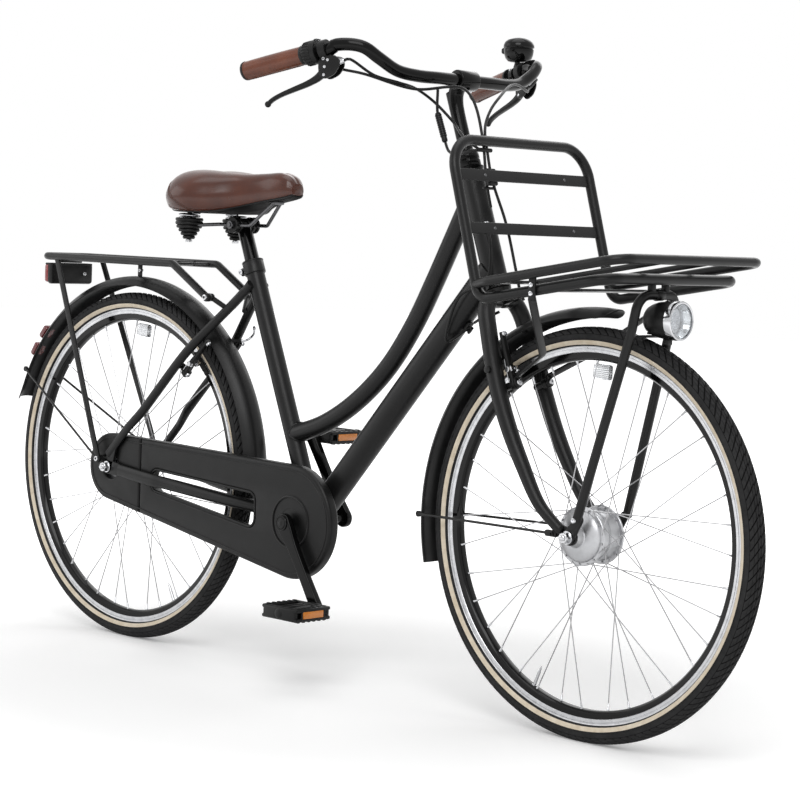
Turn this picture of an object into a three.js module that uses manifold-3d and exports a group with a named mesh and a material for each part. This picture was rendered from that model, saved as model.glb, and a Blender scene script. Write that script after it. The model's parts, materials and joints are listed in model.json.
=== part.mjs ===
// City bike with a step-through frame, closed chain case, rear carrier and fork-mounted front carrier.
// Millimetres. X points forward, Y to the rider's left, Z up.
// It is drawn with the rear axle above the origin and shifted at the end, so that the origin
// lies on the ground below the middle of its bounding box.

import * as THREE from 'three';
import { mergeVertices } from 'three/addons/utils/BufferGeometryUtils.js';
import Module from 'manifold-3d';

const wasm = await Module();
wasm.setup();

const deg = THREE.MathUtils.degToRad;

// Clearances and overruns shared by all pieces.
const FIT_GAP = 0.3;
const RUN_GAP = 1.5;
const OVERRUN = 6;

// Wheels.
const WHEELBASE = 1200;
const RIM_RADIUS = 317;
const TYRE_HEIGHT = 32.5;
const TYRE_RADIUS = RIM_RADIUS + TYRE_HEIGHT;
const TYRE_HALF_WIDTH = 20;
const TREAD_HALF_WIDTH = 12;
const TYRE_WALL = 3.5;
const TREAD_THICKNESS = 6;
const TREAD_SHOULDER = 5.4;
const RIM_TRACK_DEPTH = 12;
const RIM_DEPTH = 24;
const RIM_HALF_WIDTH = 12;
const RIM_BED_HALF_WIDTH = 7;
const RIM_WALL = 2.5;
const SPOKE_RADIUS = 1.1;
const SPOKE_RIM_OFFSET = 3;
const SPOKE_LACING = 1.3;
const REAR_FLANGE_RADIUS = 44;
const REAR_FLANGE_OFFSET = 30;
const REAR_HUB_RADIUS = 34;
const REAR_HUB_HALF = 33;
const REAR_CAP_RADIUS = 14;
const FRONT_FLANGE_RADIUS = 50;
const FRONT_FLANGE_OFFSET = 25;
const FRONT_HUB_RADIUS = 43;
const FRONT_CAP_RADIUS = 16;
const FLANGE_THICKNESS = 4;
const AXLE_RADIUS = 5;
const NUT_RADIUS = 9;
const NUT_LENGTH = 9;
const WASHER_RADIUS = 11;
const WASHER_LENGTH = 2.5;
const AXLE_STUB = 5;
const REAR_DROPOUT_OFFSET = 67;
const FRONT_DROPOUT_OFFSET = 54;
const DROPOUT_THICKNESS = 5;
const DROPOUT_RADIUS = 14;
const WHEEL_SEGMENTS = 32;
const SPOKES_PER_SIDE = 18;
const SPOKE_SIDES = 3;
const SPOKE_TURN = deg(60);
const FENDER_CLEARANCE = 32.5;
const FENDER_RADIUS = TYRE_RADIUS + FENDER_CLEARANCE;
const FENDER_TOP = TYRE_RADIUS + FENDER_RADIUS;

// Frame.
const HEAD_ANGLE = deg(69.6);
const FORK_RAKE = 78;
const HEAD_TUBE_LIFT = 56;
const HEAD_TUBE_FOOT = FENDER_RADIUS + HEAD_TUBE_LIFT;
const HEAD_TUBE_LENGTH = 200;
const HEAD_TUBE_RADIUS = 21;
const HEAD_TUBE_BORE = 15;
const CUP_RADIUS = 24;
const CUP_HEIGHT = 11;
const BRACKET_FORWARD = 532;
const BRACKET_DROP = 51.5;
const BRACKET_HEIGHT = TYRE_RADIUS - BRACKET_DROP;
const BRACKET_RADIUS = 21;
const BRACKET_HALF_WIDTH = 35;
const BRACKET_BORE = 12;
const SEAT_ANGLE = deg(67.5);
const SEAT_TUBE_RADIUS = 17.5;
const SEAT_TUBE_BORE = 14.4;
const SEAT_TUBE_LENGTH = 512;
const SEAT_BORE_DEPTH = 190;
const DOWN_TUBE_RADIUS = 25;
const DOWN_TUBE_JOIN = 27;
const TOP_TUBE_RADIUS = 17.5;
const TOP_TUBE_JOIN_DROP = 28;
const TOP_TUBE_JOIN_SEAT = 168;
const TOP_TUBE_SAG = 79;
const TOP_TUBE_STEPS = 11;
const GUSSET_LENGTH = 30;
const GUSSET_THICKNESS = 4;
const CHAIN_STAY_RADIUS = 12;
const CHAIN_STAY_FLAT = 5.5;
const CHAIN_STAY_REAR_OFFSET = 69;
const CHAIN_STAY_WHEEL_OFFSET = 40;
const CHAIN_STAY_BRACKET_OFFSET = 20;
const SEAT_STAY_RADIUS = 9;
const SEAT_STAY_OFFSET = 58;
const SEAT_STAY_TOP_OFFSET = 17;
const SEAT_STAY_JOIN = 470;
const TUBE_SIDES = 12;
const STAY_SIDES = 8;

// Chain case and drive.
const CASE_REAR_RADIUS = 67;
const CASE_FRONT_RADIUS = 106;
const CASE_INNER_OFFSET = 38;
const CASE_OUTER_OFFSET = 61.5;
const CASE_WALL = 2;
const CASE_WINDOW_REAR = 128;
const CASE_WINDOW_FRONT = 432;
const CASE_WINDOW_REAR_HALF = 21;
const CASE_WINDOW_FRONT_HALF = 34;
const CASE_SPLIT = 92;
const CASE_HOLE_RADIUS = 46;
const CASE_BRACKET_HOLE = 23;
const CASE_HUB_HOLE = 24;
const CHAIN_PITCH = 12.7;
const CHAINRING_TEETH = 38;
const SPROCKET_TEETH = 18;
const CHAIN_HALF_HEIGHT = 4.5;
const CHAIN_WIDTH = 7;
const CHAIN_LINE = 49.7;
const RING_THICKNESS = 3;
const CRANK_LENGTH = 175;
const CRANK_ANGLE = deg(-57);
const CRANK_OFFSET = 77;
const CRANK_THICKNESS = 13;
const CRANK_EYE_RADIUS = 16;
const CRANK_TIP_RADIUS = 12;
const SPINDLE_RADIUS = 8;
const PEDAL_SPINDLE_RADIUS = 4.5;
const PEDAL_WIDTH = 88;
const PEDAL_LENGTH = 92;
const PEDAL_HEIGHT = 26;
const PEDAL_BARREL_RADIUS = 11;
const PEDAL_BAR = 9;
const PEDAL_PLATE = 7;

// Fenders.
const FENDER_HALF_WIDTH = 29;
const FENDER_DROP = 16;
const FENDER_WALL = 1.6;
const FENDER_STAY_RADIUS = 2.4;
const REAR_FENDER_START = deg(1);
const REAR_FENDER_END = deg(163);
const FRONT_FENDER_START = deg(84);
const FRONT_FENDER_END = deg(194);
const FENDER_STEPS = 16;
const REAR_STAY_BACK = deg(11);
const FRONT_STAY_BACK = deg(13.5);

// Fork, stem and bars. Places on the fork are given forward of the head axis, across, and along it
// from the height of the axle.
const BLADE_RADIUS = 15;
const BLADE_TIP_RADIUS = 9;
const FORK_EYE_RADIUS = 6;
const FORK_EYE_BACK = 32;
const FORK_EYE_UP = 3;
const BLADE_OFFSET = 59;
const CROWN_RADIUS = 20;
const CROWN_HEIGHT = 24;
const CROWN_LIFT = 13;
const CROWN_SHOULDER = FENDER_RADIUS + CROWN_LIFT;
const STEM_RADIUS = 12.7;
const STEM_REACH = 352;
const STEM_TOP = HEAD_TUBE_FOOT + STEM_REACH;
const LOCKNUT_RADIUS = 20;
const LOCKNUT_HEIGHT = 30;
const STEM_CLAMP_RADIUS = 18;
const STEM_CLAMP_HALF = 23;
const BAR_FORWARD = 33;
const BAR_LIFT = 361;
const BAR_UP = HEAD_TUBE_FOOT + BAR_LIFT;
const BAR_RADIUS = 11.1;
const BAR_WIDTH_HALF = 296;
const BAR_SWEEP = 248;
const BAR_RISE = 45;
const BAR_STEPS = 11;
const GRIP_RADIUS = 16.5;
const GRIP_LENGTH = 128;
const GRIP_CAP = 5;
const SHIFTER_RADIUS = 21;
const SHIFTER_LENGTH = 26;
const LEVER_CLAMP_RADIUS = 17;
const LEVER_CLAMP_LENGTH = 14;
const LEVER_CLAMP_GAP = 5;
const LEVER_EAR = 3.5;
const LEVER_HUB_RADIUS = 9;
const LEVER_PIN_RADIUS = 3.5;
const LEVER_DROP = 30;
const LEVER_REACH = 58;
const LEVER_LENGTH = 128;
const LEVER_WIDTH = 11;
const LEVER_THICKNESS = 7;
const BARREL_RADIUS = 5;
const BARREL_LENGTH = 20;
const BELL_RADIUS = 27;
const BELL_HEIGHT = 27;
const BELL_STEM = 21;
const BELL_CLAMP_PLACE = 16;
const BELL_FORWARD = 15;

// Rim brakes.
const BRAKE_BOSS_DROP = 32;
const BRAKE_BOSS_RADIUS = RIM_RADIUS - BRAKE_BOSS_DROP;
const BRAKE_BOSS_OFFSET = 41;
const BRAKE_PIN_RADIUS = 5;
const BRAKE_PIN_STEP = 1;
const BRAKE_HUB_RADIUS = 9.5;
const BRAKE_ARM_LENGTH = 92;
const BRAKE_ARM_SPLAY = 3;
const BRAKE_ARM_THICKNESS = 10;
const BRAKE_ARM_WIDTH = 13;
const BRAKE_ARM_STANDOFF = 9;
const PAD_DROP = 6;
const PAD_RADIUS = RIM_RADIUS - PAD_DROP;
const PAD_LENGTH = 54;
const PAD_HEIGHT = 8;
const PAD_DEPTH = 8;
const PAD_CLEARANCE = 2.5;

// Front carrier.
const HOOP_RADIUS = 9;
const HOOP_HALF = 173;
const HOOP_TILT = deg(17);
const HOOP_FOOT_AHEAD = 116.9;
const HOOP_FOOT_LIFT = 5.5;
const HOOP_FOOT_HEIGHT = FENDER_TOP + HOOP_FOOT_LIFT;
const HOOP_LENGTH = 276;
const HOOP_CORNER = 55;
const HOOP_FOOT_CORNER = 26;
const LOOP_TUBE_RADIUS = 8;
const LOOP_HALF = 190;
const LOOP_RISE = deg(9.8);
const LOOP_LENGTH = 311;
const LOOP_ABOVE = 26;
const LOOP_CORNER = 34;
const LOWER_LOOP_LENGTH = 272;
const UPPER_BAR_PLACE = 24;
const HOOP_LOW_BAR = 0.445;
const HOOP_HIGH_BAR = 0.78;
const INNER_RAIL_RADIUS = 5;
const INNER_RAIL_OFFSET = 62;
const CROSSBAR_WIDTH = 20;
const CROSSBAR_THICKNESS = 4;
const STRUT_RADIUS = 8;
const STRUT_FOOT_UP = 31.5;
const STRUT_FOOT_AHEAD = 22;
const STRUT_BAR_PLACE = 240;
const STRUT_TAB_OFFSET = 18;
const STRUT_TOP_OFFSET = 50;
const STRUT_TOP_DROP = 20.85;
const STRUT_BEND_BACK = 13.5;
const STRUT_BEND_DROP = 87.85;
const STRUT_CORNER = 26;
const STRUT_BOSS_THICKNESS = 5;
const STAY_BAR_WIDTH = 14;
const STAY_BAR_THICKNESS = 4;
const STAY_PLACE = 127;
const STAY_KNEE_AHEAD = 49;
const STAY_KNEE_OFFSET = 62;
const STAY_KNEE_DROP = 89;
const LAMP_BRACKET_SHARE = 0.997;

// Headlamp.
const LAMP_RADIUS = 31;
const LAMP_LENGTH = 72;
const LAMP_BACK = 21.5;
const LAMP_DROP = 60.85;
const LENS_THICKNESS = 5;
const LENS_RADIUS = 28;

// Rear carrier and lamp.
const RACK_RADIUS = 7.5;
const RACK_HALF = 58;
const RACK_LIFT = 31.5;
const RACK_HEIGHT = FENDER_TOP + RACK_LIFT;
const RACK_REAR = -246;
const RACK_FRONT_BEND = 168;
const RACK_BOLT_FORWARD = 272;
const RACK_BOLT_DROP = 61;
const RACK_BOLT_HEIGHT = RACK_HEIGHT - RACK_BOLT_DROP;
const RACK_CORNER = 26;
const RACK_EAR = 5;
const RACK_INNER_OFFSET = 20;
const RACK_INNER_RADIUS = 5;
const RACK_STRUT_TOP = -198;
const RACK_STRUT_KNEE_FORWARD = -42;
const RACK_STRUT_KNEE_LIFT = 64.5;
const RACK_STRUT_KNEE_HEIGHT = TYRE_RADIUS + RACK_STRUT_KNEE_LIFT;
const RACK_STRUT_WIDTH = 13;
const RACK_STRUT_THICKNESS = 6;
const RACK_STRUT_FOOT_FORWARD = -22;
const RACK_STRUT_FOOT_LIFT = 14.5;
const RACK_STRUT_FOOT_HEIGHT = TYRE_RADIUS + RACK_STRUT_FOOT_LIFT;
const REAR_LAMP_FRONT = -219;
const REAR_LAMP_DEPTH = 26;
const REAR_LAMP_HALF = 54;
const REAR_LAMP_DROP = 14;
const REAR_LAMP_TOP = RACK_HEIGHT - REAR_LAMP_DROP;
const REAR_LAMP_HEIGHT = 43;
const REAR_LAMP_CORNER = 7;

// Saddle and seat post.
const POST_RADIUS = 14;
const POST_TOP_LIFT = 114.5;
const POST_TOP_HEIGHT = FENDER_TOP + POST_TOP_LIFT;
const POST_LENGTH = 210;
const COLLAR_RADIUS = 20.5;
const COLLAR_HEIGHT = 26;
const COLLAR_STEP = 4;
const SADDLE_REAR = 165;
const SADDLE_LENGTH = 292;
const SADDLE_HALF_WIDTH = 112;
const SADDLE_NOSE_HALF = 27;
const SADDLE_LIFT = 100;
const SADDLE_TOP = POST_TOP_HEIGHT + SADDLE_LIFT;
const SADDLE_THICKNESS = 82;
const SADDLE_RAIL_RADIUS = 3.5;
const SADDLE_RAIL_OFFSET = 22;
const SPRING_FORWARD = 216;
const SPRING_OFFSET = 60;
const SPRING_COVER_RADIUS = 27;
const SPRING_TIP_RADIUS = 10;
const SPRING_COVER_LIFT = 7;
const SPRING_COVER_TOP = POST_TOP_HEIGHT + SPRING_COVER_LIFT;
const SPRING_COVER_HEIGHT = 41;
const SPRING_RIBS = 6;
const SPRING_RIB_DEPTH = 2.2;
const SPRING_COIL_RADIUS = 20;
const SPRING_WIRE_RADIUS = 2;
const SPRING_TURNS = 1.5;

const CABLE_RADIUS = 2.5;
const CABLE_STEPS = 16;
const CABLE_SIDES = 4;
const CABLE_CLIP_OFFSET = -77;
const HOOP_CLIP_FORWARD = 28;
const HOOP_CLIP_UP = 226;
const DOWN_CLIP_SHARE = 0.825;
// Routes of the cables: forward of the foot of the head tube, left and up from it.
const RIGHT_BRAKE_ROUTE = [
  [-129, -190, 346], [-109, -150, 336], [-114, -105, 330], [-111, -60, 310], [-80, -42, 276],
  [-34, -70, 254], [11, -92, 236], [HOOP_CLIP_FORWARD, -88, HOOP_CLIP_UP],
];
const SHIFTER_ROUTE = [
  [-210, -234, 368], [-179, -227, 356], [-142, -205, 348], [-98, -120, 327], [-66, -70, 334], [-39, -67, 332],
  [-14, -71, 318], [1, -71, 295], [19, -75, 253],
  [HOOP_CLIP_FORWARD, -78, HOOP_CLIP_UP], [38, -83, 191], [40, -79, 164],
  [42, -70, 130],
];
const LEFT_BRAKE_ROUTE = [
  [-129, 207, 350], [-98, 168, 343], [-79, 125, 350], [-64, 88, 348], [-24, 14, 322], [-9, -24, 298],
  [4, -50, 273], [18, -66, 252], [HOOP_CLIP_FORWARD, -70, HOOP_CLIP_UP], [38, -71, 191], [42, -64, 165],
  [64, -54, 103], [88, -51, 25], [96, -47, -10], [104, -46, -24],
];
const ADJUSTER_ROUTE = [[-93, -70, 330], [-95, -66, 290], [-74, -66, 240]];
const ADJUSTER_TAIL_ROUTE = [[-49, -80, 222], [-4, -94, 220], [HOOP_CLIP_FORWARD, -92, HOOP_CLIP_UP]];
const FRAME_ROUTE = [
  [-12, -22, 102], [2, -29, 86], [10, -31, 60], [8, -32, 13], [-9, -37, -6], [-49, -37, -22],
  [-78, -33, -70], [-88, -26, -106],
];
const LOOP_ROUTE = [[-64, 3, -89], [-49, -4, -80]];
const CLIP_SIZE = 11;

// Shares of a size that some small forms take.
const STAY_FOOT_SHARE = 1.75;
const STAY_OVAL_SHARE = 0.8;
const BOLT_HEAD_SHARE = 1.3;
const EAR_LENGTH_SHARE = 1.5;
const EAR_HEIGHT_SHARE = 1.2;
const RAIL_NOSE_SHARE = 0.8;
const RAIL_NOSE_LIFT_SHARE = 0.28;
const RAIL_SPRING_SHARE = 0.7;
const BRAKE_TUBE_SHARE = 0.6;
const BRAKE_BOSS_ROOT_SHARE = 0.95;
const THUMB_LEVER_SHARE = 0.7;

const paint = (color, roughness, metalness) => new THREE.MeshStandardMaterial({ color, roughness,
  metalness });
const MATT_BLACK = [0x1c1c1d, 0.55, 0.2];
const GLOSS_BLACK = [0x0f0f10, 0.2, 0.3];
const PLASTIC_BLACK = [0x1e1e1f, 0.6, 0];
const RUBBER = [0x232325, 0.85, 0];
const SILVER = [0xc4c6c8, 0.3, 0.9];
const LEATHER = [0x7a3f26, 0.45, 0];
const CLEAR = [0xe4ecf0, 0.1, 0];
const STEEL_DARK = [0x4a4a4c, 0.4, 0.8];

const bike = new THREE.Group();

// Basic vectors and frames of reference.
const vec = (x, y, z) => new THREE.Vector3(x, y, z);
const FORWARD = vec(1, 0, 0);
const LEFT = vec(0, 1, 0);
const UP = vec(0, 0, 1);
const along = (start, direction, distance) => start.clone().addScaledVector(direction, distance);
const mid = (a, b, share) => a.clone().lerp(b, share);
const flip = (p) => vec(p.x, -p.y, p.z);
const at = (p, y) => vec(p.x, y, p.z);

const rearAxle = vec(0, 0, TYRE_RADIUS);
const frontAxle = vec(WHEELBASE, 0, TYRE_RADIUS);
const bracket = vec(BRACKET_FORWARD, 0, BRACKET_HEIGHT);
const headUp = vec(-Math.cos(HEAD_ANGLE), 0, Math.sin(HEAD_ANGLE));
const headForward = vec(Math.sin(HEAD_ANGLE), 0, Math.cos(HEAD_ANGLE));
const headFoot = vec(WHEELBASE - FORK_RAKE / Math.sin(HEAD_ANGLE), 0, TYRE_RADIUS);
const onFork = (forward, y, up) => {
  const p = along(headFoot, headForward, forward);
  return at(along(p, headUp, up), y);
};
const seatUp = vec(-Math.cos(SEAT_ANGLE), 0, Math.sin(SEAT_ANGLE));
const seatForward = vec(Math.sin(SEAT_ANGLE), 0, Math.cos(SEAT_ANGLE));
const onSeat = (up) => along(bracket, seatUp, up);

// Solids: manifold-3d joins and cuts closed meshes.
function toSolid(geometry) {
  const bare = geometry.index ? geometry.toNonIndexed() : geometry.clone();
  bare.deleteAttribute('normal');
  bare.deleteAttribute('uv');
  const merged = mergeVertices(bare, 1e-4);
  const triangles = [];
  const index = merged.index.array;
  for (let i = 0; i < index.length; i += 3) {
    const [a, b, c] = [index[i], index[i + 1], index[i + 2]];
    if (a !== b && b !== c && a !== c) triangles.push(a, b, c);
  }
  const mesh = new wasm.Mesh({
    numProp: 3,
    vertProperties: new Float32Array(merged.attributes.position.array),
    triVerts: new Uint32Array(triangles),
  });
  return new wasm.Manifold(mesh);
}

function toGeometry(solid) {
  const mesh = solid.getMesh();
  const geometry = new THREE.BufferGeometry();
  geometry.setAttribute('position', new THREE.BufferAttribute(mesh.vertProperties, 3));
  geometry.setIndex(new THREE.BufferAttribute(mesh.triVerts, 1));
  geometry.computeVertexNormals();
  return geometry;
}

function join(...geometries) {
  return toGeometry(geometries.map(toSolid).reduce((sum, next) => sum.add(next)));
}

function cut(base, ...tools) {
  return toGeometry(tools.map(toSolid).reduce((rest, tool) => rest.subtract(tool), toSolid(base)));
}

function mirrored(geometry) {
  const copy = geometry.clone();
  copy.scale(1, -1, 1);
  if (!copy.index) {
    copy.setIndex([...Array(copy.attributes.position.count).keys()]);
  }
  const index = copy.index.array;
  for (let i = 0; i < index.length; i += 3) {
    [index[i], index[i + 1]] = [index[i + 1], index[i]];
  }
  copy.computeVertexNormals();
  return copy;
}

function add(name, geometry, look) {
  const mesh = new THREE.Mesh(geometry, paint(...look));
  mesh.name = name;
  bike.add(mesh);
  return mesh;
}

// A pair whose sides are each cut from the pieces in the middle.
function addCutPair(name, leftGeometry, middleTools, sideTools, look) {
  add(`${name}_left`, cut(leftGeometry, ...middleTools, ...sideTools), look);
  add(`${name}_right`, cut(mirrored(leftGeometry), ...middleTools, ...sideTools.map(mirrored)), look);
}

function addPair(name, leftGeometry, look) {
  add(`${name}_left`, leftGeometry, look);
  add(`${name}_right`, mirrored(leftGeometry), look);
}

// A path through given stations, whose sections stand square to the bisected direction.
class StationPath extends THREE.Curve {
  constructor(points) {
    super();
    this.points = points;
    const steps = points.slice(1).map((p, i) => p.clone().sub(points[i]).normalize());
    this.tangents = points.map((p, i) => {
      const before = steps[Math.max(i - 1, 0)];
      const after = steps[Math.min(i, steps.length - 1)];
      return before.clone().add(after).normalize();
    });
  }
  place(t, list) {
    const s = THREE.MathUtils.clamp(t, 0, 1) * (this.points.length - 1);
    const i = Math.min(Math.floor(s), this.points.length - 2);
    return list[i].clone().lerp(list[i + 1], s - i);
  }
  getPoint(t) {
    return this.place(t, this.points);
  }
  getTangent(t) {
    return this.place(t, this.tangents).normalize();
  }
  getUtoTmapping(u) {
    return u;
  }
}

const circleShape = (radius, sides) => new THREE.Shape(
  [...Array(sides).keys()].map((i) => {
    const turn = (2 * Math.PI * (i + 0.5)) / sides;
    return new THREE.Vector2(radius * Math.cos(turn), radius * Math.sin(turn));
  }),
);

function tube(points, radius, sides = STAY_SIDES) {
  const path = new StationPath(points);
  return new THREE.ExtrudeGeometry(circleShape(radius, sides), {
    steps: points.length - 1, extrudePath: path, bevelEnabled: false,
  });
}

// Stations along straight runs joined by rounded corners.
function bent(corners, radius, steps = 4) {
  const stations = [corners[0]];
  for (let i = 1; i < corners.length - 1; i += 1) {
    const corner = corners[i];
    const back = corners[i - 1].clone().sub(corner).normalize();
    const ahead = corners[i + 1].clone().sub(corner).normalize();
    const half = back.angleTo(ahead) / 2;
    const reach = radius / Math.tan(half);
    const centre = along(corner, back.clone().add(ahead).normalize(), radius / Math.sin(half));
    const first = along(corner, back, reach).sub(centre);
    const last = along(corner, ahead, reach).sub(centre);
    const axis = first.clone().cross(last).normalize();
    const sweep = first.angleTo(last);
    for (let k = 0; k <= steps; k += 1) {
      stations.push(first.clone().applyAxisAngle(axis, (sweep * k) / steps).add(centre));
    }
  }
  stations.push(corners[corners.length - 1]);
  return stations;
}

const smooth = (points, steps) => new THREE.CatmullRomCurve3(points, false, 'centripetal')
  .getSpacedPoints(steps);

function rod(a, b, radius, sides = TUBE_SIDES, endRadius = radius) {
  const length = a.distanceTo(b);
  const geometry = new THREE.CylinderGeometry(endRadius, radius, length, sides, 1);
  const direction = b.clone().sub(a).normalize();
  geometry.applyQuaternion(new THREE.Quaternion().setFromUnitVectors(LEFT, direction));
  const centre = mid(a, b, 0.5);
  geometry.translate(centre.x, centre.y, centre.z);
  return geometry;
}

// A rod across the bike, from one lateral place to another.
const crossRod = (centre, y0, y1, radius, sides) => rod(at(centre, y0), at(centre, y1), radius, sides);

// A body turned about the line through a centre; profile pairs are (distance along, radius).
function turned(centre, direction, profile, segments = TUBE_SIDES) {
  const points = profile.map(([height, radius]) => new THREE.Vector2(radius, height));
  const geometry = new THREE.LatheGeometry(points, segments);
  geometry.applyQuaternion(new THREE.Quaternion().setFromUnitVectors(LEFT, direction));
  geometry.translate(centre.x, centre.y, centre.z);
  return geometry;
}

function block(centre, sizeX, sizeY, sizeZ, turn = 0) {
  const geometry = new THREE.BoxGeometry(sizeX, sizeY, sizeZ);
  geometry.rotateY(-turn);
  geometry.translate(centre.x, centre.y, centre.z);
  return geometry;
}

// A flat outline in the plane of the wheels, given thickness across the bike.
function plate(outline, y0, y1, holes = []) {
  const shape = new THREE.Shape(outline.map((p) => new THREE.Vector2(p.x, p.z)));
  shape.holes = holes.map((hole) => new THREE.Path(hole.map((p) => new THREE.Vector2(p.x, p.z))));
  const geometry = new THREE.ExtrudeGeometry(shape, { depth: y1 - y0, bevelEnabled: false });
  geometry.rotateX(Math.PI / 2);
  geometry.translate(0, y1, 0);
  return geometry;
}

// A closed skin over a row of equal rings, with flat ends or with its last ring joined to its first.
function loft(rings, closed = false) {
  const count = rings[0].length;
  const positions = rings.flat().flatMap((p) => [p.x, p.y, p.z]);
  const faces = [];
  const last = closed ? rings.length : rings.length - 1;
  for (let r = 0; r < last; r += 1) {
    const near = r * count;
    const far = ((r + 1) % rings.length) * count;
    for (let i = 0; i < count; i += 1) {
      const j = (i + 1) % count;
      faces.push(near + i, near + j, far + j, near + i, far + j, far + i);
    }
  }
  if (!closed) {
    const end = (rings.length - 1) * count;
    for (const [base, turn] of [[0, -1], [end, 1]]) {
      const middle = positions.length / 3;
      const ring = base === 0 ? rings[0] : rings[rings.length - 1];
      const centre = ring.reduce((sum, p) => sum.add(p), vec(0, 0, 0)).divideScalar(count);
      positions.push(centre.x, centre.y, centre.z);
      for (let i = 0; i < count; i += 1) {
        const j = (i + 1) % count;
        if (turn > 0) faces.push(base + i, base + j, middle);
        else faces.push(base + j, base + i, middle);
      }
    }
  }
  const geometry = new THREE.BufferGeometry();
  geometry.setAttribute('position', new THREE.Float32BufferAttribute(positions, 3));
  geometry.setIndex(faces);
  geometry.computeVertexNormals();
  const volume = signedVolume(geometry);
  if (volume < 0) {
    for (let i = 0; i < faces.length; i += 3) [faces[i], faces[i + 1]] = [faces[i + 1], faces[i]];
    geometry.setIndex(faces);
    geometry.computeVertexNormals();
  }
  return geometry;
}

function signedVolume(geometry) {
  const position = geometry.attributes.position;
  const index = geometry.index.array;
  const [a, b, c] = [vec(0, 0, 0), vec(0, 0, 0), vec(0, 0, 0)];
  let sum = 0;
  for (let i = 0; i < index.length; i += 3) {
    a.fromBufferAttribute(position, index[i]);
    b.fromBufferAttribute(position, index[i + 1]);
    c.fromBufferAttribute(position, index[i + 2]);
    sum += a.dot(b.cross(c));
  }
  return sum / 6;
}

function ovalRing(centre, across, upward, halfAcross, halfUp, sides) {
  return [...Array(sides).keys()].map((i) => {
    const turn = (2 * Math.PI * (i + 0.5)) / sides;
    return along(along(centre, across, halfAcross * Math.cos(turn)), upward, halfUp * Math.sin(turn));
  });
}

// A round or oval tube whose size changes along its stations.
function tapered(stations, sizes, sides = STAY_SIDES) {
  const path = new StationPath(stations);
  const rings = stations.map((p, i) => {
    const across = LEFT.clone().addScaledVector(path.tangents[i], -LEFT.dot(path.tangents[i])).normalize();
    const upward = path.tangents[i].clone().cross(across).normalize();
    const [halfAcross, halfUp] = sizes[i];
    return ovalRing(p, across, upward, halfAcross, halfUp, sides);
  });
  return loft(rings);
}

const discOutline = (centre, radius, sides, start = 0, sweep = 2 * Math.PI) => {
  const steps = [...Array(sides + (sweep < 2 * Math.PI ? 1 : 0)).keys()];
  return steps.map((i) => {
    const turn = start + (sweep * i) / sides;
    return vec(centre.x + radius * Math.cos(turn), centre.y, centre.z + radius * Math.sin(turn));
  });
};

// The outline of a belt wrapped round two discs.
function beltOutline(rear, rearRadius, front, frontRadius, sides) {
  const line = front.clone().sub(rear);
  const lean = Math.atan2(line.z, line.x);
  const open = Math.acos((rearRadius - frontRadius) / line.length());
  const rearArc = discOutline(rear, rearRadius, sides, lean + open, 2 * Math.PI - 2 * open);
  const frontArc = discOutline(front, frontRadius, sides, lean - open, 2 * open);
  return [...rearArc, ...frontArc];
}

// A flat bar of given width and thickness between two points; wide is the direction of its width.
function bar(stations, wide, width, thickness) {
  const path = new StationPath(stations);
  const rings = stations.map((p, i) => {
    const tangent = path.tangents[i];
    const across = wide.clone().addScaledVector(tangent, -wide.dot(tangent)).normalize();
    const thick = tangent.clone().cross(across).normalize();
    const corners = [[1, 1], [-1, 1], [-1, -1], [1, -1]];
    return corners.map(([w, t]) => along(along(p, across, (w * width) / 2), thick, (t * thickness) / 2));
  });
  return loft(rings);
}

// Turned rings of the wheels: a closed profile of (across, radius) pairs about an axle.
function wheelRing(axle, profile, segments = WHEEL_SEGMENTS) {
  const closed = [...profile, profile[0]];
  const points = closed.map(([y, radius]) => new THREE.Vector2(radius, y));
  const geometry = new THREE.LatheGeometry(points, segments);
  geometry.rotateY(Math.PI / 2 + Math.PI / segments);
  geometry.translate(axle.x, axle.y, axle.z);
  return orient(geometry);
}

// Faces that come out inside out are turned round.
function orient(geometry) {
  const bare = geometry.clone();
  bare.deleteAttribute('normal');
  bare.deleteAttribute('uv');
  const merged = mergeVertices(bare, 1e-4);
  const index = merged.index.array;
  if (signedVolume(merged) < 0) {
    for (let i = 0; i < index.length; i += 3) [index[i], index[i + 1]] = [index[i + 1], index[i]];
  }
  merged.computeVertexNormals();
  return merged;
}

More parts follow.
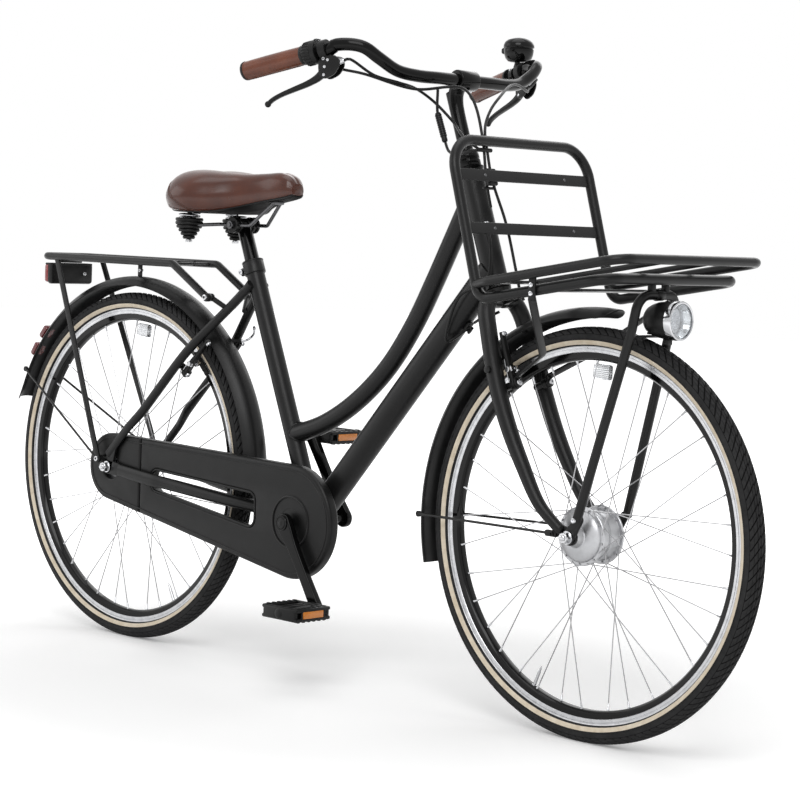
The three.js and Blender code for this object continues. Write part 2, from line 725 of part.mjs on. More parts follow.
// Wheels: tyre, rim, two nets of spokes and the hub.
function addWheel(end, axle, flangeRadius, flangeOffset, netTurn) {
  const bead = RIM_RADIUS + FIT_GAP;
  const shoulder = TYRE_RADIUS - TREAD_SHOULDER;
  const widest = (bead + TYRE_RADIUS) / 2;
  const outer = [
    [RIM_HALF_WIDTH, bead], [TYRE_HALF_WIDTH, widest],
    [TREAD_HALF_WIDTH + TYRE_WALL, shoulder], [TREAD_HALF_WIDTH, TYRE_RADIUS],
  ];
  const inner = [
    [TREAD_HALF_WIDTH, TYRE_RADIUS - TREAD_THICKNESS], [TYRE_HALF_WIDTH - TYRE_WALL, widest],
    [RIM_HALF_WIDTH - TYRE_WALL, bead],
  ];
  const other = (list) => list.map(([y, radius]) => [-y, radius]).reverse();
  add(`${end}_tyre`, wheelRing(axle, [...outer, ...other(outer), ...other(inner), ...inner]), RUBBER);

  const rimInner = RIM_RADIUS - RIM_DEPTH;
  const trackFoot = RIM_RADIUS - RIM_TRACK_DEPTH;
  const rimOuterSide = [[RIM_BED_HALF_WIDTH, rimInner], [RIM_HALF_WIDTH, trackFoot],
    [RIM_HALF_WIDTH, RIM_RADIUS]];
  const rimInnerSide = [
    [RIM_HALF_WIDTH - RIM_WALL, RIM_RADIUS], [RIM_BED_HALF_WIDTH - RIM_WALL, rimInner + RIM_WALL],
  ];
  const rim = [...rimOuterSide, ...rimInnerSide, ...other(rimInnerSide), ...other(rimOuterSide)];
  add(`${end}_rim`, wheelRing(axle, rim), SILVER);

  const onWheel = (radius, turn, y) => vec(axle.x + radius * Math.cos(turn), y,
    axle.z + radius * Math.sin(turn));
  const flangeReach = flangeRadius + FIT_GAP + SPOKE_RADIUS;
  const headRing = wheelRing(axle, [
    [flangeOffset - FLANGE_THICKNESS / 2, flangeReach - SPOKE_RADIUS],
    [flangeOffset + FLANGE_THICKNESS / 2, flangeReach - SPOKE_RADIUS],
    [flangeOffset + FLANGE_THICKNESS / 2, flangeReach + SPOKE_RADIUS],
    [flangeOffset - FLANGE_THICKNESS / 2, flangeReach + SPOKE_RADIUS],
  ], SPOKES_PER_SIDE);
  const rimReach = rimInner * Math.cos(Math.PI / WHEEL_SEGMENTS) - FIT_GAP - SPOKE_RADIUS / 4;
  const net = (turn) => {
    const spokes = [headRing];
    for (let i = 0; i < SPOKES_PER_SIDE; i += 1) {
      const start = turn + (2 * Math.PI * i) / SPOKES_PER_SIDE;
      const side = i % 2 === 0 ? 1 : -1;
      const hubEnd = onWheel(flangeReach, start, flangeOffset + side * SPOKE_LACING);
      const rimEnd = onWheel(rimReach, start + side * SPOKE_TURN, SPOKE_RIM_OFFSET + side * SPOKE_LACING);
      spokes.push(rod(hubEnd, rimEnd, SPOKE_RADIUS, SPOKE_SIDES));
    }
    return join(...spokes);
  };
  add(`${end}_spokes_left`, net(netTurn), SILVER);
  add(`${end}_spokes_right`, mirrored(net(netTurn + Math.PI / SPOKES_PER_SIDE)), SILVER);
}

// A hub of revolution with two flanges and a bore for its axle.
function hubProfile(hubRadius, half, flangeRadius, flangeOffset, capRadius, leftEnd, rightEnd) {
  const bore = AXLE_RADIUS + FIT_GAP;
  const inside = flangeOffset - FLANGE_THICKNESS / 2;
  const outside = flangeOffset + FLANGE_THICKNESS / 2;
  return [
    [-rightEnd, bore], [-rightEnd, capRadius], [-half, capRadius], [-outside, hubRadius],
    [-outside, flangeRadius], [-inside, flangeRadius], [-inside, hubRadius],
    [inside, hubRadius], [inside, flangeRadius], [outside, flangeRadius],
    [outside, hubRadius], [half, capRadius], [leftEnd, capRadius], [leftEnd, bore],
  ];
}

addWheel('rear', rearAxle, REAR_FLANGE_RADIUS, REAR_FLANGE_OFFSET, 0);
addWheel('front', frontAxle, FRONT_FLANGE_RADIUS, FRONT_FLANGE_OFFSET, 0);

const rearHubEnd = REAR_DROPOUT_OFFSET - DROPOUT_THICKNESS / 2 - FIT_GAP;
const frontHubEnd = FRONT_DROPOUT_OFFSET - DROPOUT_THICKNESS / 2 - FIT_GAP;
const rearHub = wheelRing(rearAxle, hubProfile(
  REAR_HUB_RADIUS, REAR_HUB_HALF, REAR_FLANGE_RADIUS, REAR_FLANGE_OFFSET, REAR_CAP_RADIUS, rearHubEnd,
  rearHubEnd,
), SPOKES_PER_SIDE);
const frontHub = wheelRing(frontAxle, hubProfile(
  FRONT_HUB_RADIUS, FRONT_FLANGE_OFFSET + NUT_LENGTH, FRONT_FLANGE_RADIUS, FRONT_FLANGE_OFFSET,
  FRONT_CAP_RADIUS, frontHubEnd, frontHubEnd,
), SPOKES_PER_SIDE);
add('front_hub', frontHub, SILVER);

// Axle with washers and nuts outside what it clamps.
function axleSolid(axle, seat) {
  const end = seat + FIT_GAP + WASHER_LENGTH + NUT_LENGTH + AXLE_STUB;
  const pieces = [crossRod(axle, -end, end, AXLE_RADIUS, STAY_SIDES)];
  for (const side of [-1, 1]) {
    const washer = side * (seat + FIT_GAP);
    const nut = side * (seat + FIT_GAP + WASHER_LENGTH);
    pieces.push(crossRod(axle, washer, nut, WASHER_RADIUS, TUBE_SIDES));
    pieces.push(crossRod(axle, nut, nut + side * NUT_LENGTH, NUT_RADIUS, 6));
  }
  return join(...pieces.map(orient));
}
add('rear_axle', axleSolid(rearAxle, REAR_DROPOUT_OFFSET + DROPOUT_THICKNESS / 2), SILVER);
const strutBossOuter = FRONT_DROPOUT_OFFSET + DROPOUT_THICKNESS / 2 + FIT_GAP + STRUT_BOSS_THICKNESS;
add('front_axle', axleSolid(frontAxle, strutBossOuter), SILVER);

// Frame tubes. Each is cut back by the tube it meets, grown by the fitting gap.
const headLow = onFork(0, 0, HEAD_TUBE_FOOT);
const headTop = onFork(0, 0, HEAD_TUBE_FOOT + HEAD_TUBE_LENGTH);
const cupSkin = (end, low, high, grow) => rod(
  along(end, headUp, low), along(end, headUp, high), CUP_RADIUS + grow, TUBE_SIDES,
);
const headSkin = (grow) => join(
  rod(along(headLow, headUp, -grow), along(headTop, headUp, grow), HEAD_TUBE_RADIUS + grow, TUBE_SIDES),
  cupSkin(headLow, -CUP_HEIGHT - CROWN_HEIGHT, grow, grow),
  cupSkin(headTop, -grow, CUP_HEIGHT + OVERRUN, grow),
);
const headEnd = HEAD_TUBE_LENGTH + CUP_HEIGHT;
const headBore = HEAD_TUBE_BORE / Math.cos(Math.PI / TUBE_SIDES);
add('head_tube', orient(turned(headLow, headUp, [
  [-CUP_HEIGHT, headBore], [-CUP_HEIGHT, CUP_RADIUS], [0, CUP_RADIUS], [0, HEAD_TUBE_RADIUS],
  [HEAD_TUBE_LENGTH, HEAD_TUBE_RADIUS], [HEAD_TUBE_LENGTH, CUP_RADIUS], [headEnd, CUP_RADIUS],
  [headEnd, headBore], [-CUP_HEIGHT, headBore],
], TUBE_SIDES)), MATT_BLACK);

const seatTop = onSeat(SEAT_TUBE_LENGTH);
const seatSkin = (grow) => rod(bracket, along(seatTop, seatUp, OVERRUN), SEAT_TUBE_RADIUS + grow, TUBE_SIDES);
const bracketSkin = (grow) => crossRod(
  bracket, -BRACKET_HALF_WIDTH - grow, BRACKET_HALF_WIDTH + grow, BRACKET_RADIUS + grow, TUBE_SIDES,
);
const downStart = bracket;
const downEnd = onFork(0, 0, HEAD_TUBE_FOOT + DOWN_TUBE_JOIN);
const downSkin = (grow) => rod(downStart, downEnd, DOWN_TUBE_RADIUS + grow, TUBE_SIDES);
// The room beyond the axis of a tube, on the side where no frame tube goes.
const roomBeyond = (low, high, up, outward, reach) => bar([
  along(along(low, outward, reach), up, -reach), along(along(high, outward, reach), up, reach),
], outward, 2 * reach, 2 * reach);
const aheadOfHead = roomBeyond(headLow, headTop, headUp, headForward, HEAD_TUBE_LENGTH);
const behindSeat = roomBeyond(bracket, seatTop, seatUp, seatForward.clone().negate(), HEAD_TUBE_LENGTH);
const topHead = onFork(0, 0, HEAD_TUBE_FOOT + HEAD_TUBE_LENGTH - TOP_TUBE_JOIN_DROP);
const topSeat = onSeat(TOP_TUBE_JOIN_SEAT);
const topLine = topSeat.clone().sub(topHead);
const topSquare = vec(-topLine.z, 0, topLine.x).normalize();
const topSag = (share, bow) => along(mid(topHead, topSeat, share), topSquare, TOP_TUBE_SAG * bow);
const TOP_BOW_SHARES = [[0.15, 0.33], [0.28, 0.61], [0.42, 0.87], [0.58, 1], [0.74, 0.865], [0.88, 0.52]];
const topStations = smooth(
  [topHead, ...TOP_BOW_SHARES.map(([share, bow]) => topSag(share, bow)), topSeat], TOP_TUBE_STEPS,
);
const topSkin = (grow) => tube(topStations, TOP_TUBE_RADIUS + grow, TUBE_SIDES);

const boreFoot = along(seatTop, seatUp, -SEAT_BORE_DEPTH);
const seatBore = rod(boreFoot, along(seatTop, seatUp, OVERRUN), SEAT_TUBE_BORE, TUBE_SIDES);
add('seat_tube', cut(
  rod(bracket, seatTop, SEAT_TUBE_RADIUS, TUBE_SIDES), bracketSkin(FIT_GAP), seatBore,
), MATT_BLACK);
add('bottom_bracket_shell', cut(
  bracketSkin(0),
  crossRod(bracket, -BRACKET_HALF_WIDTH - OVERRUN, BRACKET_HALF_WIDTH + OVERRUN, BRACKET_BORE, TUBE_SIDES),
), MATT_BLACK);
add('down_tube', cut(
  downSkin(0), bracketSkin(FIT_GAP), seatSkin(FIT_GAP), headSkin(FIT_GAP), aheadOfHead, behindSeat,
), MATT_BLACK);
const gussetFoot = along(onSeat(TOP_TUBE_JOIN_SEAT + GUSSET_LENGTH), seatForward, 0);
const gusset = plate([
  gussetFoot, along(gussetFoot, FORWARD, SEAT_TUBE_RADIUS + GUSSET_LENGTH),
  topStations[TOP_TUBE_STEPS - 1], topSeat,
], -GUSSET_THICKNESS / 2, GUSSET_THICKNESS / 2);
add('top_tube', cut(
  join(topSkin(0), orient(gusset)), headSkin(FIT_GAP), seatSkin(FIT_GAP), downSkin(FIT_GAP), aheadOfHead,
  behindSeat,
), MATT_BLACK);

// Rear triangle: chain stays with their dropout plates, and seat stays with brake bosses.
const stayRear = at(along(rearAxle, bracket.clone().sub(rearAxle).normalize(), DROPOUT_RADIUS), 0);
const onStayLine = (share, y) => at(mid(rearAxle, bracket, share), y);
const CHAIN_STAY_SHARES = {
  plateEnd: 0.07, flatEnd: 0.245, round: 0.34, wheel: 0.64, bracket: 0.83, end: 0.97,
};
const stayShare = CHAIN_STAY_SHARES;
const chainStayStations = [
  onStayLine(stayShare.plateEnd, CHAIN_STAY_REAR_OFFSET),
  onStayLine(stayShare.flatEnd, CHAIN_STAY_REAR_OFFSET),
  onStayLine(stayShare.round, (2 * CHAIN_STAY_REAR_OFFSET + CHAIN_STAY_WHEEL_OFFSET) / 3),
  onStayLine(stayShare.wheel, CHAIN_STAY_WHEEL_OFFSET), onStayLine(stayShare.bracket,
    CHAIN_STAY_BRACKET_OFFSET),
  onStayLine(stayShare.end, CHAIN_STAY_BRACKET_OFFSET),
];
const chainStaySizes = [
  [CHAIN_STAY_FLAT, CHAIN_STAY_RADIUS], [CHAIN_STAY_FLAT, CHAIN_STAY_RADIUS],
  [CHAIN_STAY_RADIUS * STAY_OVAL_SHARE, CHAIN_STAY_RADIUS], [CHAIN_STAY_RADIUS, CHAIN_STAY_RADIUS],
  [CHAIN_STAY_RADIUS, CHAIN_STAY_RADIUS], [CHAIN_STAY_RADIUS, CHAIN_STAY_RADIUS],
];
const dropoutInner = REAR_DROPOUT_OFFSET - DROPOUT_THICKNESS / 2;
const dropoutOuter = REAR_DROPOUT_OFFSET + DROPOUT_THICKNESS / 2;
const dropoutReach = along(rearAxle, stayRear.clone().sub(rearAxle).normalize(), 3 * DROPOUT_RADIUS);
const dropout = plate(
  beltOutline(rearAxle, DROPOUT_RADIUS, dropoutReach, CHAIN_STAY_RADIUS, STAY_SIDES),
  dropoutInner, dropoutOuter, [discOutline(rearAxle, AXLE_RADIUS + FIT_GAP, STAY_SIDES).reverse()],
);
const strutEar = plate(
  beltOutline(
    rearAxle, DROPOUT_RADIUS, vec(RACK_STRUT_FOOT_FORWARD, 0, RACK_STRUT_FOOT_HEIGHT), RACK_STRUT_WIDTH / 2,
    STAY_SIDES,
  ), dropoutInner, dropoutOuter, [discOutline(rearAxle, AXLE_RADIUS + FIT_GAP, STAY_SIDES).reverse()],
);
addCutPair(
  'chain_stay', join(tapered(chainStayStations, chainStaySizes), orient(dropout), orient(strutEar)),
  [bracketSkin(FIT_GAP), seatSkin(FIT_GAP), downSkin(FIT_GAP)], [], MATT_BLACK,
);

const stayFoot = along(rearAxle, UP, STAY_FOOT_SHARE * DROPOUT_RADIUS);
const stayJoin = onSeat(SEAT_STAY_JOIN);
const stayUp = stayJoin.clone().sub(stayFoot).normalize();
const stayAhead = vec(stayUp.z, 0, -stayUp.x);
const SEAT_STAY_SHARES = [0, 0.16, 0.26, 0.62, 0.95, 1];
const seatStayPlaces = [
  REAR_DROPOUT_OFFSET, REAR_DROPOUT_OFFSET, SEAT_STAY_OFFSET, SEAT_STAY_OFFSET,
  SEAT_STAY_TOP_OFFSET, SEAT_STAY_TOP_OFFSET,
];
const seatStayStations = SEAT_STAY_SHARES.map((share, i) => at(mid(stayFoot, stayJoin, share),
  seatStayPlaces[i]));
const seatStaySizes = SEAT_STAY_SHARES.map((share, i) => (
  i < 2 ? [CHAIN_STAY_FLAT, SEAT_STAY_RADIUS] : [SEAT_STAY_RADIUS, SEAT_STAY_RADIUS]
));
const dropoutRoom = plate(
  beltOutline(rearAxle, DROPOUT_RADIUS + FIT_GAP, dropoutReach, CHAIN_STAY_RADIUS + FIT_GAP, STAY_SIDES),
  dropoutInner - FIT_GAP, dropoutOuter + FIT_GAP,
);

// A brake boss on a tube: the pin stands square to the tube, beside the rim.
function brakePlace(axle, tubePoint, up, ahead, tubeRadius) {
  const offset = tubePoint.clone().sub(axle);
  const across = offset.dot(ahead) + tubeRadius + BRAKE_ARM_STANDOFF;
  const lift = Math.sqrt(BRAKE_BOSS_RADIUS ** 2 - across ** 2) - offset.dot(up);
  const padLift = Math.sqrt(PAD_RADIUS ** 2 - across ** 2) - offset.dot(up);
  const inTube = along(tubePoint, up, lift);
  const standoff = tubeRadius + BRAKE_ARM_STANDOFF;
  return {
    inTube, ahead, up, axle, standoff,
    pivot: along(inTube, ahead, standoff),
    pad: along(along(tubePoint, up, padLift), ahead, standoff),
  };
}

function brakePin(place, tubeOffset) {
  const root = at(place.inTube, BRAKE_BOSS_OFFSET);
  const tip = along(root, place.ahead, place.standoff + BRAKE_ARM_THICKNESS / 2 + FIT_GAP);
  return join(
    rod(root, tip, BRAKE_PIN_RADIUS, TUBE_SIDES),
    crossRod(
      place.inTube, BRAKE_BOSS_OFFSET - BRAKE_PIN_STEP, tubeOffset, BRAKE_PIN_RADIUS + BRAKE_PIN_STEP,
      STAY_SIDES,
    ),
  );
}

function brakeArm(place) {
  const pivot = at(place.pivot, BRAKE_BOSS_OFFSET);
  const half = BRAKE_ARM_THICKNESS / 2;
  const armTop = along(along(pivot, place.up, BRAKE_ARM_LENGTH), LEFT, BRAKE_ARM_SPLAY);
  const arm = bar([pivot, armTop], LEFT, BRAKE_ARM_WIDTH, BRAKE_ARM_THICKNESS - BRAKE_PIN_STEP);
  const hub = rod(along(pivot, place.ahead, -half), along(pivot, place.ahead, half), BRAKE_HUB_RADIUS,
    TUBE_SIDES);
  const padInner = RIM_HALF_WIDTH + PAD_CLEARANCE;
  const stem = crossRod(
    place.pad, padInner + PAD_DEPTH / 2, BRAKE_BOSS_OFFSET, BRAKE_PIN_RADIUS - BRAKE_PIN_STEP, STAY_SIDES,
  );
  const tangent = place.pad.clone().sub(place.axle).cross(LEFT).normalize();
  const padCentre = at(place.pad, padInner + PAD_DEPTH / 2);
  const pad = bar([
    along(padCentre, tangent, -PAD_LENGTH / 2), along(padCentre, tangent, PAD_LENGTH / 2),
  ], LEFT, PAD_DEPTH, PAD_HEIGHT);
  const bore = rod(
    along(pivot, place.ahead, -OVERRUN - half), along(pivot, place.ahead, half + OVERRUN),
    BRAKE_PIN_RADIUS + FIT_GAP, TUBE_SIDES,
  );
  return cut(join(arm, hub, stem, pad), bore);
}

const rearBrake = brakePlace(rearAxle, stayFoot, stayUp, stayAhead, SEAT_STAY_RADIUS);
const rackEarReach = vec(RACK_BOLT_FORWARD, 0, RACK_BOLT_HEIGHT).sub(stayFoot).dot(stayUp);
const rackEarFoot = at(along(stayFoot, stayUp, rackEarReach), SEAT_STAY_TOP_OFFSET);
const rackEarEnd = vec(RACK_BOLT_FORWARD, RACK_HALF - RACK_RADIUS - RACK_EAR / 2, RACK_BOLT_HEIGHT);
const rackEar = join(
  rod(rackEarFoot, rackEarEnd, RACK_EAR, STAY_SIDES - 2),
  crossRod(
    rackEarEnd, rackEarEnd.y - RACK_EAR / 2, rackEarEnd.y + RACK_EAR / 2 - FIT_GAP, RACK_RADIUS, STAY_SIDES,
  ),
);
const offSide = plate(
  [vec(0, 0, 0), vec(WHEELBASE, 0, 0), vec(WHEELBASE, 0, WHEELBASE), vec(0, 0, WHEELBASE)], -WHEELBASE,
  FIT_GAP,
);
addCutPair(
  'seat_stay', join(tapered(seatStayStations, seatStaySizes), brakePin(rearBrake, SEAT_STAY_OFFSET), rackEar),
  [seatSkin(FIT_GAP)], [dropoutRoom, offSide], MATT_BLACK,
);
addPair('rear_brake_arm', brakeArm(rearBrake), PLASTIC_BLACK);

// Seat clamp collar with its ear and bolt, the post and the saddle.
const collarFoot = along(seatTop, seatUp, COLLAR_STEP - COLLAR_HEIGHT);
const collarTop = along(seatTop, seatUp, COLLAR_STEP);
const earCentre = along(mid(collarFoot, collarTop, 0.5), seatForward, -COLLAR_RADIUS - CLIP_SIZE / 2);
const collarBolt = crossRod(earCentre, -CLIP_SIZE, CLIP_SIZE, AXLE_RADIUS * BOLT_HEAD_SHARE, TUBE_SIDES);
const earLength = CLIP_SIZE * EAR_LENGTH_SHARE;
const ear = block(along(earCentre, seatForward, CLIP_SIZE / 4), earLength, earLength,
  CLIP_SIZE * EAR_HEIGHT_SHARE);
add('seat_clamp', cut(
  join(rod(collarFoot, collarTop, COLLAR_RADIUS, TUBE_SIDES), ear, collarBolt),
  rod(along(collarFoot, seatUp, -OVERRUN), along(seatTop, seatUp, FIT_GAP), SEAT_TUBE_RADIUS + FIT_GAP,
    TUBE_SIDES),
  rod(collarFoot, along(collarTop, seatUp, OVERRUN), POST_RADIUS + FIT_GAP, TUBE_SIDES),
), MATT_BLACK);

const postTop = onSeat((POST_TOP_HEIGHT - BRACKET_HEIGHT) / Math.sin(SEAT_ANGLE));
const postFoot = along(postTop, seatUp, -POST_LENGTH);
add('seat_post', rod(postFoot, postTop, POST_RADIUS, TUBE_SIDES), GLOSS_BLACK);

// Saddle: a padded shell whose rings run from the tail to the nose.
// Shares of its length, half width, top height and under height at each ring.
const SADDLE_RING_SHARES = [
  [0, 0.42, 0.52, 0.36], [0.025, 0.66, 0.76, 0.16], [0.08, 0.87, 0.93, 0.04], [0.18, 1, 1, 0],
  [0.32, 0.97, 0.99, 0], [0.46, 0.74, 0.95, 0.04], [0.6, 0.47, 0.93, 0.16], [0.74, 0.32, 0.95, 0.28],
  [0.87, 0.26, 0.97, 0.36], [0.95, 0.21, 0.88, 0.42], [0.99, 0.13, 0.72, 0.48],
];
// Shares of the half width and of the height round one ring, from the middle of the top.
const SADDLE_SECTION_SHARES = [
  [0, 0.97], [0.3, 1], [0.62, 0.93], [0.86, 0.74], [1, 0.44], [0.97, 0.18], [0.85, 0.03], [0.45, 0], [0, 0],
];
const saddleLow = SADDLE_TOP - SADDLE_THICKNESS;
const saddleRing = ([place, width, top, under]) => {
  const x = SADDLE_REAR + SADDLE_LENGTH * place;
  const z0 = saddleLow + SADDLE_THICKNESS * under;
  const z1 = saddleLow + SADDLE_THICKNESS * top;
  const half = SADDLE_SECTION_SHARES.map(([w, h]) => vec(x, SADDLE_HALF_WIDTH * width * w,
    z0 + (z1 - z0) * h));
  return [...half, ...half.slice(1, -1).reverse().map(flip)];
};
const saddleBody = loft(SADDLE_RING_SHARES.map(saddleRing));
add('saddle', orient(saddleBody), LEATHER);

// Saddle springs: ribbed cone covers under a short visible coil, on both sides.
const springFoot = vec(SPRING_FORWARD, SPRING_OFFSET, SPRING_COVER_TOP - SPRING_COVER_HEIGHT);
const ribPitch = SPRING_COVER_HEIGHT / SPRING_RIBS;
const coverProfile = [[0, 0], [0, SPRING_TIP_RADIUS]];
for (let i = 0; i < SPRING_RIBS; i += 1) {
  const share = Math.min(1, (i + 0.5) / (SPRING_RIBS - 2));
  const radius = SPRING_TIP_RADIUS + (SPRING_COVER_RADIUS - SPRING_TIP_RADIUS) * share;
  coverProfile.push([ribPitch * (i + 0.45), radius], [ribPitch * (i + 0.95), radius - SPRING_RIB_DEPTH]);
}
coverProfile.push([SPRING_COVER_HEIGHT, 0]);
const coilSteps = Math.round(SPRING_TURNS * STAY_SIDES);
const saddleUnder = saddleLow - FIT_GAP;
const coilRise = saddleUnder - SPRING_WIRE_RADIUS - (SPRING_COVER_TOP - SPRING_WIRE_RADIUS);
const coil = [...Array(coilSteps + 1).keys()].map((i) => {
  const turn = (2 * Math.PI * SPRING_TURNS * i) / coilSteps;
  return vec(
    SPRING_FORWARD + SPRING_COIL_RADIUS * Math.cos(turn),
    SPRING_OFFSET + SPRING_COIL_RADIUS * Math.sin(turn),
    SPRING_COVER_TOP - SPRING_WIRE_RADIUS + (coilRise * i) / coilSteps,
  );
});
const springPin = rod(springFoot, vec(SPRING_FORWARD, SPRING_OFFSET, saddleUnder), AXLE_RADIUS, STAY_SIDES);
addPair('saddle_spring', join(
  orient(turned(springFoot, UP, coverProfile, STAY_SIDES)), springPin, tube(coil, SPRING_WIRE_RADIUS, 4),
), PLASTIC_BLACK);

// Saddle frame: two rails from the nose through the post clamp to the springs.
const noseUnder = vec(
  SADDLE_REAR + SADDLE_LENGTH * RAIL_NOSE_SHARE, SADDLE_NOSE_HALF / 3,
  saddleLow + SADDLE_THICKNESS * RAIL_NOSE_LIFT_SHARE,
);
const clampCentre = at(postTop, 0);
const railLow = clampCentre.z - SADDLE_RAIL_RADIUS;
const springRing = vec(SPRING_FORWARD, SPRING_OFFSET, SPRING_COVER_TOP - SPRING_COVER_HEIGHT / 3);
const rail = (side) => {
  const y = (place) => side * place;
  return tube(bent([
    vec(noseUnder.x, y(noseUnder.y), noseUnder.z),
    vec(clampCentre.x + 2 * SADDLE_RAIL_OFFSET, y(SADDLE_RAIL_OFFSET), railLow),
    vec(clampCentre.x - 2 * SADDLE_RAIL_OFFSET, y(SADDLE_RAIL_OFFSET), railLow),
    vec(springRing.x + SPRING_COVER_RADIUS * RAIL_SPRING_SHARE, y(springRing.y), springRing.z),
  ], SADDLE_RAIL_OFFSET / 2, 2), SADDLE_RAIL_RADIUS, 6);
};
const coverRoom = rod(
  along(springFoot, UP, -OVERRUN), vec(SPRING_FORWARD, SPRING_OFFSET, saddleUnder),
  (SPRING_COVER_RADIUS + FIT_GAP) / Math.cos(Math.PI / TUBE_SIDES), TUBE_SIDES,
);
const clampBody = crossRod(
  vec(clampCentre.x, 0, railLow), -SADDLE_RAIL_OFFSET - CLIP_SIZE / 2, SADDLE_RAIL_OFFSET + CLIP_SIZE / 2,
  POST_RADIUS, TUBE_SIDES,
);
const noseBridge = block(
  vec(noseUnder.x, 0, noseUnder.z), CLIP_SIZE, SADDLE_NOSE_HALF, 2 * SADDLE_RAIL_RADIUS,
);
const postRoom = rod(postFoot, postTop, POST_RADIUS + FIT_GAP, TUBE_SIDES);
add('saddle_frame', cut(
  join(rail(1), rail(-1), clampBody, noseBridge), coverRoom, mirrored(coverRoom), postRoom,
  orient(saddleBody),
), STEEL_DARK);

// Chain case: a closed shell round the chain, with a window for the chain stay and a rear cover of its own.
const caseOutline = (grow) => beltOutline(
  rearAxle, CASE_REAR_RADIUS + grow, bracket, CASE_FRONT_RADIUS + grow, TUBE_SIDES,
);
const windowAt = (x, half) => along(mid(rearAxle, bracket, x / BRACKET_FORWARD), UP, half);
const windowOutline = (grow) => [
  along(windowAt(CASE_WINDOW_REAR, -CASE_WINDOW_REAR_HALF - grow), FORWARD, -grow),
  along(windowAt(CASE_WINDOW_FRONT, -CASE_WINDOW_FRONT_HALF - grow), FORWARD, grow),
  along(windowAt(CASE_WINDOW_FRONT, CASE_WINDOW_FRONT_HALF + grow), FORWARD, grow),
  along(windowAt(CASE_WINDOW_REAR, CASE_WINDOW_REAR_HALF + grow), FORWARD, -grow),
];
const slab = (outline, inner, outer) => orient(plate(outline, -outer, -inner));
const caseHole = (centre, radius, inner, outer) => slab(discOutline(centre, radius, TUBE_SIDES), inner,
  outer);
const caseShell = cut(
  slab(caseOutline(0), CASE_INNER_OFFSET, CASE_OUTER_OFFSET),
  cut(
    slab(caseOutline(-CASE_WALL), CASE_INNER_OFFSET + CASE_WALL, CASE_OUTER_OFFSET - CASE_WALL),
    slab(windowOutline(CASE_WALL), CASE_INNER_OFFSET - OVERRUN, CASE_OUTER_OFFSET + OVERRUN),
  ),
  slab(windowOutline(0), CASE_INNER_OFFSET - OVERRUN, CASE_OUTER_OFFSET + OVERRUN),
  caseHole(bracket, CASE_HOLE_RADIUS, CASE_OUTER_OFFSET - 2 * CASE_WALL, CASE_OUTER_OFFSET + OVERRUN),
  caseHole(bracket, CASE_BRACKET_HOLE, CASE_INNER_OFFSET - OVERRUN, CASE_INNER_OFFSET + 2 * CASE_WALL),
  caseHole(rearAxle, CASE_HUB_HOLE, CASE_INNER_OFFSET - OVERRUN, CASE_OUTER_OFFSET + OVERRUN),
);
const splitRoom = (rear, front) => slab([
  vec(rear, 0, 0), vec(front, 0, 0), vec(front, 0, BRACKET_HEIGHT * 2), vec(rear, 0, BRACKET_HEIGHT * 2),
], 0, CASE_OUTER_OFFSET + OVERRUN);
const behind = splitRoom(-2 * CASE_REAR_RADIUS, CASE_SPLIT + FIT_GAP);
const ahead = splitRoom(CASE_SPLIT, WHEELBASE);
add('chain_case', cut(caseShell, behind), PLASTIC_BLACK);
add('chain_case_rear_cover', cut(caseShell, ahead), PLASTIC_BLACK);

// Chain and its wheels. The chain is a plain band as wide and high as its links.
const pitchRadius = (teeth) => CHAIN_PITCH / (2 * Math.sin(Math.PI / teeth));
const chainringPitch = pitchRadius(CHAINRING_TEETH);
const sprocketPitch = pitchRadius(SPROCKET_TEETH);
const band = (grow) => beltOutline(rearAxle, sprocketPitch + grow, bracket, chainringPitch + grow,
  TUBE_SIDES);
add('chain', cut(
  slab(band(CHAIN_HALF_HEIGHT), CHAIN_LINE - CHAIN_WIDTH / 2, CHAIN_LINE + CHAIN_WIDTH / 2),
  slab(band(-CHAIN_HALF_HEIGHT), CHAIN_LINE - CHAIN_WIDTH, CHAIN_LINE + CHAIN_WIDTH),
), STEEL_DARK);
const innerCord = Math.cos(Math.PI / TUBE_SIDES / 2);
const ringBody = (centre, pitch) => slab(
  discOutline(centre, (pitch - CHAIN_HALF_HEIGHT) * innerCord - FIT_GAP, 2 * TUBE_SIDES),
  CHAIN_LINE - RING_THICKNESS / 2, CHAIN_LINE + RING_THICKNESS / 2,
);
const hubRoom = crossRod(
  rearAxle, -CHAIN_LINE - CHAIN_WIDTH, CHAIN_WIDTH - CHAIN_LINE, AXLE_RADIUS + FIT_GAP, SPOKES_PER_SIDE,
);
add('rear_hub', join(rearHub, cut(ringBody(rearAxle, sprocketPitch), hubRoom)), SILVER);

// Cranks, with the spindle on the left one and the chainring on the right one, and pedals.
const crankDirection = vec(Math.cos(CRANK_ANGLE), 0, Math.sin(CRANK_ANGLE));
const crankInner = CRANK_OFFSET - CRANK_THICKNESS / 2;
const crankOuter = CRANK_OFFSET + CRANK_THICKNESS / 2;
const crankSolid = (direction, sign) => {
  const tip = along(bracket, direction, CRANK_LENGTH);
  const outline = beltOutline(bracket, CRANK_EYE_RADIUS, tip, CRANK_TIP_RADIUS, STAY_SIDES);
  const [y0, y1] = sign > 0 ? [crankInner, crankOuter] : [-crankOuter, -crankInner];
  const pedalEnd = crankOuter + FIT_GAP + PEDAL_WIDTH - PEDAL_PLATE;
  return join(
    orient(plate(outline, y0, y1)),
    crossRod(tip, sign * CRANK_OFFSET, sign * pedalEnd, PEDAL_SPINDLE_RADIUS, STAY_SIDES),
  );
};
const spindleEnd = crankInner - FIT_GAP;
add('crank_left', join(
  crankSolid(crankDirection.clone().negate(), 1),
  crossRod(bracket, -spindleEnd, CRANK_OFFSET, SPINDLE_RADIUS, TUBE_SIDES),
), MATT_BLACK);
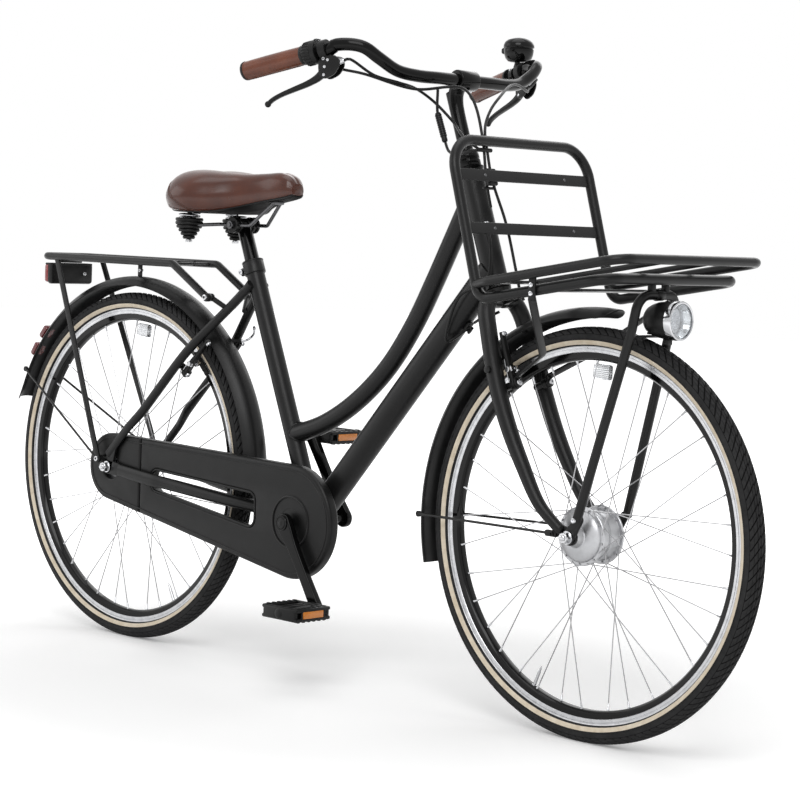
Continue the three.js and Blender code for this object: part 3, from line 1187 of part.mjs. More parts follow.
const ringBoss = crossRod(bracket, -crankInner, -CHAIN_LINE, CRANK_EYE_RADIUS, TUBE_SIDES);
const spindleRoom = crossRod(
  bracket, -spindleEnd - FIT_GAP, -CHAIN_LINE + CHAIN_WIDTH,
  (SPINDLE_RADIUS + FIT_GAP) / Math.cos(Math.PI / TUBE_SIDES), TUBE_SIDES,
);
add('crank_right', join(
  crankSolid(crankDirection, -1), cut(join(ringBody(bracket, chainringPitch), ringBoss), spindleRoom),
), MATT_BLACK);

function pedal(direction, sign) {
  const centre = along(bracket, direction, CRANK_LENGTH);
  const inner = crankOuter + RUN_GAP;
  const outer = inner + PEDAL_WIDTH;
  const middle = at(centre, (inner + outer) / 2);
  const pieces = [crossRod(centre, inner, outer, PEDAL_BARREL_RADIUS, TUBE_SIDES)];
  for (const y of [inner + PEDAL_PLATE / 2, outer - PEDAL_PLATE / 2]) {
    pieces.push(block(at(centre, y), PEDAL_LENGTH - PEDAL_BAR, PEDAL_PLATE, PEDAL_HEIGHT));
  }
  for (const x of [-1, 1]) {
    const place = along(middle, FORWARD, (x * (PEDAL_LENGTH - PEDAL_BAR)) / 2);
    pieces.push(block(place, PEDAL_BAR, PEDAL_WIDTH, PEDAL_HEIGHT));
  }
  const boreRadius = (PEDAL_SPINDLE_RADIUS + FIT_GAP) / Math.cos(Math.PI / STAY_SIDES);
  const bore = crossRod(centre, inner - OVERRUN, outer - PEDAL_PLATE + FIT_GAP, boreRadius, STAY_SIDES);
  const solid = cut(join(...pieces), bore);
  return sign > 0 ? solid : mirrored(solid);
}
add('pedal_left', pedal(crankDirection.clone().negate(), 1), PLASTIC_BLACK);
add('pedal_right', pedal(crankDirection, -1), PLASTIC_BLACK);

// Fenders: a curved strip round each wheel, held by thin stays that run to the dropouts.
const FENDER_SECTION_SHARES = [[-1, 1], [-0.8, 0.36], [-0.36, 0], [0.36, 0], [0.8, 0.36], [1, 1]];
function fenderStrip(axle, start, end, steps) {
  const rings = [];
  for (let i = 0; i <= steps; i += 1) {
    const turn = start + ((end - start) * i) / steps;
    const point = (share, drop, inward) => {
      const radius = FENDER_RADIUS - FENDER_DROP * drop - inward;
      return vec(axle.x + radius * Math.cos(turn), FENDER_HALF_WIDTH * share,
        axle.z + radius * Math.sin(turn));
    };
    const outer = FENDER_SECTION_SHARES.map(([share, drop]) => point(share, drop, 0));
    const inner = FENDER_SECTION_SHARES.map(([share, drop]) => {
      const slim = 1 - FENDER_WALL / FENDER_HALF_WIDTH;
      return point(share * slim, drop, FENDER_WALL);
    }).reverse();
    rings.push([...outer, ...inner]);
  }
  return loft(rings);
}

// A stay from the fender's edge to an eye beside the dropout.
const fenderEdge = (axle, turn) => {
  const radius = FENDER_RADIUS - FENDER_DROP + FENDER_STAY_RADIUS;
  const y = FENDER_HALF_WIDTH - FENDER_WALL / 2;
  return vec(axle.x + radius * Math.cos(turn), y, axle.z + radius * Math.sin(turn));
};
function fenderStays(edge, foot) {
  const outward = at(edge, FENDER_HALF_WIDTH + 2 * FENDER_STAY_RADIUS);
  const stay = tube([edge, outward, foot], FENDER_STAY_RADIUS, 6);
  return [stay, mirrored(stay)];
}
const forkEyePlace = along(along(frontAxle, FORWARD, -FORK_EYE_BACK), UP, FORK_EYE_UP);
const forkPlateOuter = FRONT_DROPOUT_OFFSET + DROPOUT_THICKNESS / 2;
const frontStayFoot = at(forkEyePlace, forkPlateOuter + FENDER_STAY_RADIUS + 2 * FIT_GAP);
const rearStayFoot = vec(
  RACK_STRUT_FOOT_FORWARD, dropoutOuter + RACK_STRUT_THICKNESS + RUN_GAP + FENDER_STAY_RADIUS,
  RACK_STRUT_FOOT_HEIGHT,
);
add('rear_fender', join(
  fenderStrip(rearAxle, REAR_FENDER_START, REAR_FENDER_END, FENDER_STEPS + 4),
  ...fenderStays(fenderEdge(rearAxle, REAR_FENDER_END - REAR_STAY_BACK), rearStayFoot),
), MATT_BLACK);

// Rear carrier: a bent loop with two inner rails, struts to the dropouts and bolts on the seat stays.
const rackRear = vec(RACK_REAR, 0, RACK_HEIGHT);
const rackBend = vec(RACK_FRONT_BEND, RACK_HALF, RACK_HEIGHT);
const rackBolt = vec(RACK_BOLT_FORWARD, RACK_HALF, RACK_BOLT_HEIGHT);
const rackLoop = bent([
  rackBolt, rackBend, at(rackRear, RACK_HALF), at(rackRear, -RACK_HALF), flip(rackBend), flip(rackBolt),
], RACK_CORNER, 2);
const rackCross = (x) => block(
  vec(x, 0, RACK_HEIGHT), CROSSBAR_WIDTH, 2 * RACK_HALF, CROSSBAR_THICKNESS,
);
const rackInner = (y) => rod(
  at(rackRear, y), vec(RACK_FRONT_BEND - RACK_CORNER, y, RACK_HEIGHT), RACK_INNER_RADIUS, STAY_SIDES,
);
const strutOffset = dropoutOuter + FIT_GAP + RACK_STRUT_THICKNESS / 2;
const rackStrut = bar([
  vec(RACK_STRUT_TOP, RACK_HALF, RACK_HEIGHT), vec(RACK_STRUT_KNEE_FORWARD, strutOffset,
    RACK_STRUT_KNEE_HEIGHT),
  vec(RACK_STRUT_FOOT_FORWARD, strutOffset, RACK_STRUT_FOOT_HEIGHT),
], FORWARD, RACK_STRUT_WIDTH, RACK_STRUT_THICKNESS);
const fenderTop = vec(0, 0, TYRE_RADIUS + FENDER_RADIUS + FIT_GAP);
const rackFenderTab = block(
  mid(fenderTop, vec(0, 0, RACK_HEIGHT), 0.5), CLIP_SIZE, CROSSBAR_THICKNESS, RACK_HEIGHT - fenderTop.z,
);
add('rear_rack', join(
  tube(rackLoop, RACK_RADIUS, STAY_SIDES), rackCross(0), rackCross(RACK_FRONT_BEND - RACK_CORNER),
  rackInner(RACK_INNER_OFFSET), rackInner(-RACK_INNER_OFFSET), rackStrut, mirrored(rackStrut), rackFenderTab,
), MATT_BLACK);

// Rear lamp under the tail of the carrier, with its bracket.
const rearLampCentre = vec(REAR_LAMP_FRONT - REAR_LAMP_DEPTH / 2, 0, REAR_LAMP_TOP - REAR_LAMP_HEIGHT / 2);
const rearLampOutline = bent([
  vec(0, REAR_LAMP_HALF, REAR_LAMP_HEIGHT / 2), vec(0, -REAR_LAMP_HALF, REAR_LAMP_HEIGHT / 2),
  vec(0, -REAR_LAMP_HALF, -REAR_LAMP_HEIGHT / 2), vec(0, REAR_LAMP_HALF, -REAR_LAMP_HEIGHT / 2),
  vec(0, REAR_LAMP_HALF, REAR_LAMP_HEIGHT / 2), vec(0, -REAR_LAMP_HALF, REAR_LAMP_HEIGHT / 2),
], REAR_LAMP_CORNER, 3).slice(1, -1);
const rearLampRing = (x, shrink) => rearLampOutline.map((p) => vec(
  x, p.y * (1 - shrink / REAR_LAMP_HALF), rearLampCentre.z + p.z * (1 - (2 * shrink) / REAR_LAMP_HEIGHT),
));
const lampTabPlace = vec(rearLampCentre.x + REAR_LAMP_DEPTH / 4, 0, REAR_LAMP_TOP);
const rackUnder = RACK_HEIGHT - RACK_INNER_RADIUS - FIT_GAP;
const rearLampTab = block(
  vec(lampTabPlace.x, 0, (rackUnder + REAR_LAMP_TOP) / 2 - RUN_GAP), CLIP_SIZE,
  2 * RACK_INNER_OFFSET + CLIP_SIZE,
  rackUnder - REAR_LAMP_TOP + 2 * RUN_GAP,
);
add('rear_lamp', join(loft([
  rearLampRing(REAR_LAMP_FRONT, RUN_GAP), rearLampRing(REAR_LAMP_FRONT - RUN_GAP, 0),
  rearLampRing(REAR_LAMP_FRONT - REAR_LAMP_DEPTH + RUN_GAP, 0),
  rearLampRing(REAR_LAMP_FRONT - REAR_LAMP_DEPTH, RUN_GAP),
]), orient(rearLampTab)), PLASTIC_BLACK);

// Fork: steerer, crown and two curved blades with their dropouts and brake bosses.
const steererTop = HEAD_TUBE_FOOT + HEAD_TUBE_LENGTH + CUP_HEIGHT;
const crownTop = HEAD_TUBE_FOOT - CUP_HEIGHT - FIT_GAP;
// Shares at the blade's stations: of the rake forward of the head axis, of the full offset,
// of the shoulder's height up the axis, and of the radius.
const BLADE_STATION_SHARES = [
  [0, 0.1, 1.035, 1], [0, 0.5, 1.03, 1], [0, 0.72, 0.985, 1], [0, 0.83, 0.89, 1], [0, 0.93, 0.76, 1],
  [0, 0.99, 0.62, 0.98], [0.065, 1, 0.445, 0.93], [0.2, 1, 0.285, 0.85], [0.42, 1, 0.1, 0.72],
  [0.8, 0.97, -0.03, 0.62],
];
const bladeStations = BLADE_STATION_SHARES.map(([f, y, s]) => (
  onFork(FORK_RAKE * f, BLADE_OFFSET * y, CROWN_SHOULDER * s)
));
const bladeSizes = BLADE_STATION_SHARES.map(([, , , r]) => [BLADE_RADIUS * r, BLADE_RADIUS * r]);
const forkTip = bladeStations[bladeStations.length - 1];
const forkPlate = (end, endRadius, holes = []) => orient(plate(
  beltOutline(at(forkTip, 0), BLADE_TIP_RADIUS, end, endRadius, STAY_SIDES),
  FRONT_DROPOUT_OFFSET - DROPOUT_THICKNESS / 2, forkPlateOuter, holes,
));
const forkDropout = forkPlate(
  frontAxle, DROPOUT_RADIUS, [discOutline(frontAxle, AXLE_RADIUS + FIT_GAP, STAY_SIDES).reverse()],
);
const forkEye = forkPlate(forkEyePlace, FORK_EYE_RADIUS);
const frontBrake = brakePlace(
  frontAxle, onFork(0, 0, CROWN_SHOULDER * BRAKE_TUBE_SHARE), headUp, headForward, BLADE_RADIUS,
);
const axleRoom = crossRod(frontAxle, -2 * BLADE_OFFSET, 2 * BLADE_OFFSET, WASHER_RADIUS + FIT_GAP,
  TUBE_SIDES);
const blade = join(
  cut(tapered(bladeStations, bladeSizes, TUBE_SIDES - 4), axleRoom), forkDropout, forkEye,
  brakePin(frontBrake, BLADE_OFFSET * BRAKE_BOSS_ROOT_SHARE),
);
add('fork', join(
  rod(onFork(0, 0, crownTop - CROWN_HEIGHT), onFork(0, 0, steererTop), HEAD_TUBE_BORE - FIT_GAP, TUBE_SIDES),
  rod(onFork(0, 0, crownTop - CROWN_HEIGHT), onFork(0, 0, crownTop), CROWN_RADIUS, TUBE_SIDES),
  blade, mirrored(blade),
), MATT_BLACK);
addPair('front_brake_arm', brakeArm(frontBrake), PLASTIC_BLACK);

add('front_fender', join(
  fenderStrip(frontAxle, FRONT_FENDER_START, FRONT_FENDER_END, FENDER_STEPS),
  ...fenderStays(fenderEdge(frontAxle, FRONT_FENDER_END - FRONT_STAY_BACK), frontStayFoot),
), MATT_BLACK);

// Stem with its locknut and clamp, and the swept handlebar.
const barCentre = onFork(BAR_FORWARD, 0, BAR_UP);
// Stations of the left half of the bar: forward, left and up from its middle.
// Shares of sweep back, half width and rise, and then the end of the grip.
const BAR_STATION_SHARES = [
  [0, 0, 0], [0, 0.22, 0], [0.02, 0.39, 0.01], [0.05, 0.53, 0.14], [0.075, 0.66, 0.54], [0.12, 0.745, 0.9],
  [0.2, 0.8, 1], [0.31, 0.84, 0.93], [0.54, 0.895, 0.56], [1, 1, -0.05],
];
const barPoints = BAR_STATION_SHARES.map(([back, side, rise]) => vec(
  barCentre.x - BAR_SWEEP * back, BAR_WIDTH_HALF * side, barCentre.z + BAR_RISE * rise,
));
const gripInner = barPoints[barPoints.length - 2];
const barEnd = barPoints[barPoints.length - 1];
const gripLine = barEnd.clone().sub(gripInner).normalize();
const straightLength = GRIP_LENGTH + SHIFTER_LENGTH + 3 * LEVER_CLAMP_GAP + LEVER_CLAMP_LENGTH;
const barStraight = along(barEnd, gripLine, -straightLength);
const leftStations = [
  ...smooth([...barPoints.slice(1, -3), barStraight], BAR_STEPS),
  along(barEnd, gripLine, -GRIP_CAP - FIT_GAP),
];
const barStations = [...leftStations.slice().reverse(), ...leftStations.map(flip)];
add('handlebar', tube(barStations, BAR_RADIUS, TUBE_SIDES - 4), GLOSS_BLACK);
const barBore = (BAR_RADIUS + FIT_GAP) / Math.cos(Math.PI / TUBE_SIDES);
const barRoom = rod(
  at(barCentre, -STEM_CLAMP_HALF - OVERRUN), at(barCentre, STEM_CLAMP_HALF + OVERRUN), barBore, TUBE_SIDES,
);
const stemFoot = steererTop + FIT_GAP;
add('stem', cut(
  join(
    rod(onFork(0, 0, stemFoot), onFork(0, 0, STEM_TOP), STEM_RADIUS, TUBE_SIDES),
    rod(onFork(0, 0, stemFoot), onFork(0, 0, stemFoot + LOCKNUT_HEIGHT), LOCKNUT_RADIUS, TUBE_SIDES),
    rod(onFork(0, 0, STEM_TOP - STEM_CLAMP_RADIUS), barCentre, STEM_RADIUS, TUBE_SIDES),
    crossRod(barCentre, -STEM_CLAMP_HALF, STEM_CLAMP_HALF, STEM_CLAMP_RADIUS, TUBE_SIDES),
  ),
  barRoom,
), GLOSS_BLACK);

// Places along the straight end of the left bar, measured inwards from its end.
const onGrip = (inwards) => along(barEnd, gripLine, -inwards);
const sleeve = (from, to, outer, inner = barBore) => cut(
  rod(onGrip(to), onGrip(from), outer, TUBE_SIDES),
  rod(onGrip(to + OVERRUN), onGrip(from - OVERRUN), inner, TUBE_SIDES),
);
const grip = cut(
  rod(onGrip(GRIP_LENGTH), onGrip(0), GRIP_RADIUS, TUBE_SIDES),
  rod(onGrip(GRIP_LENGTH + OVERRUN), onGrip(GRIP_CAP), barBore, TUBE_SIDES),
);
addPair('grip', grip, LEATHER);
const shifterFrom = GRIP_LENGTH + FIT_GAP;
add('twist_shifter', mirrored(sleeve(shifterFrom, shifterFrom + SHIFTER_LENGTH, SHIFTER_RADIUS)),
  PLASTIC_BLACK);

// Brake levers: a clamp on the bar with two ears that hold the lever's hub, and a blade below the grip.
const leverDown = UP.clone().negate().addScaledVector(gripLine, UP.dot(gripLine)).normalize();
const leverAxis = gripLine.clone().cross(leverDown).normalize();
const clampFrom = shifterFrom + SHIFTER_LENGTH + LEVER_CLAMP_GAP;
const clampMiddle = onGrip(clampFrom + LEVER_CLAMP_LENGTH / 2);
const leverPivot = along(clampMiddle, leverDown, LEVER_DROP);
// A place given outwards along the grip, down from it and across it.
const byLever = (outwards, down, across) => along(
  along(along(clampMiddle, gripLine, outwards), leverDown, down), leverAxis, across,
);
const leverBlock = (fromOut, toOut, fromDown, toDown, across, thickness) => bar([
  byLever(fromOut, (fromDown + toDown) / 2, across), byLever(toOut, (fromDown + toDown) / 2, across),
], leverDown, toDown - fromDown, thickness);
const bodyTop = LEVER_CLAMP_RADIUS - LEVER_EAR;
const bodyLow = LEVER_DROP - LEVER_HUB_RADIUS - FIT_GAP;
const earLow = LEVER_DROP + BARREL_RADIUS + LEVER_EAR;
const earPlace = LEVER_WIDTH / 2 + FIT_GAP + LEVER_EAR / 2;
const bodyWidth = 2 * earPlace + LEVER_EAR;
const bodyIn = -LEVER_HUB_RADIUS - RUN_GAP;
const leverRod = (half, radius, sides) => rod(
  byLever(0, LEVER_DROP, -half), byLever(0, LEVER_DROP, half), radius, sides,
);
const pivotPin = leverRod(bodyWidth / 2, LEVER_PIN_RADIUS, STAY_SIDES - 2);
const barrelPlace = (bodyTop + earLow) / 2;
const barrelEnd = byLever(bodyIn - LEVER_EAR - BARREL_LENGTH, barrelPlace, 0);
const leverMount = join(
  sleeve(clampFrom, clampFrom + LEVER_CLAMP_LENGTH, LEVER_CLAMP_RADIUS),
  leverBlock(bodyIn - LEVER_EAR, LEVER_HUB_RADIUS, bodyTop, bodyLow, 0, bodyWidth),
  leverBlock(bodyIn - LEVER_EAR, bodyIn, bodyTop, earLow, 0, bodyWidth),
  leverBlock(bodyIn - LEVER_EAR, LEVER_HUB_RADIUS, bodyTop, earLow, earPlace, LEVER_EAR),
  leverBlock(bodyIn - LEVER_EAR, LEVER_HUB_RADIUS, bodyTop, earLow, -earPlace, LEVER_EAR),
  pivotPin, rod(byLever(bodyIn - LEVER_EAR / 2, barrelPlace, 0), barrelEnd, BARREL_RADIUS, STAY_SIDES - 2),
);
// Shares of the blade's length and of its reach below the pivot.
const LEVER_BLADE_SHARES = [[0, 0], [0.15, 0.5], [0.4, 0.9], [0.8, 1], [1, 1.25]];
const bladePlaces = LEVER_BLADE_SHARES.map(([far, low]) => byLever(
  LEVER_LENGTH * far, LEVER_DROP + (LEVER_REACH - LEVER_DROP) * low, 0,
));
const lever = cut(
  join(
    bar(bladePlaces, leverAxis, LEVER_WIDTH, LEVER_THICKNESS),
    leverRod(LEVER_WIDTH / 2, LEVER_HUB_RADIUS, TUBE_SIDES),
  ),
  leverRod(LEVER_WIDTH, (LEVER_PIN_RADIUS + FIT_GAP) / Math.cos(Math.PI / STAY_SIDES), STAY_SIDES - 2),
);
addPair('brake_mount', leverMount, PLASTIC_BLACK);
addPair('brake_lever', lever, PLASTIC_BLACK);

// Bell: a dome on a short foot, clamped beside the left grip, with a thumb lever.
const bellRing = onGrip(GRIP_LENGTH + BELL_CLAMP_PLACE);
const bellFoot = along(bellRing, UP, BAR_RADIUS);
const bellBase = along(along(bellRing, UP, GRIP_RADIUS + BELL_STEM), FORWARD, BELL_FORWARD);
const BELL_PROFILE_SHARES = [[0, 0], [0, 1], [0.45, 0.98], [0.78, 0.78], [1, 0.2], [1, 0]];
const thumbLever = rod(
  along(along(bellBase, FORWARD, -BELL_RADIUS * THUMB_LEVER_SHARE), UP, BELL_HEIGHT / 3),
  along(along(bellBase, FORWARD, -BELL_RADIUS - CLIP_SIZE / 2), UP, BELL_HEIGHT / 3), CLIP_SIZE / 3,
  STAY_SIDES - 2,
);
add('bell', join(
  orient(turned(bellBase, UP, BELL_PROFILE_SHARES.map(([h, r]) => [BELL_HEIGHT * h, BELL_RADIUS * r]),
    TUBE_SIDES)),
  cut(
    join(
      rod(along(bellRing, gripLine, -CLIP_SIZE / 2), along(bellRing, gripLine, CLIP_SIZE / 2),
        GRIP_RADIUS, TUBE_SIDES),
      rod(bellFoot, along(bellBase, UP, FIT_GAP), CLIP_SIZE / 2, STAY_SIDES),
    ),
    rod(onGrip(GRIP_LENGTH + SHIFTER_LENGTH), onGrip(GRIP_LENGTH + FIT_GAP), barBore, TUBE_SIDES),
  ),
  thumbLever,
), GLOSS_BLACK);

// Front carrier, three bodies: an upright hoop whose legs run on as the lower rails, an upper loop
// outside it with a flat stay down to each brake pin, and a strut from the front axle on each side.
const loopLine = vec(Math.cos(LOOP_RISE), 0, Math.sin(LOOP_RISE));
const hoopLine = vec(-Math.sin(HOOP_TILT), 0, Math.cos(HOOP_TILT));
const hoopFoot = vec(headLow.x + HOOP_FOOT_AHEAD, HOOP_HALF, HOOP_FOOT_HEIGHT);
const hoopTop = along(hoopFoot, hoopLine, HOOP_LENGTH);
const onLower = (forward, y) => at(along(hoopFoot, loopLine, forward), y);
const onUpper = (forward, y) => along(onLower(forward, y), UP, LOOP_ABOVE);
const hoopMiddle = along(hoopFoot, hoopLine, HOOP_LENGTH / 2);
const lowerMiddle = onLower(LOWER_LOOP_LENGTH / 2, HOOP_HALF);
const hoopStations = [
  ...bent([at(hoopTop, -RUN_GAP), hoopTop, hoopMiddle], HOOP_CORNER, 3).slice(0, -1),
  ...bent([hoopMiddle, hoopFoot, lowerMiddle], HOOP_FOOT_CORNER, 2).slice(1, -1),
  ...bent([
    lowerMiddle, onLower(LOWER_LOOP_LENGTH, HOOP_HALF), onLower(LOWER_LOOP_LENGTH, -RUN_GAP),
  ], LOOP_CORNER, 2).slice(1),
];
const upperStations = bent([
  onUpper(-HOOP_RADIUS, HOOP_HALF), onUpper(LOOP_CORNER, LOOP_HALF), onUpper(LOOP_LENGTH, LOOP_HALF),
  onUpper(LOOP_LENGTH, -RUN_GAP),
], LOOP_CORNER, 2);
const crossbar = (left, wide, grow = 0) => bar(
  [left, flip(left)], wide, CROSSBAR_WIDTH + 2 * grow, CROSSBAR_THICKNESS + 2 * grow,
);
const hoopBar = (share) => crossbar(along(hoopFoot, hoopLine, HOOP_LENGTH * share), hoopLine);
const lowerBar = (forward, grow) => crossbar(onLower(forward, HOOP_HALF), loopLine, grow);
const upperBar = crossbar(onUpper(UPPER_BAR_PLACE, LOOP_HALF), loopLine);
const innerRail = rod(
  onUpper(UPPER_BAR_PLACE, INNER_RAIL_OFFSET), onUpper(LOOP_LENGTH, INNER_RAIL_OFFSET), INNER_RAIL_RADIUS,
  STAY_SIDES - 2,
);
const strutSide = at(frontAxle, strutBossOuter + STRUT_RADIUS / 2);
const strutFoot = along(along(strutSide, UP, STRUT_FOOT_UP), FORWARD, STRUT_FOOT_AHEAD);
const strutBar = onLower(STRUT_BAR_PLACE, STRUT_TOP_OFFSET);
const strutTop = along(strutBar, UP, -STRUT_TOP_DROP);
const strutBend = along(along(strutBar, UP, -STRUT_BEND_DROP), FORWARD, -STRUT_BEND_BACK);
const strutStations = bent([
  strutFoot, strutBend, strutTop, at(strutTop, -RUN_GAP),
], STRUT_CORNER, 2);
const strutBoss = plate(
  beltOutline(frontAxle, WASHER_RADIUS + BRAKE_PIN_STEP, at(strutFoot, 0), STRUT_RADIUS, STAY_SIDES),
  strutBossOuter - STRUT_BOSS_THICKNESS, strutBossOuter,
  [discOutline(frontAxle, AXLE_RADIUS + FIT_GAP, STAY_SIDES).reverse()],
);
const strutTab = bar([
  at(strutTop, STRUT_TAB_OFFSET), onLower(STRUT_BAR_PLACE, STRUT_TAB_OFFSET),
], FORWARD, CLIP_SIZE, CLIP_SIZE);
const pinTip = along(
  at(frontBrake.pivot, BRAKE_BOSS_OFFSET), headForward, BRAKE_ARM_THICKNESS / 2 + 2 * FIT_GAP + STAY_BAR_THICKNESS / 2,
);
const stayKnee = vec(hoopFoot.x + STAY_KNEE_AHEAD, STAY_KNEE_OFFSET, hoopFoot.z - STAY_KNEE_DROP);
const stayOffset = HOOP_HALF + HOOP_RADIUS + FIT_GAP + STAY_BAR_THICKNESS / 2;
const stayPlate = bar([
  onUpper(STAY_PLACE, stayOffset), along(onLower(STAY_PLACE, stayOffset), UP, -2 * HOOP_RADIUS),
], FORWARD, STAY_BAR_WIDTH, STAY_BAR_THICKNESS);
const stayBar = bar([
  along(onLower(STAY_PLACE, stayOffset), UP, -HOOP_RADIUS - STAY_BAR_THICKNESS), stayKnee,
  along(pinTip, headUp, BRAKE_HUB_RADIUS), pinTip,
], LEFT, STAY_BAR_WIDTH, STAY_BAR_THICKNESS);
const lampBracketPlace = mid(strutFoot, strutBend, LAMP_BRACKET_SHARE);
const lampBracket = bar(
  [lampBracketPlace, flip(lampBracketPlace)], FORWARD, STAY_BAR_WIDTH, CROSSBAR_THICKNESS,
);
const upperTube = tube(upperStations, LOOP_TUBE_RADIUS, STAY_SIDES - 2);
const strutTube = tube(strutStations, STRUT_RADIUS, STAY_SIDES - 2);
const onBothSides = (...pieces) => [...pieces, ...pieces.map(mirrored)];
const hoopSkin = (grow) => onBothSides(tube(hoopStations, HOOP_RADIUS + grow, STAY_SIDES));
add('front_rack', join(
  ...hoopSkin(0), hoopBar(HOOP_LOW_BAR), hoopBar(HOOP_HIGH_BAR), lowerBar(STAY_PLACE),
  lowerBar(STRUT_BAR_PLACE),
), MATT_BLACK);
add('front_rack_loop', cut(
  join(...onBothSides(upperTube, innerRail, stayPlate, stayBar), upperBar),
  ...hoopSkin(FIT_GAP),
), MATT_BLACK);
add('front_rack_struts', cut(
  join(...onBothSides(strutTube, orient(strutBoss), strutTab), lampBracket),
  lowerBar(STRUT_BAR_PLACE, FIT_GAP),
), MATT_BLACK);

// Headlamp: a bullet housing, open at the front where its lens sits.
const lampRear = vec(strutBar.x - LAMP_BACK, 0, strutBar.z - LAMP_DROP);
const LAMP_PROFILE_SHARES = [[0, 0], [0, 0.3], [0.08, 0.55], [0.25, 0.82], [0.5, 0.97], [0.75, 1], [1, 1]];
const lampProfile = LAMP_PROFILE_SHARES.map(([x, r]) => [LAMP_LENGTH * x, LAMP_RADIUS * r]);
const lampSeat = LAMP_LENGTH - LENS_THICKNESS - FIT_GAP;
const lampFootPlace = vec(lampRear.x + CLIP_SIZE, 0, lampBracketPlace.z + CROSSBAR_THICKNESS / 2 + FIT_GAP);
const lampFoot = rod(lampFootPlace, vec(lampFootPlace.x, 0, lampRear.z - LAMP_RADIUS / 2), CLIP_SIZE / 2,
  STAY_SIDES);
add('headlamp', join(
  orient(turned(lampRear, FORWARD, [
    ...lampProfile, [LAMP_LENGTH, LENS_RADIUS + FIT_GAP], [lampSeat, LENS_RADIUS + FIT_GAP], [lampSeat, 0],
  ], TUBE_SIDES)),
  lampFoot,
), GLOSS_BLACK);
add('headlamp_lens', orient(turned(along(lampRear, FORWARD, lampSeat + FIT_GAP), FORWARD, [
  [0, 0], [0, LENS_RADIUS], [LENS_THICKNESS, LENS_RADIUS], [LENS_THICKNESS, 0],
], TUBE_SIDES)), CLEAR);

// Cables of the handlebar: each runs in a loose curve to the clips behind the carrier's hoop.
const fromHead = ([x, y, z]) => vec(headLow.x + x, y, headLow.z + z);
const placed = (route) => route.map(fromHead);
const cable = (points, steps = CABLE_STEPS) => tube(smooth(points, steps), CABLE_RADIUS, CABLE_SIDES);
const barrelMouth = along(barrelEnd, gripLine, -2 * RUN_GAP);
const barrelAhead = along(barrelMouth, gripLine, -3 * CABLE_RADIUS);
const adjuster = placed(ADJUSTER_ROUTE);
const hoopClip = fromHead([HOOP_CLIP_FORWARD, CABLE_CLIP_OFFSET, HOOP_CLIP_UP]);
const barClip = along(
  at(along(hoopFoot, hoopLine, HOOP_LENGTH * HOOP_HIGH_BAR), CABLE_CLIP_OFFSET),
  vec(-hoopLine.z, 0, hoopLine.x), CROSSBAR_THICKNESS / 2 + FIT_GAP + CLIP_SIZE / 2,
);
add('bar_cables', join(
  cable([flip(barrelMouth), flip(barrelAhead), ...placed(RIGHT_BRAKE_ROUTE)]), cable(placed(SHIFTER_ROUTE)),
  cable([barrelMouth, barrelAhead, ...placed(LEFT_BRAKE_ROUTE)]),
  cable([...adjuster, ...placed(ADJUSTER_TAIL_ROUTE)], CABLE_STEPS / 2),
  rod(adjuster[1], adjuster[2], CLIP_SIZE / 2, STAY_SIDES),
  block(hoopClip, CLIP_SIZE, 3 * CLIP_SIZE, CLIP_SIZE / 2),
  bar([
    along(barClip, LEFT, -CLIP_SIZE), along(barClip, LEFT, CLIP_SIZE),
  ], hoopLine, CROSSBAR_WIDTH + CLIP_SIZE, CLIP_SIZE),
), RUBBER);

// The cable on the frame: out of the head tube, past the lower cup and round to a clip under the down tube.
const downLine = downEnd.clone().sub(downStart).normalize();
const downUnder = vec(downLine.z, 0, -downLine.x);
const downClip = along(
  mid(downStart, downEnd, DOWN_CLIP_SHARE), downUnder, DOWN_TUBE_RADIUS + FIT_GAP + CLIP_SIZE / 4,
);
add('frame_cables', join(
  cable([...placed(FRAME_ROUTE), along(downClip, downUnder, CABLE_RADIUS)], CABLE_STEPS),
  cable([along(downClip, downUnder, CABLE_RADIUS), ...placed(LOOP_ROUTE)], 3),
  bar([along(downClip, downLine, -CLIP_SIZE), along(downClip, downLine, CLIP_SIZE)], LEFT, CLIP_SIZE,
    CLIP_SIZE / 2),
), RUBBER);

// The origin is put on the ground below the middle of the bounding box.
const extent = new THREE.Box3().setFromObject(bike);
const middle = extent.getCenter(vec(0, 0, 0));
bike.position.set(-middle.x, -middle.y, -extent.min.z);

export default bike;
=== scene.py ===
import json
import math

import bmesh
import bpy
import numpy as np
from mathutils import Matrix, Vector

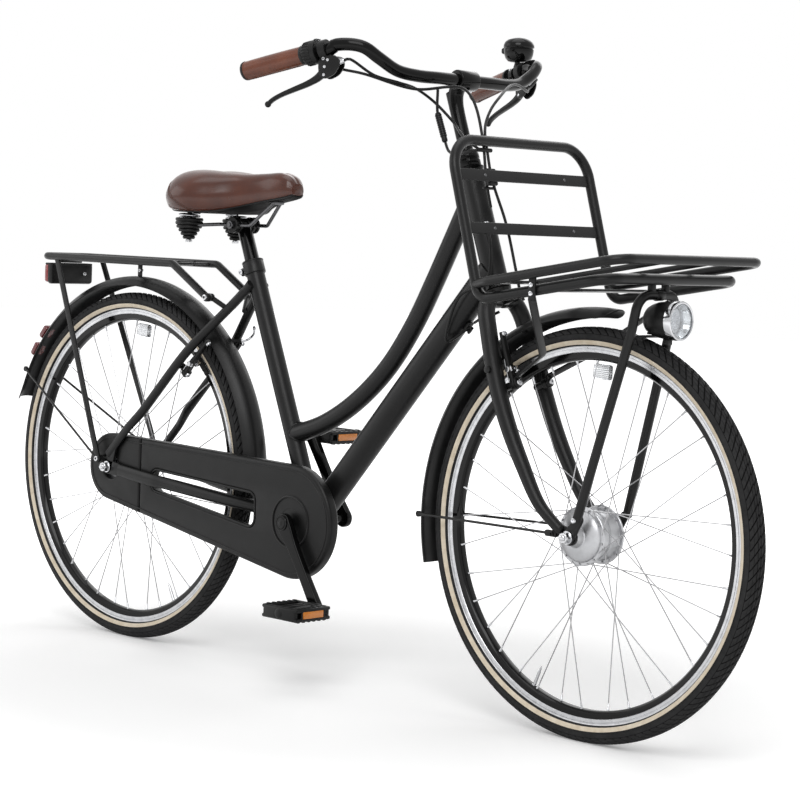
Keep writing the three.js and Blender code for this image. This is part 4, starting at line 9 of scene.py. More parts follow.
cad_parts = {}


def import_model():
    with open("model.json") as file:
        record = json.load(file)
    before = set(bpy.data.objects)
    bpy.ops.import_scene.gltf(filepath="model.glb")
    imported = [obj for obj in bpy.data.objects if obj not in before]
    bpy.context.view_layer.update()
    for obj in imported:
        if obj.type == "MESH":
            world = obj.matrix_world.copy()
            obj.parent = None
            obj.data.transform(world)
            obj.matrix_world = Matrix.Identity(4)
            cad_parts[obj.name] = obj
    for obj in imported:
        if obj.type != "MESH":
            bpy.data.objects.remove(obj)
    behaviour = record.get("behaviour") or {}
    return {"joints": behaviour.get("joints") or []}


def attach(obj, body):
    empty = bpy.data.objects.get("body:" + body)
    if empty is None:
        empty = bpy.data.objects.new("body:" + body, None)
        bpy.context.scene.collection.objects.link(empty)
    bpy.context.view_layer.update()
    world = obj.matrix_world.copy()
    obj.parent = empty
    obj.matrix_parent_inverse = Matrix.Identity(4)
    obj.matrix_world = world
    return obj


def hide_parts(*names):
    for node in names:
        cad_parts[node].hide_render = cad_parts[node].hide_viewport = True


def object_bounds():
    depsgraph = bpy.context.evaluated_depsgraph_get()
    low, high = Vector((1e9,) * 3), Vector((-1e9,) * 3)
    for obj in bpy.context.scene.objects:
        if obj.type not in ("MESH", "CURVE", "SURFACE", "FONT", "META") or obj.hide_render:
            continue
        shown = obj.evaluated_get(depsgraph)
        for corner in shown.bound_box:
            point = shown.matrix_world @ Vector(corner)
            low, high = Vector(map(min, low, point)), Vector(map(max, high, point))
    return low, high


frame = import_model()
cad_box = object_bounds()

# Places below are in millimetres, forward of the rear axle, to the left, and up from a datum that
# lies one tyre radius below it. They become metres in the frame when a mesh is made.
MM = 0.001
TYRE_RADIUS = 349.5
JOINTS = {joint["name"]: joint for joint in frame["joints"]}
REAR_AXLE = np.array([0, 0, TYRE_RADIUS])
ORIGIN = np.array(JOINTS["rear_wheel_spin"]["pos_m"]) / MM - REAR_AXLE
TAU = 2 * math.pi


def vec(x, y, z):
    return np.array([x, y, z], float)


def unit(v):
    return v / np.linalg.norm(v)


def world(p):
    return (np.asarray(p, float) + ORIGIN) * MM


def flip(p):
    return np.asarray(p, float) * [1, -1, 1]


def at(p, y):
    return vec(p[0], y, p[2])


def mid(a, b, share):
    return np.asarray(a, float) * (1 - share) + np.asarray(b, float) * share


FORWARD, LEFT, UP = vec(1, 0, 0), vec(0, 1, 0), vec(0, 0, 1)


def polar(turn, radius=1.0, y=0.0):
    """A step at a turn about an axle, measured from forward towards up."""
    return vec(radius * math.cos(turn), y, radius * math.sin(turn))


def axes_about(direction):
    """A line's own direction and two that are square to it."""
    direction = unit(np.asarray(direction, float))
    side = unit(np.cross(direction, UP if abs(direction[2]) < 0.9 else FORWARD))
    return direction, side, np.cross(direction, side)

# Driving places and angles, as in the frame.
WHEELBASE = 1200
FRONT_AXLE = vec(WHEELBASE, 0, TYRE_RADIUS)
BRACKET = vec(532, 0, 298)
HEAD_ANGLE = math.radians(69.6)
SEAT_ANGLE = math.radians(67.5)
FORK_RAKE = 78
HEAD_UP = vec(-math.cos(HEAD_ANGLE), 0, math.sin(HEAD_ANGLE))
HEAD_FORWARD = vec(math.sin(HEAD_ANGLE), 0, math.cos(HEAD_ANGLE))
HEAD_FOOT = vec(WHEELBASE - FORK_RAKE / math.sin(HEAD_ANGLE), 0, TYRE_RADIUS)
SEAT_UP = vec(-math.cos(SEAT_ANGLE), 0, math.sin(SEAT_ANGLE))
SEAT_FORWARD = vec(math.sin(SEAT_ANGLE), 0, math.cos(SEAT_ANGLE))


def on_fork(forward, y, up):
    return at(HEAD_FOOT + HEAD_FORWARD * forward + HEAD_UP * up, y)


def on_seat(up):
    return BRACKET + SEAT_UP * up


# Shapes: a shape is a pair of points and faces.
ROUND = 28


def merge(*shapes):
    points, faces, base = [], [], 0
    for some_points, some_faces in shapes:
        points.append(np.asarray(some_points, float).reshape(-1, 3))
        faces += [tuple(i + base for i in face) for face in some_faces]
        base += len(points[-1])
    return np.vstack(points), faces


def mirror(shape):
    points, faces = shape
    return points * [1, -1, 1], [tuple(reversed(face)) for face in faces]


def both(shape):
    return merge(shape, mirror(shape))


def unchanged(shape):
    return shape


SIDES = (("left", unchanged), ("right", mirror))


def loft(rings, closed=False):
    """A skin over rows of equal rings, with flat ends unless its last ring meets its first."""
    rings = np.asarray(rings, float)
    rows, count = rings.shape[:2]
    faces = []
    for r in range(rows if closed else rows - 1):
        near, far = r * count, (r + 1) % rows * count
        for i in range(count):
            j = (i + 1) % count
            faces.append((near + i, near + j, far + j, far + i))
    if not closed:
        faces.append(tuple(range(count)))
        faces.append(tuple(range((rows - 1) * count, rows * count)))
    return rings.reshape(-1, 3), faces


def catmull(points, count):
    """Points evenly spaced along a smooth curve through the given ones."""
    points = np.asarray(points, float)
    ends = [2 * points[0] - points[1], *points, 2 * points[-1] - points[-2]]
    dense = []
    for p0, p1, p2, p3 in zip(ends, ends[1:], ends[2:], ends[3:]):
        steps = [max(np.linalg.norm(b - a) ** 0.5, 1e-6) for a, b in ((p0, p1), (p1, p2), (p2, p3))]
        t1, t2, t3 = np.cumsum(steps)
        for t in np.linspace(t1, t2, 24, endpoint=False):
            a1 = (t1 - t) / t1 * p0 + t / t1 * p1
            a2 = (t2 - t) / (t2 - t1) * p1 + (t - t1) / (t2 - t1) * p2
            a3 = (t3 - t) / (t3 - t2) * p2 + (t - t2) / (t3 - t2) * p3
            b1 = (t2 - t) / t2 * a1 + t / t2 * a2
            b2 = (t3 - t) / (t3 - t1) * a2 + (t - t1) / (t3 - t1) * a3
            dense.append((t2 - t) / (t2 - t1) * b1 + (t - t1) / (t2 - t1) * b2)
    dense = np.array([*dense, points[-1]])
    reach = np.concatenate([[0], np.cumsum(np.linalg.norm(np.diff(dense, axis=0), axis=1))])
    wanted = np.linspace(0, reach[-1], count + 1)
    return np.array([[np.interp(w, reach, dense[:, k]) for k in range(dense.shape[1])] for w in wanted])


def through(table, count):
    """Rows of shares smoothed between the rows of a short table, its own rows evenly placed."""
    table = np.asarray(table, float)
    rows = []
    last = len(table) - 1
    for s in np.linspace(0, last, count):
        i = min(int(s), last - 1)
        t = s - i
        p0, p1 = table[max(i - 1, 0)], table[i]
        p2, p3 = table[i + 1], table[min(i + 2, last)]
        rows.append(p1 + 0.5 * t * (p2 - p0 + t * (
            2 * p0 - 5 * p1 + 4 * p2 - p3 + t * (3 * (p1 - p2) + p3 - p0))))
    return np.array(rows)


def turn_about(v, axis, angle):
    c, s = math.cos(angle), math.sin(angle)
    return v * c + np.cross(axis, v) * s + axis * np.dot(axis, v) * (1 - c)


def bent(corners, radius, steps=10):
    """Stations along straight runs joined by rounded corners."""
    stations = [np.asarray(corners[0], float)]
    for before, corner, after in zip(corners, corners[1:], corners[2:]):
        back, ahead = unit(before - corner), unit(after - corner)
        half = math.acos(np.clip(np.dot(back, ahead), -1, 1)) / 2
        reach = radius / math.tan(half)
        centre = corner + unit(back + ahead) * radius / math.sin(half)
        first = corner + back * reach - centre
        axis = unit(np.cross(first, corner + ahead * reach - centre))
        sweep = math.pi - 2 * half
        stations += [centre + turn_about(first, axis, sweep * k / steps) for k in range(steps + 1)]
    stations.append(np.asarray(corners[-1], float))
    return stations


def circle(sides, start=0.0):
    turns = start + TAU * np.arange(sides) / sides
    return np.stack([np.cos(turns), np.sin(turns)], 1)


def sweep(points, section, sizes=None, closed=False, across=None):
    """A section of (sideways, upward) pairs carried along a path without twist."""
    points = np.asarray(points, float)
    if closed:
        steps = np.roll(points, -1, 0) - np.roll(points, 1, 0)
    else:
        steps = np.gradient(points, axis=0)
        steps[0], steps[-1] = points[1] - points[0], points[-1] - points[-2]
    tangents = steps / np.linalg.norm(steps, axis=1)[:, None]
    if across is None:
        across = UP if abs(tangents[0][2]) < 0.9 else LEFT
        side = np.cross(tangents[0], across)
    else:
        side = np.asarray(across, float)
    rings = []
    for i, (p, t) in enumerate(zip(points, tangents)):
        side = unit(side - t * np.dot(side, t))
        up = np.cross(t, side)
        wide, high = (1, 1) if sizes is None else sizes[i]
        rings.append([p + side * a * wide + up * b * high for a, b in section])
    return loft(rings, closed)


def tube(points, radius, sides=ROUND, closed=False):
    return sweep(points, circle(sides) * radius, closed=closed)


def tapered(points, radii, sides=ROUND, across=None):
    sizes = [r if np.ndim(r) else (r, r) for r in radii]
    return sweep(points, circle(sides), sizes, across=across)


def lathe(centre, direction, profile, segments=48, closed=False):
    """A body turned about a line; its profile is (distance along, radius) pairs."""
    direction, side, up = axes_about(direction)
    ring = circle(segments)
    return loft([[centre + direction * h + (side * a + up * b) * max(r, 0.01) for a, b in ring]
                 for h, r in profile], closed)


def rod(a, b, radius, sides=ROUND, edge=0.0):
    """A round bar between two points, with its ends eased by edge."""
    line = np.asarray(b, float) - a
    length = np.linalg.norm(line)
    near = [(0, radius - edge), (edge / 3, radius - edge / 3), (edge, radius)] if edge else [(0, radius)]
    return lathe(a, line, near + [(length - h, r) for h, r in reversed(near)], sides)


def cross_rod(centre, y0, y1, radius, sides=ROUND, edge=0.0):
    return rod(at(centre, y0), at(centre, y1), radius, sides, edge)


def wheel_ring(axle, profile, segments=160):
    """A closed ring about an axle; its profile is (across, radius) pairs."""
    return lathe(axle, LEFT, profile, segments, closed=True)


def rounded(width, height, edge, steps=3):
    """A rounded rectangle section."""
    points = []
    for k, (sx, sy) in enumerate(((1, 1), (-1, 1), (-1, -1), (1, -1))):
        for s in range(steps + 1):
            turn = math.pi / 2 * (k + s / steps)
            points.append([sx * (width / 2 - edge) + edge * math.cos(turn),
                           sy * (height / 2 - edge) + edge * math.sin(turn)])
    return np.array(points)


def bar(points, wide, width, thickness, edge=1.0):
    """A flat bar with eased edges through stations; wide is the direction of its width."""
    points = np.asarray(points, float)
    inner = [mid(a, b, s) for a, b in zip(points, points[1:]) for s in (0.02, 0.98)]
    path = [points[0], *inner, points[-1]]
    return sweep(path, rounded(width, thickness, min(edge, thickness * 0.45)), across=wide)


def brick(centre, size, edge=1.0, axes=(FORWARD, LEFT, UP)):
    """A block with rounded edges, drawn as a rounded section with drawn-in ends."""
    sx, sy, sz = size
    e = min(edge, min(size) * 0.45)
    rings = []
    drawn = ((e, 0), (e * 0.3, e * 0.3), (0, e))
    for end, inset, back in [(-1, *d) for d in drawn] + [(1, *d) for d in reversed(drawn)]:
        place = end * (sx / 2 - back)
        section = rounded(sy - 2 * inset, sz - 2 * inset, max(e - inset * 0.7, 0.05))
        rings.append([centre + axes[0] * place + axes[1] * a + axes[2] * b for a, b in section])
    return loft(rings)


def add_object(name, data):
    made = bpy.data.objects.new(name, data)
    bpy.context.scene.collection.objects.link(made)
    return made


def slab(outlines, y0, y1, edge=1.0, resolution=2):
    """A flat plate across the bike from (forward, up) outlines, the first its rim and the rest its holes."""
    curve = bpy.data.curves.new("outline", "CURVE")
    curve.dimensions = "2D"
    curve.fill_mode = "BOTH"
    curve.extrude = (y1 - y0) / 2 - edge
    curve.bevel_depth = edge
    curve.bevel_resolution = resolution
    curve.offset = -edge
    for outline in outlines:
        spline = curve.splines.new("POLY")
        spline.points.add(len(outline) - 1)
        for point, (x, z) in zip(spline.points, outline):
            point.co = (x, z, 0, 1)
        spline.use_cyclic_u = True
    holder = add_object("outline", curve)
    bpy.context.view_layer.update()
    made = bpy.data.meshes.new_from_object(holder.evaluated_get(bpy.context.evaluated_depsgraph_get()))
    x, z, depth = np.array([v.co for v in made.vertices]).T
    faces = [tuple(p.vertices) for p in made.polygons]
    bpy.data.objects.remove(holder)
    bpy.data.curves.remove(curve)
    bpy.data.meshes.remove(made)
    return np.stack([x, (y0 + y1) / 2 - depth, z], 1), faces


def flat(points):
    """The (forward, up) pairs of some places."""
    return [(p[0], p[2]) for p in points]


def disc(centre, radius, steps=48, start=0.0, sweep_angle=TAU):
    full = abs(sweep_angle - TAU) < 1e-6
    turns = start + sweep_angle * np.arange(steps + (0 if full else 1)) / steps
    return flat(centre + polar(t, radius) for t in turns)


def hole(centre, radius, steps=20):
    """The outline of a round hole in a slab."""
    return disc(centre, radius, steps)[::-1]


def belt(rear, rear_radius, front, front_radius, steps=32):
    """The outline of a belt wrapped round two discs."""
    line = np.asarray(front, float) - rear
    lean = math.atan2(line[2], line[0])
    opened = math.acos((rear_radius - front_radius) / math.hypot(line[0], line[2]))
    return disc(rear, rear_radius, steps, lean + opened, TAU - 2 * opened) + disc(
        front, front_radius, steps, lean - opened, 2 * opened)


# Rings of a screw head, of its hexagonal socket and of a nut: shares of the height and the radius.
HEAD_RINGS = ((0, 1), (0.7, 1), (0.92, 0.92), (1, 0.8))
SOCKET_RINGS = ((1, 0.52), (0.35, 0.5))
NUT_RINGS = ((0, 0.9), (0.12, 1), (0.85, 1), (1, 0.88))


def hexagon(a, b):
    """How far a hexagon with its corners at 1 reaches in a direction."""
    return math.cos(TAU / 12) / math.cos(math.atan2(b, a) % (TAU / 6) - TAU / 12)


def bolt(place, direction, radius, height=3.0):
    """A screw head with an eased rim and a hexagonal socket."""
    direction, side, up = axes_about(direction)

    def ring(h, reach):
        return [place + direction * height * h + (side * a + up * b) * reach(a, b) for a, b in circle(24)]
    rings = [ring(h, lambda a, b: radius * r) for h, r in HEAD_RINGS]
    rings += [ring(h, lambda a, b: radius * r * hexagon(a, b)) for h, r in SOCKET_RINGS]
    return loft([*rings, ring(SOCKET_RINGS[-1][0], lambda a, b: 0.02)])


def nut(place, direction, radius, height):
    """A hexagon nut with chamfered corners."""
    direction, side, up = axes_about(direction)
    return loft([[place + direction * height * h + (side * a + up * b) * radius * min(hexagon(a, b), limit)
                  for a, b in circle(36)] for h, limit in NUT_RINGS])


def dome(centre, direction, radius, height, steps=6, sides=32):
    profile = [(height * math.sin(t), radius * math.cos(t)) for t in np.linspace(0, math.pi / 2, steps + 1)]
    return lathe(centre, direction, [(-0.5, radius), *profile], sides)


def weld(axis_start, axis_end, radius, branch_start, branch_end, branch_radius, bead=2.6):
    """A soft bead where a branch tube meets the skin of another."""
    axis = unit(np.asarray(axis_end, float) - axis_start)
    way = unit(np.asarray(branch_end, float) - branch_start)
    side = unit(np.cross(way, LEFT if abs(way[1]) < 0.9 else UP))
    up = np.cross(way, side)
    points = []
    for a, b in circle(40):
        p = branch_start + (side * a + up * b) * branch_radius - axis_start
        flat_p, flat_w = p - axis * np.dot(p, axis), way - axis * np.dot(way, axis)
        qa, qb = np.dot(flat_w, flat_w), 2 * np.dot(flat_p, flat_w)
        qc = np.dot(flat_p, flat_p) - radius ** 2
        root = max(qb * qb - 4 * qa * qc, 0) ** 0.5
        points.append(p + axis_start + way * (-qb - root) / (2 * qa))
    return tube(points, bead, 8, closed=True)


# Pieces.
def piece(name, shape, body, look, replaces=(), sharp=32):
    """A mesh object that rides on a body, with its look and the frame node that it stands for."""
    points, faces = shape
    data = bpy.data.meshes.new(name)
    data.from_pydata([tuple(p) for p in world(points)], [], faces)
    tool = bmesh.new()
    tool.from_mesh(data)
    bmesh.ops.remove_doubles(tool, verts=tool.verts, dist=1e-6)
    bmesh.ops.dissolve_degenerate(tool, edges=tool.edges, dist=1e-7)
    bmesh.ops.recalc_face_normals(tool, faces=tool.faces)
    tool.to_mesh(data)
    tool.free()
    data.shade_smooth()
    data.set_sharp_from_angle(angle=math.radians(sharp))
    made = add_object(name, data)
    material, slot = look
    data.materials.append(material)
    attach(made, body)
    if replaces:
        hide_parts(*([replaces] if isinstance(replaces, str) else replaces))
    return made


# Materials. Each is a small network of noise, cells and lines in the object's own coordinates.
class Look:
    def __init__(self, name, **values):
        self.material = bpy.data.materials.new(name)
        self.material.use_nodes = True
        self.tree = self.material.node_tree
        self.shader = self.tree.nodes["Principled BSDF"]
        self.place = self.add("ShaderNodeTexCoord").outputs["Object"]
        self.normal = None
        for key, value in values.items():
            self.shader.inputs[key.replace("_", " ")].default_value = value

    def add(self, kind, **values):
        node = self.tree.nodes.new(kind)
        for key, value in values.items():
            if hasattr(node, key):
                setattr(node, key, value)
            else:
                node.inputs[key.replace("_", " ")].default_value = value
        return node

    def link(self, source, target):
        self.tree.links.new(source, target)

    def noise(self, scale, detail):
        node = self.add("ShaderNodeTexNoise", Scale=scale, Detail=detail, Roughness=0.5)
        self.link(self.place, node.inputs["Vector"])
        return node.outputs["Fac"]

    def cells(self, scale):
        node = self.add("ShaderNodeTexVoronoi", feature="F1", Scale=scale)
        self.link(self.place, node.inputs["Vector"])
        return node.outputs["Distance"]

    def ramp(self, fac, low, high, start=0.3, end=0.7):
        node = self.add("ShaderNodeValToRGB")
        node.color_ramp.elements[0].position, node.color_ramp.elements[1].position = start, end
        node.color_ramp.elements[0].color, node.color_ramp.elements[1].color = (*low, 1), (*high, 1)
        self.link(fac, node.inputs["Fac"])
        return node.outputs["Color"]

    def span(self, fac, low, high):
        node = self.add("ShaderNodeMapRange", From_Min=0.3, From_Max=0.7, To_Min=low, To_Max=high)
        self.link(fac, node.inputs["Value"])
        return node.outputs["Result"]

    def colour(self, *ramp):
        self.link(self.ramp(*ramp), self.shader.inputs["Base Color"])

    def rough(self, fac, low, high):
        self.link(self.span(fac, low, high), self.shader.inputs["Roughness"])

    def bump(self, height, strength, distance):
        node = self.add("ShaderNodeBump", Strength=strength, Distance=distance)
        self.link(height, node.inputs["Height"])
        if self.normal is not None:
            self.link(self.normal, node.inputs["Normal"])
        self.normal = node.outputs["Normal"]
        self.link(self.normal, self.shader.inputs["Normal"])

    def axle_distance(self, axle):
        """How far a point is from a wheel's axle line, in metres."""
        shift = self.add("ShaderNodeVectorMath", operation="SUBTRACT")
        shift.inputs[1].default_value = tuple(world(axle))
        self.link(self.place, shift.inputs[0])
        in_plane = self.add("ShaderNodeVectorMath", operation="MULTIPLY")
        in_plane.inputs[1].default_value = (1, 0, 1)
        self.link(shift.outputs["Vector"], in_plane.inputs[0])
        length = self.add("ShaderNodeVectorMath", operation="LENGTH")
        self.link(in_plane.outputs["Vector"], length.inputs[0])
        return length.outputs["Value"]


BLACK_TINT = (1, 1, 1.02)


def scaled(colour, share):
    return tuple(c * share for c in colour)


def black(name, level, rough, grain, fine, depth, specular):
    """A black finish: a soft mottle in colour and gloss, and a fine grain."""
    look = Look(name, Specular_IOR_Level=specular)
    look.colour(look.noise(14, 5), scaled(BLACK_TINT, level * 0.8), scaled(BLACK_TINT, level * 1.25))
    look.rough(look.noise(45, 6), rough * 0.88, rough * 1.12)
    look.bump(look.noise(grain, 3), 0.35, depth * MM)
    look.bump(look.noise(fine, 2), 0.2, depth * 0.5 * MM)
    return look.material


def metal(name, colour, rough, scale=600, depth=0.02):
    look = Look(name, Metallic=1.0)
    look.colour(look.noise(60, 4), scaled(colour, 0.86), colour)
    look.rough(look.noise(scale, 4), rough * 0.75, rough * 1.3)
    look.bump(look.noise(scale, 3), 0.25, depth * MM)
    return look.material


TRACK_LINE_PITCH = 0.9


def brake_track(name, axle):
    """Machined alloy with fine turned lines about the axle."""
    look = Look(name, Metallic=1.0)
    distance = look.axle_distance(axle)
    lines = look.add("ShaderNodeMath", operation="MULTIPLY")
    lines.inputs[1].default_value = TAU / (TRACK_LINE_PITCH * MM)
    look.link(distance, lines.inputs[0])
    wave = look.add("ShaderNodeMath", operation="SINE")
    look.link(lines.outputs[0], wave.inputs[0])
    look.colour(look.noise(90, 4), (0.48, 0.485, 0.5), (0.62, 0.625, 0.64))
    look.rough(look.noise(240, 4), 0.24, 0.4)
    look.bump(wave.outputs[0], 0.35, 0.05 * MM)
    return look.material


def leather(name, dark, light, rough):
    look = Look(name, Specular_IOR_Level=0.35, Coat_Weight=0.15, Coat_Roughness=0.16)
    look.colour(look.noise(22, 6), dark, light, 0.32, 0.72)
    look.rough(look.noise(120, 5), rough * 0.85, rough * 1.2)
    look.bump(look.cells(620), 0.2, 0.05 * MM)
    look.bump(look.noise(900, 4), 0.15, 0.03 * MM)
    return look.material


def lens(name, colour, rough, transmission, cell_scale=0):
    look = Look(name, Transmission_Weight=transmission, IOR=1.49, Coat_Weight=0.4, Coat_Roughness=0.05)
    look.colour(look.noise(60, 3), scaled(colour, 0.85), colour)
    look.rough(look.noise(200, 3), rough * 0.8, rough * 1.2)
    if cell_scale:
        look.bump(look.cells(cell_scale), 0.6, 0.4 * MM)
    return look.material


def tyre_rubber(name):
    look = Look(name, Specular_IOR_Level=0.25)
    look.colour(look.noise(30, 6), (0.009, 0.009, 0.0095), (0.02, 0.02, 0.0205))
    look.rough(look.noise(160, 5), 0.62, 0.82)
    look.bump(look.noise(1400, 3), 0.35, 0.08 * MM)
    return look.material


def stripe_look(name):
    look = Look(name, Specular_IOR_Level=0.4)
    look.colour(look.noise(80, 4), (0.66, 0.56, 0.42), (0.8, 0.71, 0.57))
    look.rough(look.noise(300, 3), 0.4, 0.6)
    look.bump(look.cells(1500), 0.3, 0.1 * MM)
    return look.material


# Each finish with its slot. A black is given by its level, roughness, two grain scales and the grain's depth
# in millimetres, a metal by its colour, roughness and grain, and a lens by its colour, roughness, clearness
# and the scale of its cells.
PAINT = (black("matt_powder_coat", 0.009, 0.34, 900, 2600, 0.04, specular=0.22), "frame_paint")
GLOSS = (black("gloss_black_paint", 0.002, 0.14, 260, 900, 0.02, specular=0.16), "gloss_paint")
PLASTIC = (black("satin_plastic", 0.0045, 0.4, 1100, 3000, 0.05, specular=0.22), "black_plastic")
SHINY = (black("gloss_plastic_black", 0.002, 0.1, 200, 700, 0.015, specular=0.22), "gloss_plastic")
TYRE = (tyre_rubber("tyre_rubber"), "tyre_rubber")
SLEEVE = (black("cable_sleeve", 0.005, 0.38, 500, 1500, 0.03, specular=0.2), "cable_sleeve")
ALLOY = (metal("turned_alloy", (0.5, 0.505, 0.52), 0.4), "silver_alloy")
SPOKE = (metal("spoke_wire", (0.42, 0.42, 0.43), 0.3, 900), "spoke_steel")
CHROME = (metal("polished_chrome", (0.55, 0.555, 0.57), 0.12, 300, depth=0.005), "chrome_trim")
DARK_STEEL = (metal("dark_steel", (0.12, 0.12, 0.125), 0.36), "dark_steel")
LEATHER = (leather("brown_leather", (0.06, 0.0145, 0.007), (0.1, 0.025, 0.011), 0.23), "brown_leather")
SEAM = (leather("seam_thread", (0.05, 0.016, 0.01), (0.09, 0.032, 0.018), 0.6), "brown_leather")
STRIPE = (stripe_look("sidewall_stripe"), "cream_stripe")
GLASS = (lens("clear_lens", (0.96, 0.98, 1.0), 0.03, 0.95), "clear_lens")
RED = (lens("red_lens", (0.34, 0.008, 0.008), 0.18, 0.15, 260), "red_lens")
DARK_RED = (lens("dark_red_lens", (0.16, 0.006, 0.008), 0.2, 0.1, 260), "red_lens")
GRIP = (leather("grip_leather", (0.1, 0.026, 0.012), (0.17, 0.049, 0.022), 0.32), "brown_leather")
# Painted shade and a real black: this very dark matt finish stands for the shade in the tyre's tread grooves
# and in the hub's spoke holes, and is also the real black of the saddle's under plate.
SHADE_AND_BLACK = (black("groove_shade_and_matt_black", 0.003, 0.8, 500, 1500, 0.05, specular=0.1), "tyre_rubber")
AMBER = (lens("amber_lens", (0.85, 0.27, 0.02), 0.22, 0.15, 320), "amber_lens")
MIRROR = (metal("lamp_mirror", (0.75, 0.76, 0.77), 0.1, 200, depth=0.004), "chrome_trim")


# Camera and light.
CAMERA_PLACE = vec(3703.04, -3052.07, 848.09)
CAMERA_TARGET = vec(742.39, 0, 540.38)
CAMERA_ROLL = math.radians(2.30)
CAMERA_LENS = 106.512
SENSOR = 36

# The paper floor: its reach in metres, its grey and its glow to the eye, from near the bike to far away.
FLOOR_REACH = 14.0
FLOOR_GREY = 0.94
FLOOR_GLOW = 0.18
GLOW_FROM, GLOW_TO = 0.6, 2.6
WORLD_STRENGTH = 0.24

# Soft lamps in metres and watts: name, place, target, size and power.
LAMPS = (
    ("key", (2.6, -3.4, 4.2), (0, 0, 0.5), (3.2, 3.2), 140),
    ("fill", (-3.6, -3.0, 2.4), (0, 0, 0.5), (3.2, 3.2), 40),
    ("back", (-1.5, 3.6, 3.4), (0, 0, 0.6), (4.0, 3.0), 60),
    ("top", (0.0, 0.0, 5.0), (0, 0, 0), (3.6, 3.6), 64))


def make_camera():
    data = bpy.data.cameras.new("view")
    data.lens, data.sensor_width = CAMERA_LENS, SENSOR
    data.clip_start, data.clip_end = 0.1, 60
    camera = add_object("view", data)
    back = unit(CAMERA_PLACE - CAMERA_TARGET)
    right = unit(np.cross(-back, UP))
    up = np.cross(back, right)
    tilted = right * math.cos(CAMERA_ROLL) + up * math.sin(CAMERA_ROLL)
    upright = np.cross(back, tilted)
    place = world(CAMERA_PLACE)
    camera.matrix_world = Matrix([
        [*(float(axis[k]) for axis in (tilted, upright, back)), float(place[k])] for k in range(3)
    ] + [[0, 0, 0, 1]])
    bpy.context.scene.camera = camera


def soft_lamp(name, place, target, size, power):
    data = bpy.data.lights.new(name, "AREA")
    data.shape, data.size, data.size_y, data.energy = "RECTANGLE", size[0], size[1], power
    lamp = add_object(name, data)
    lamp.location = place
    lamp.rotation_euler = (Vector(target) - Vector(place)).to_track_quat("-Z", "Y").to_euler()


def seen_rays(tree):
    """1 for the rays that show a background: those of the camera, of gloss and through glass."""
    path = tree.nodes.new("ShaderNodeLightPath")
    seen = path.outputs["Is Camera Ray"]
    for ray in ("Is Glossy Ray", "Is Transmission Ray"):
        either = tree.nodes.new("ShaderNodeMath")
        either.operation = "MAXIMUM"
        tree.links.new(seen, either.inputs[0])
        tree.links.new(path.outputs[ray], either.inputs[1])
        seen = either.outputs[0]
    return seen


def make_world():
    """An even pale light, and white behind everything."""
    sky = bpy.data.worlds.new("studio")
    bpy.context.scene.world = sky
    sky.use_nodes = True
    tree = sky.node_tree
    background = tree.nodes["Background"]
    white = tree.nodes.new("ShaderNodeBackground")
    white.inputs["Color"].default_value = (1, 1, 1, 1)
    background.inputs["Color"].default_value = (1, 1, 1, 1)
    background.inputs["Strength"].default_value = WORLD_STRENGTH
    mix = tree.nodes.new("ShaderNodeMixShader")
    tree.links.new(seen_rays(tree), mix.inputs["Fac"])
    tree.links.new(background.outputs[0], mix.inputs[1])
    tree.links.new(white.outputs[0], mix.inputs[2])
    tree.links.new(mix.outputs[0], tree.nodes["World Output"].inputs["Surface"])


def paper_look():
    """White paper that glows a little to the eye, and more so away from the bike."""
    paper = bpy.data.materials.new("paper")
    paper.use_nodes = True
    tree = paper.node_tree
    shader = tree.nodes["Principled BSDF"]
    shader.inputs["Roughness"].default_value = 0.9
    shader.inputs["Specular IOR Level"].default_value = 0.1
    shader.inputs["Base Color"].default_value = (FLOOR_GREY, FLOOR_GREY, FLOOR_GREY, 1)
    place = tree.nodes.new("ShaderNodeTexCoord")
    away = tree.nodes.new("ShaderNodeVectorMath")
    away.operation = "LENGTH"
    tree.links.new(place.outputs["Object"], away.inputs[0])
    rise = tree.nodes.new("ShaderNodeMapRange")
    spans = ("From Min", GLOW_FROM), ("From Max", GLOW_TO), ("To Min", FLOOR_GLOW), ("To Max", 1.0)
    for key, value in spans:
        rise.inputs[key].default_value = value
    tree.links.new(away.outputs["Value"], rise.inputs["Value"])
    glow = tree.nodes.new("ShaderNodeMath")
    glow.operation = "MULTIPLY"
    tree.links.new(rise.outputs["Result"], glow.inputs[0])
    tree.links.new(seen_rays(tree), glow.inputs[1])
    shader.inputs["Emission Color"].default_value = (1, 1, 1, 1)
    tree.links.new(glow.outputs[0], shader.inputs["Emission Strength"])
    return paper


def make_floor():
    data = bpy.data.meshes.new("floor")
    level = float(cad_box[0][2])
    corners = [(x * FLOOR_REACH, y * FLOOR_REACH, level) for x, y in ((-1, -1), (1, -1), (1, 1), (-1, 1))]
    data.from_pydata(corners, [], [(0, 1, 2, 3)])
    data.materials.append(paper_look())
    add_object("floor", data)


make_camera()
bpy.context.scene.view_settings.view_transform = "Standard"
make_world()
make_floor()
for lamp in LAMPS:
    soft_lamp(*lamp)


# Wheels: profiles are (across, radius) pairs, or (distance along, radius) where a lathe turns them.
TYRE_HALF = 20
TYRE_MIDDLE = 330.5
TYRE_CROWN = TYRE_RADIUS - 2.2
CARCASS = 5
BEAD_RADII = (328.4, 329.8)
RIM_RADIUS = 317
RIM_HALF = 12
RIM_FOOT = 293
RIM_BED = 7
TRACK_FOOT = 306.5
TRACK_GROOVE = RIM_RADIUS - 4.6
STRIPE_LOW, STRIPE_HIGH = 319.4, 326.6
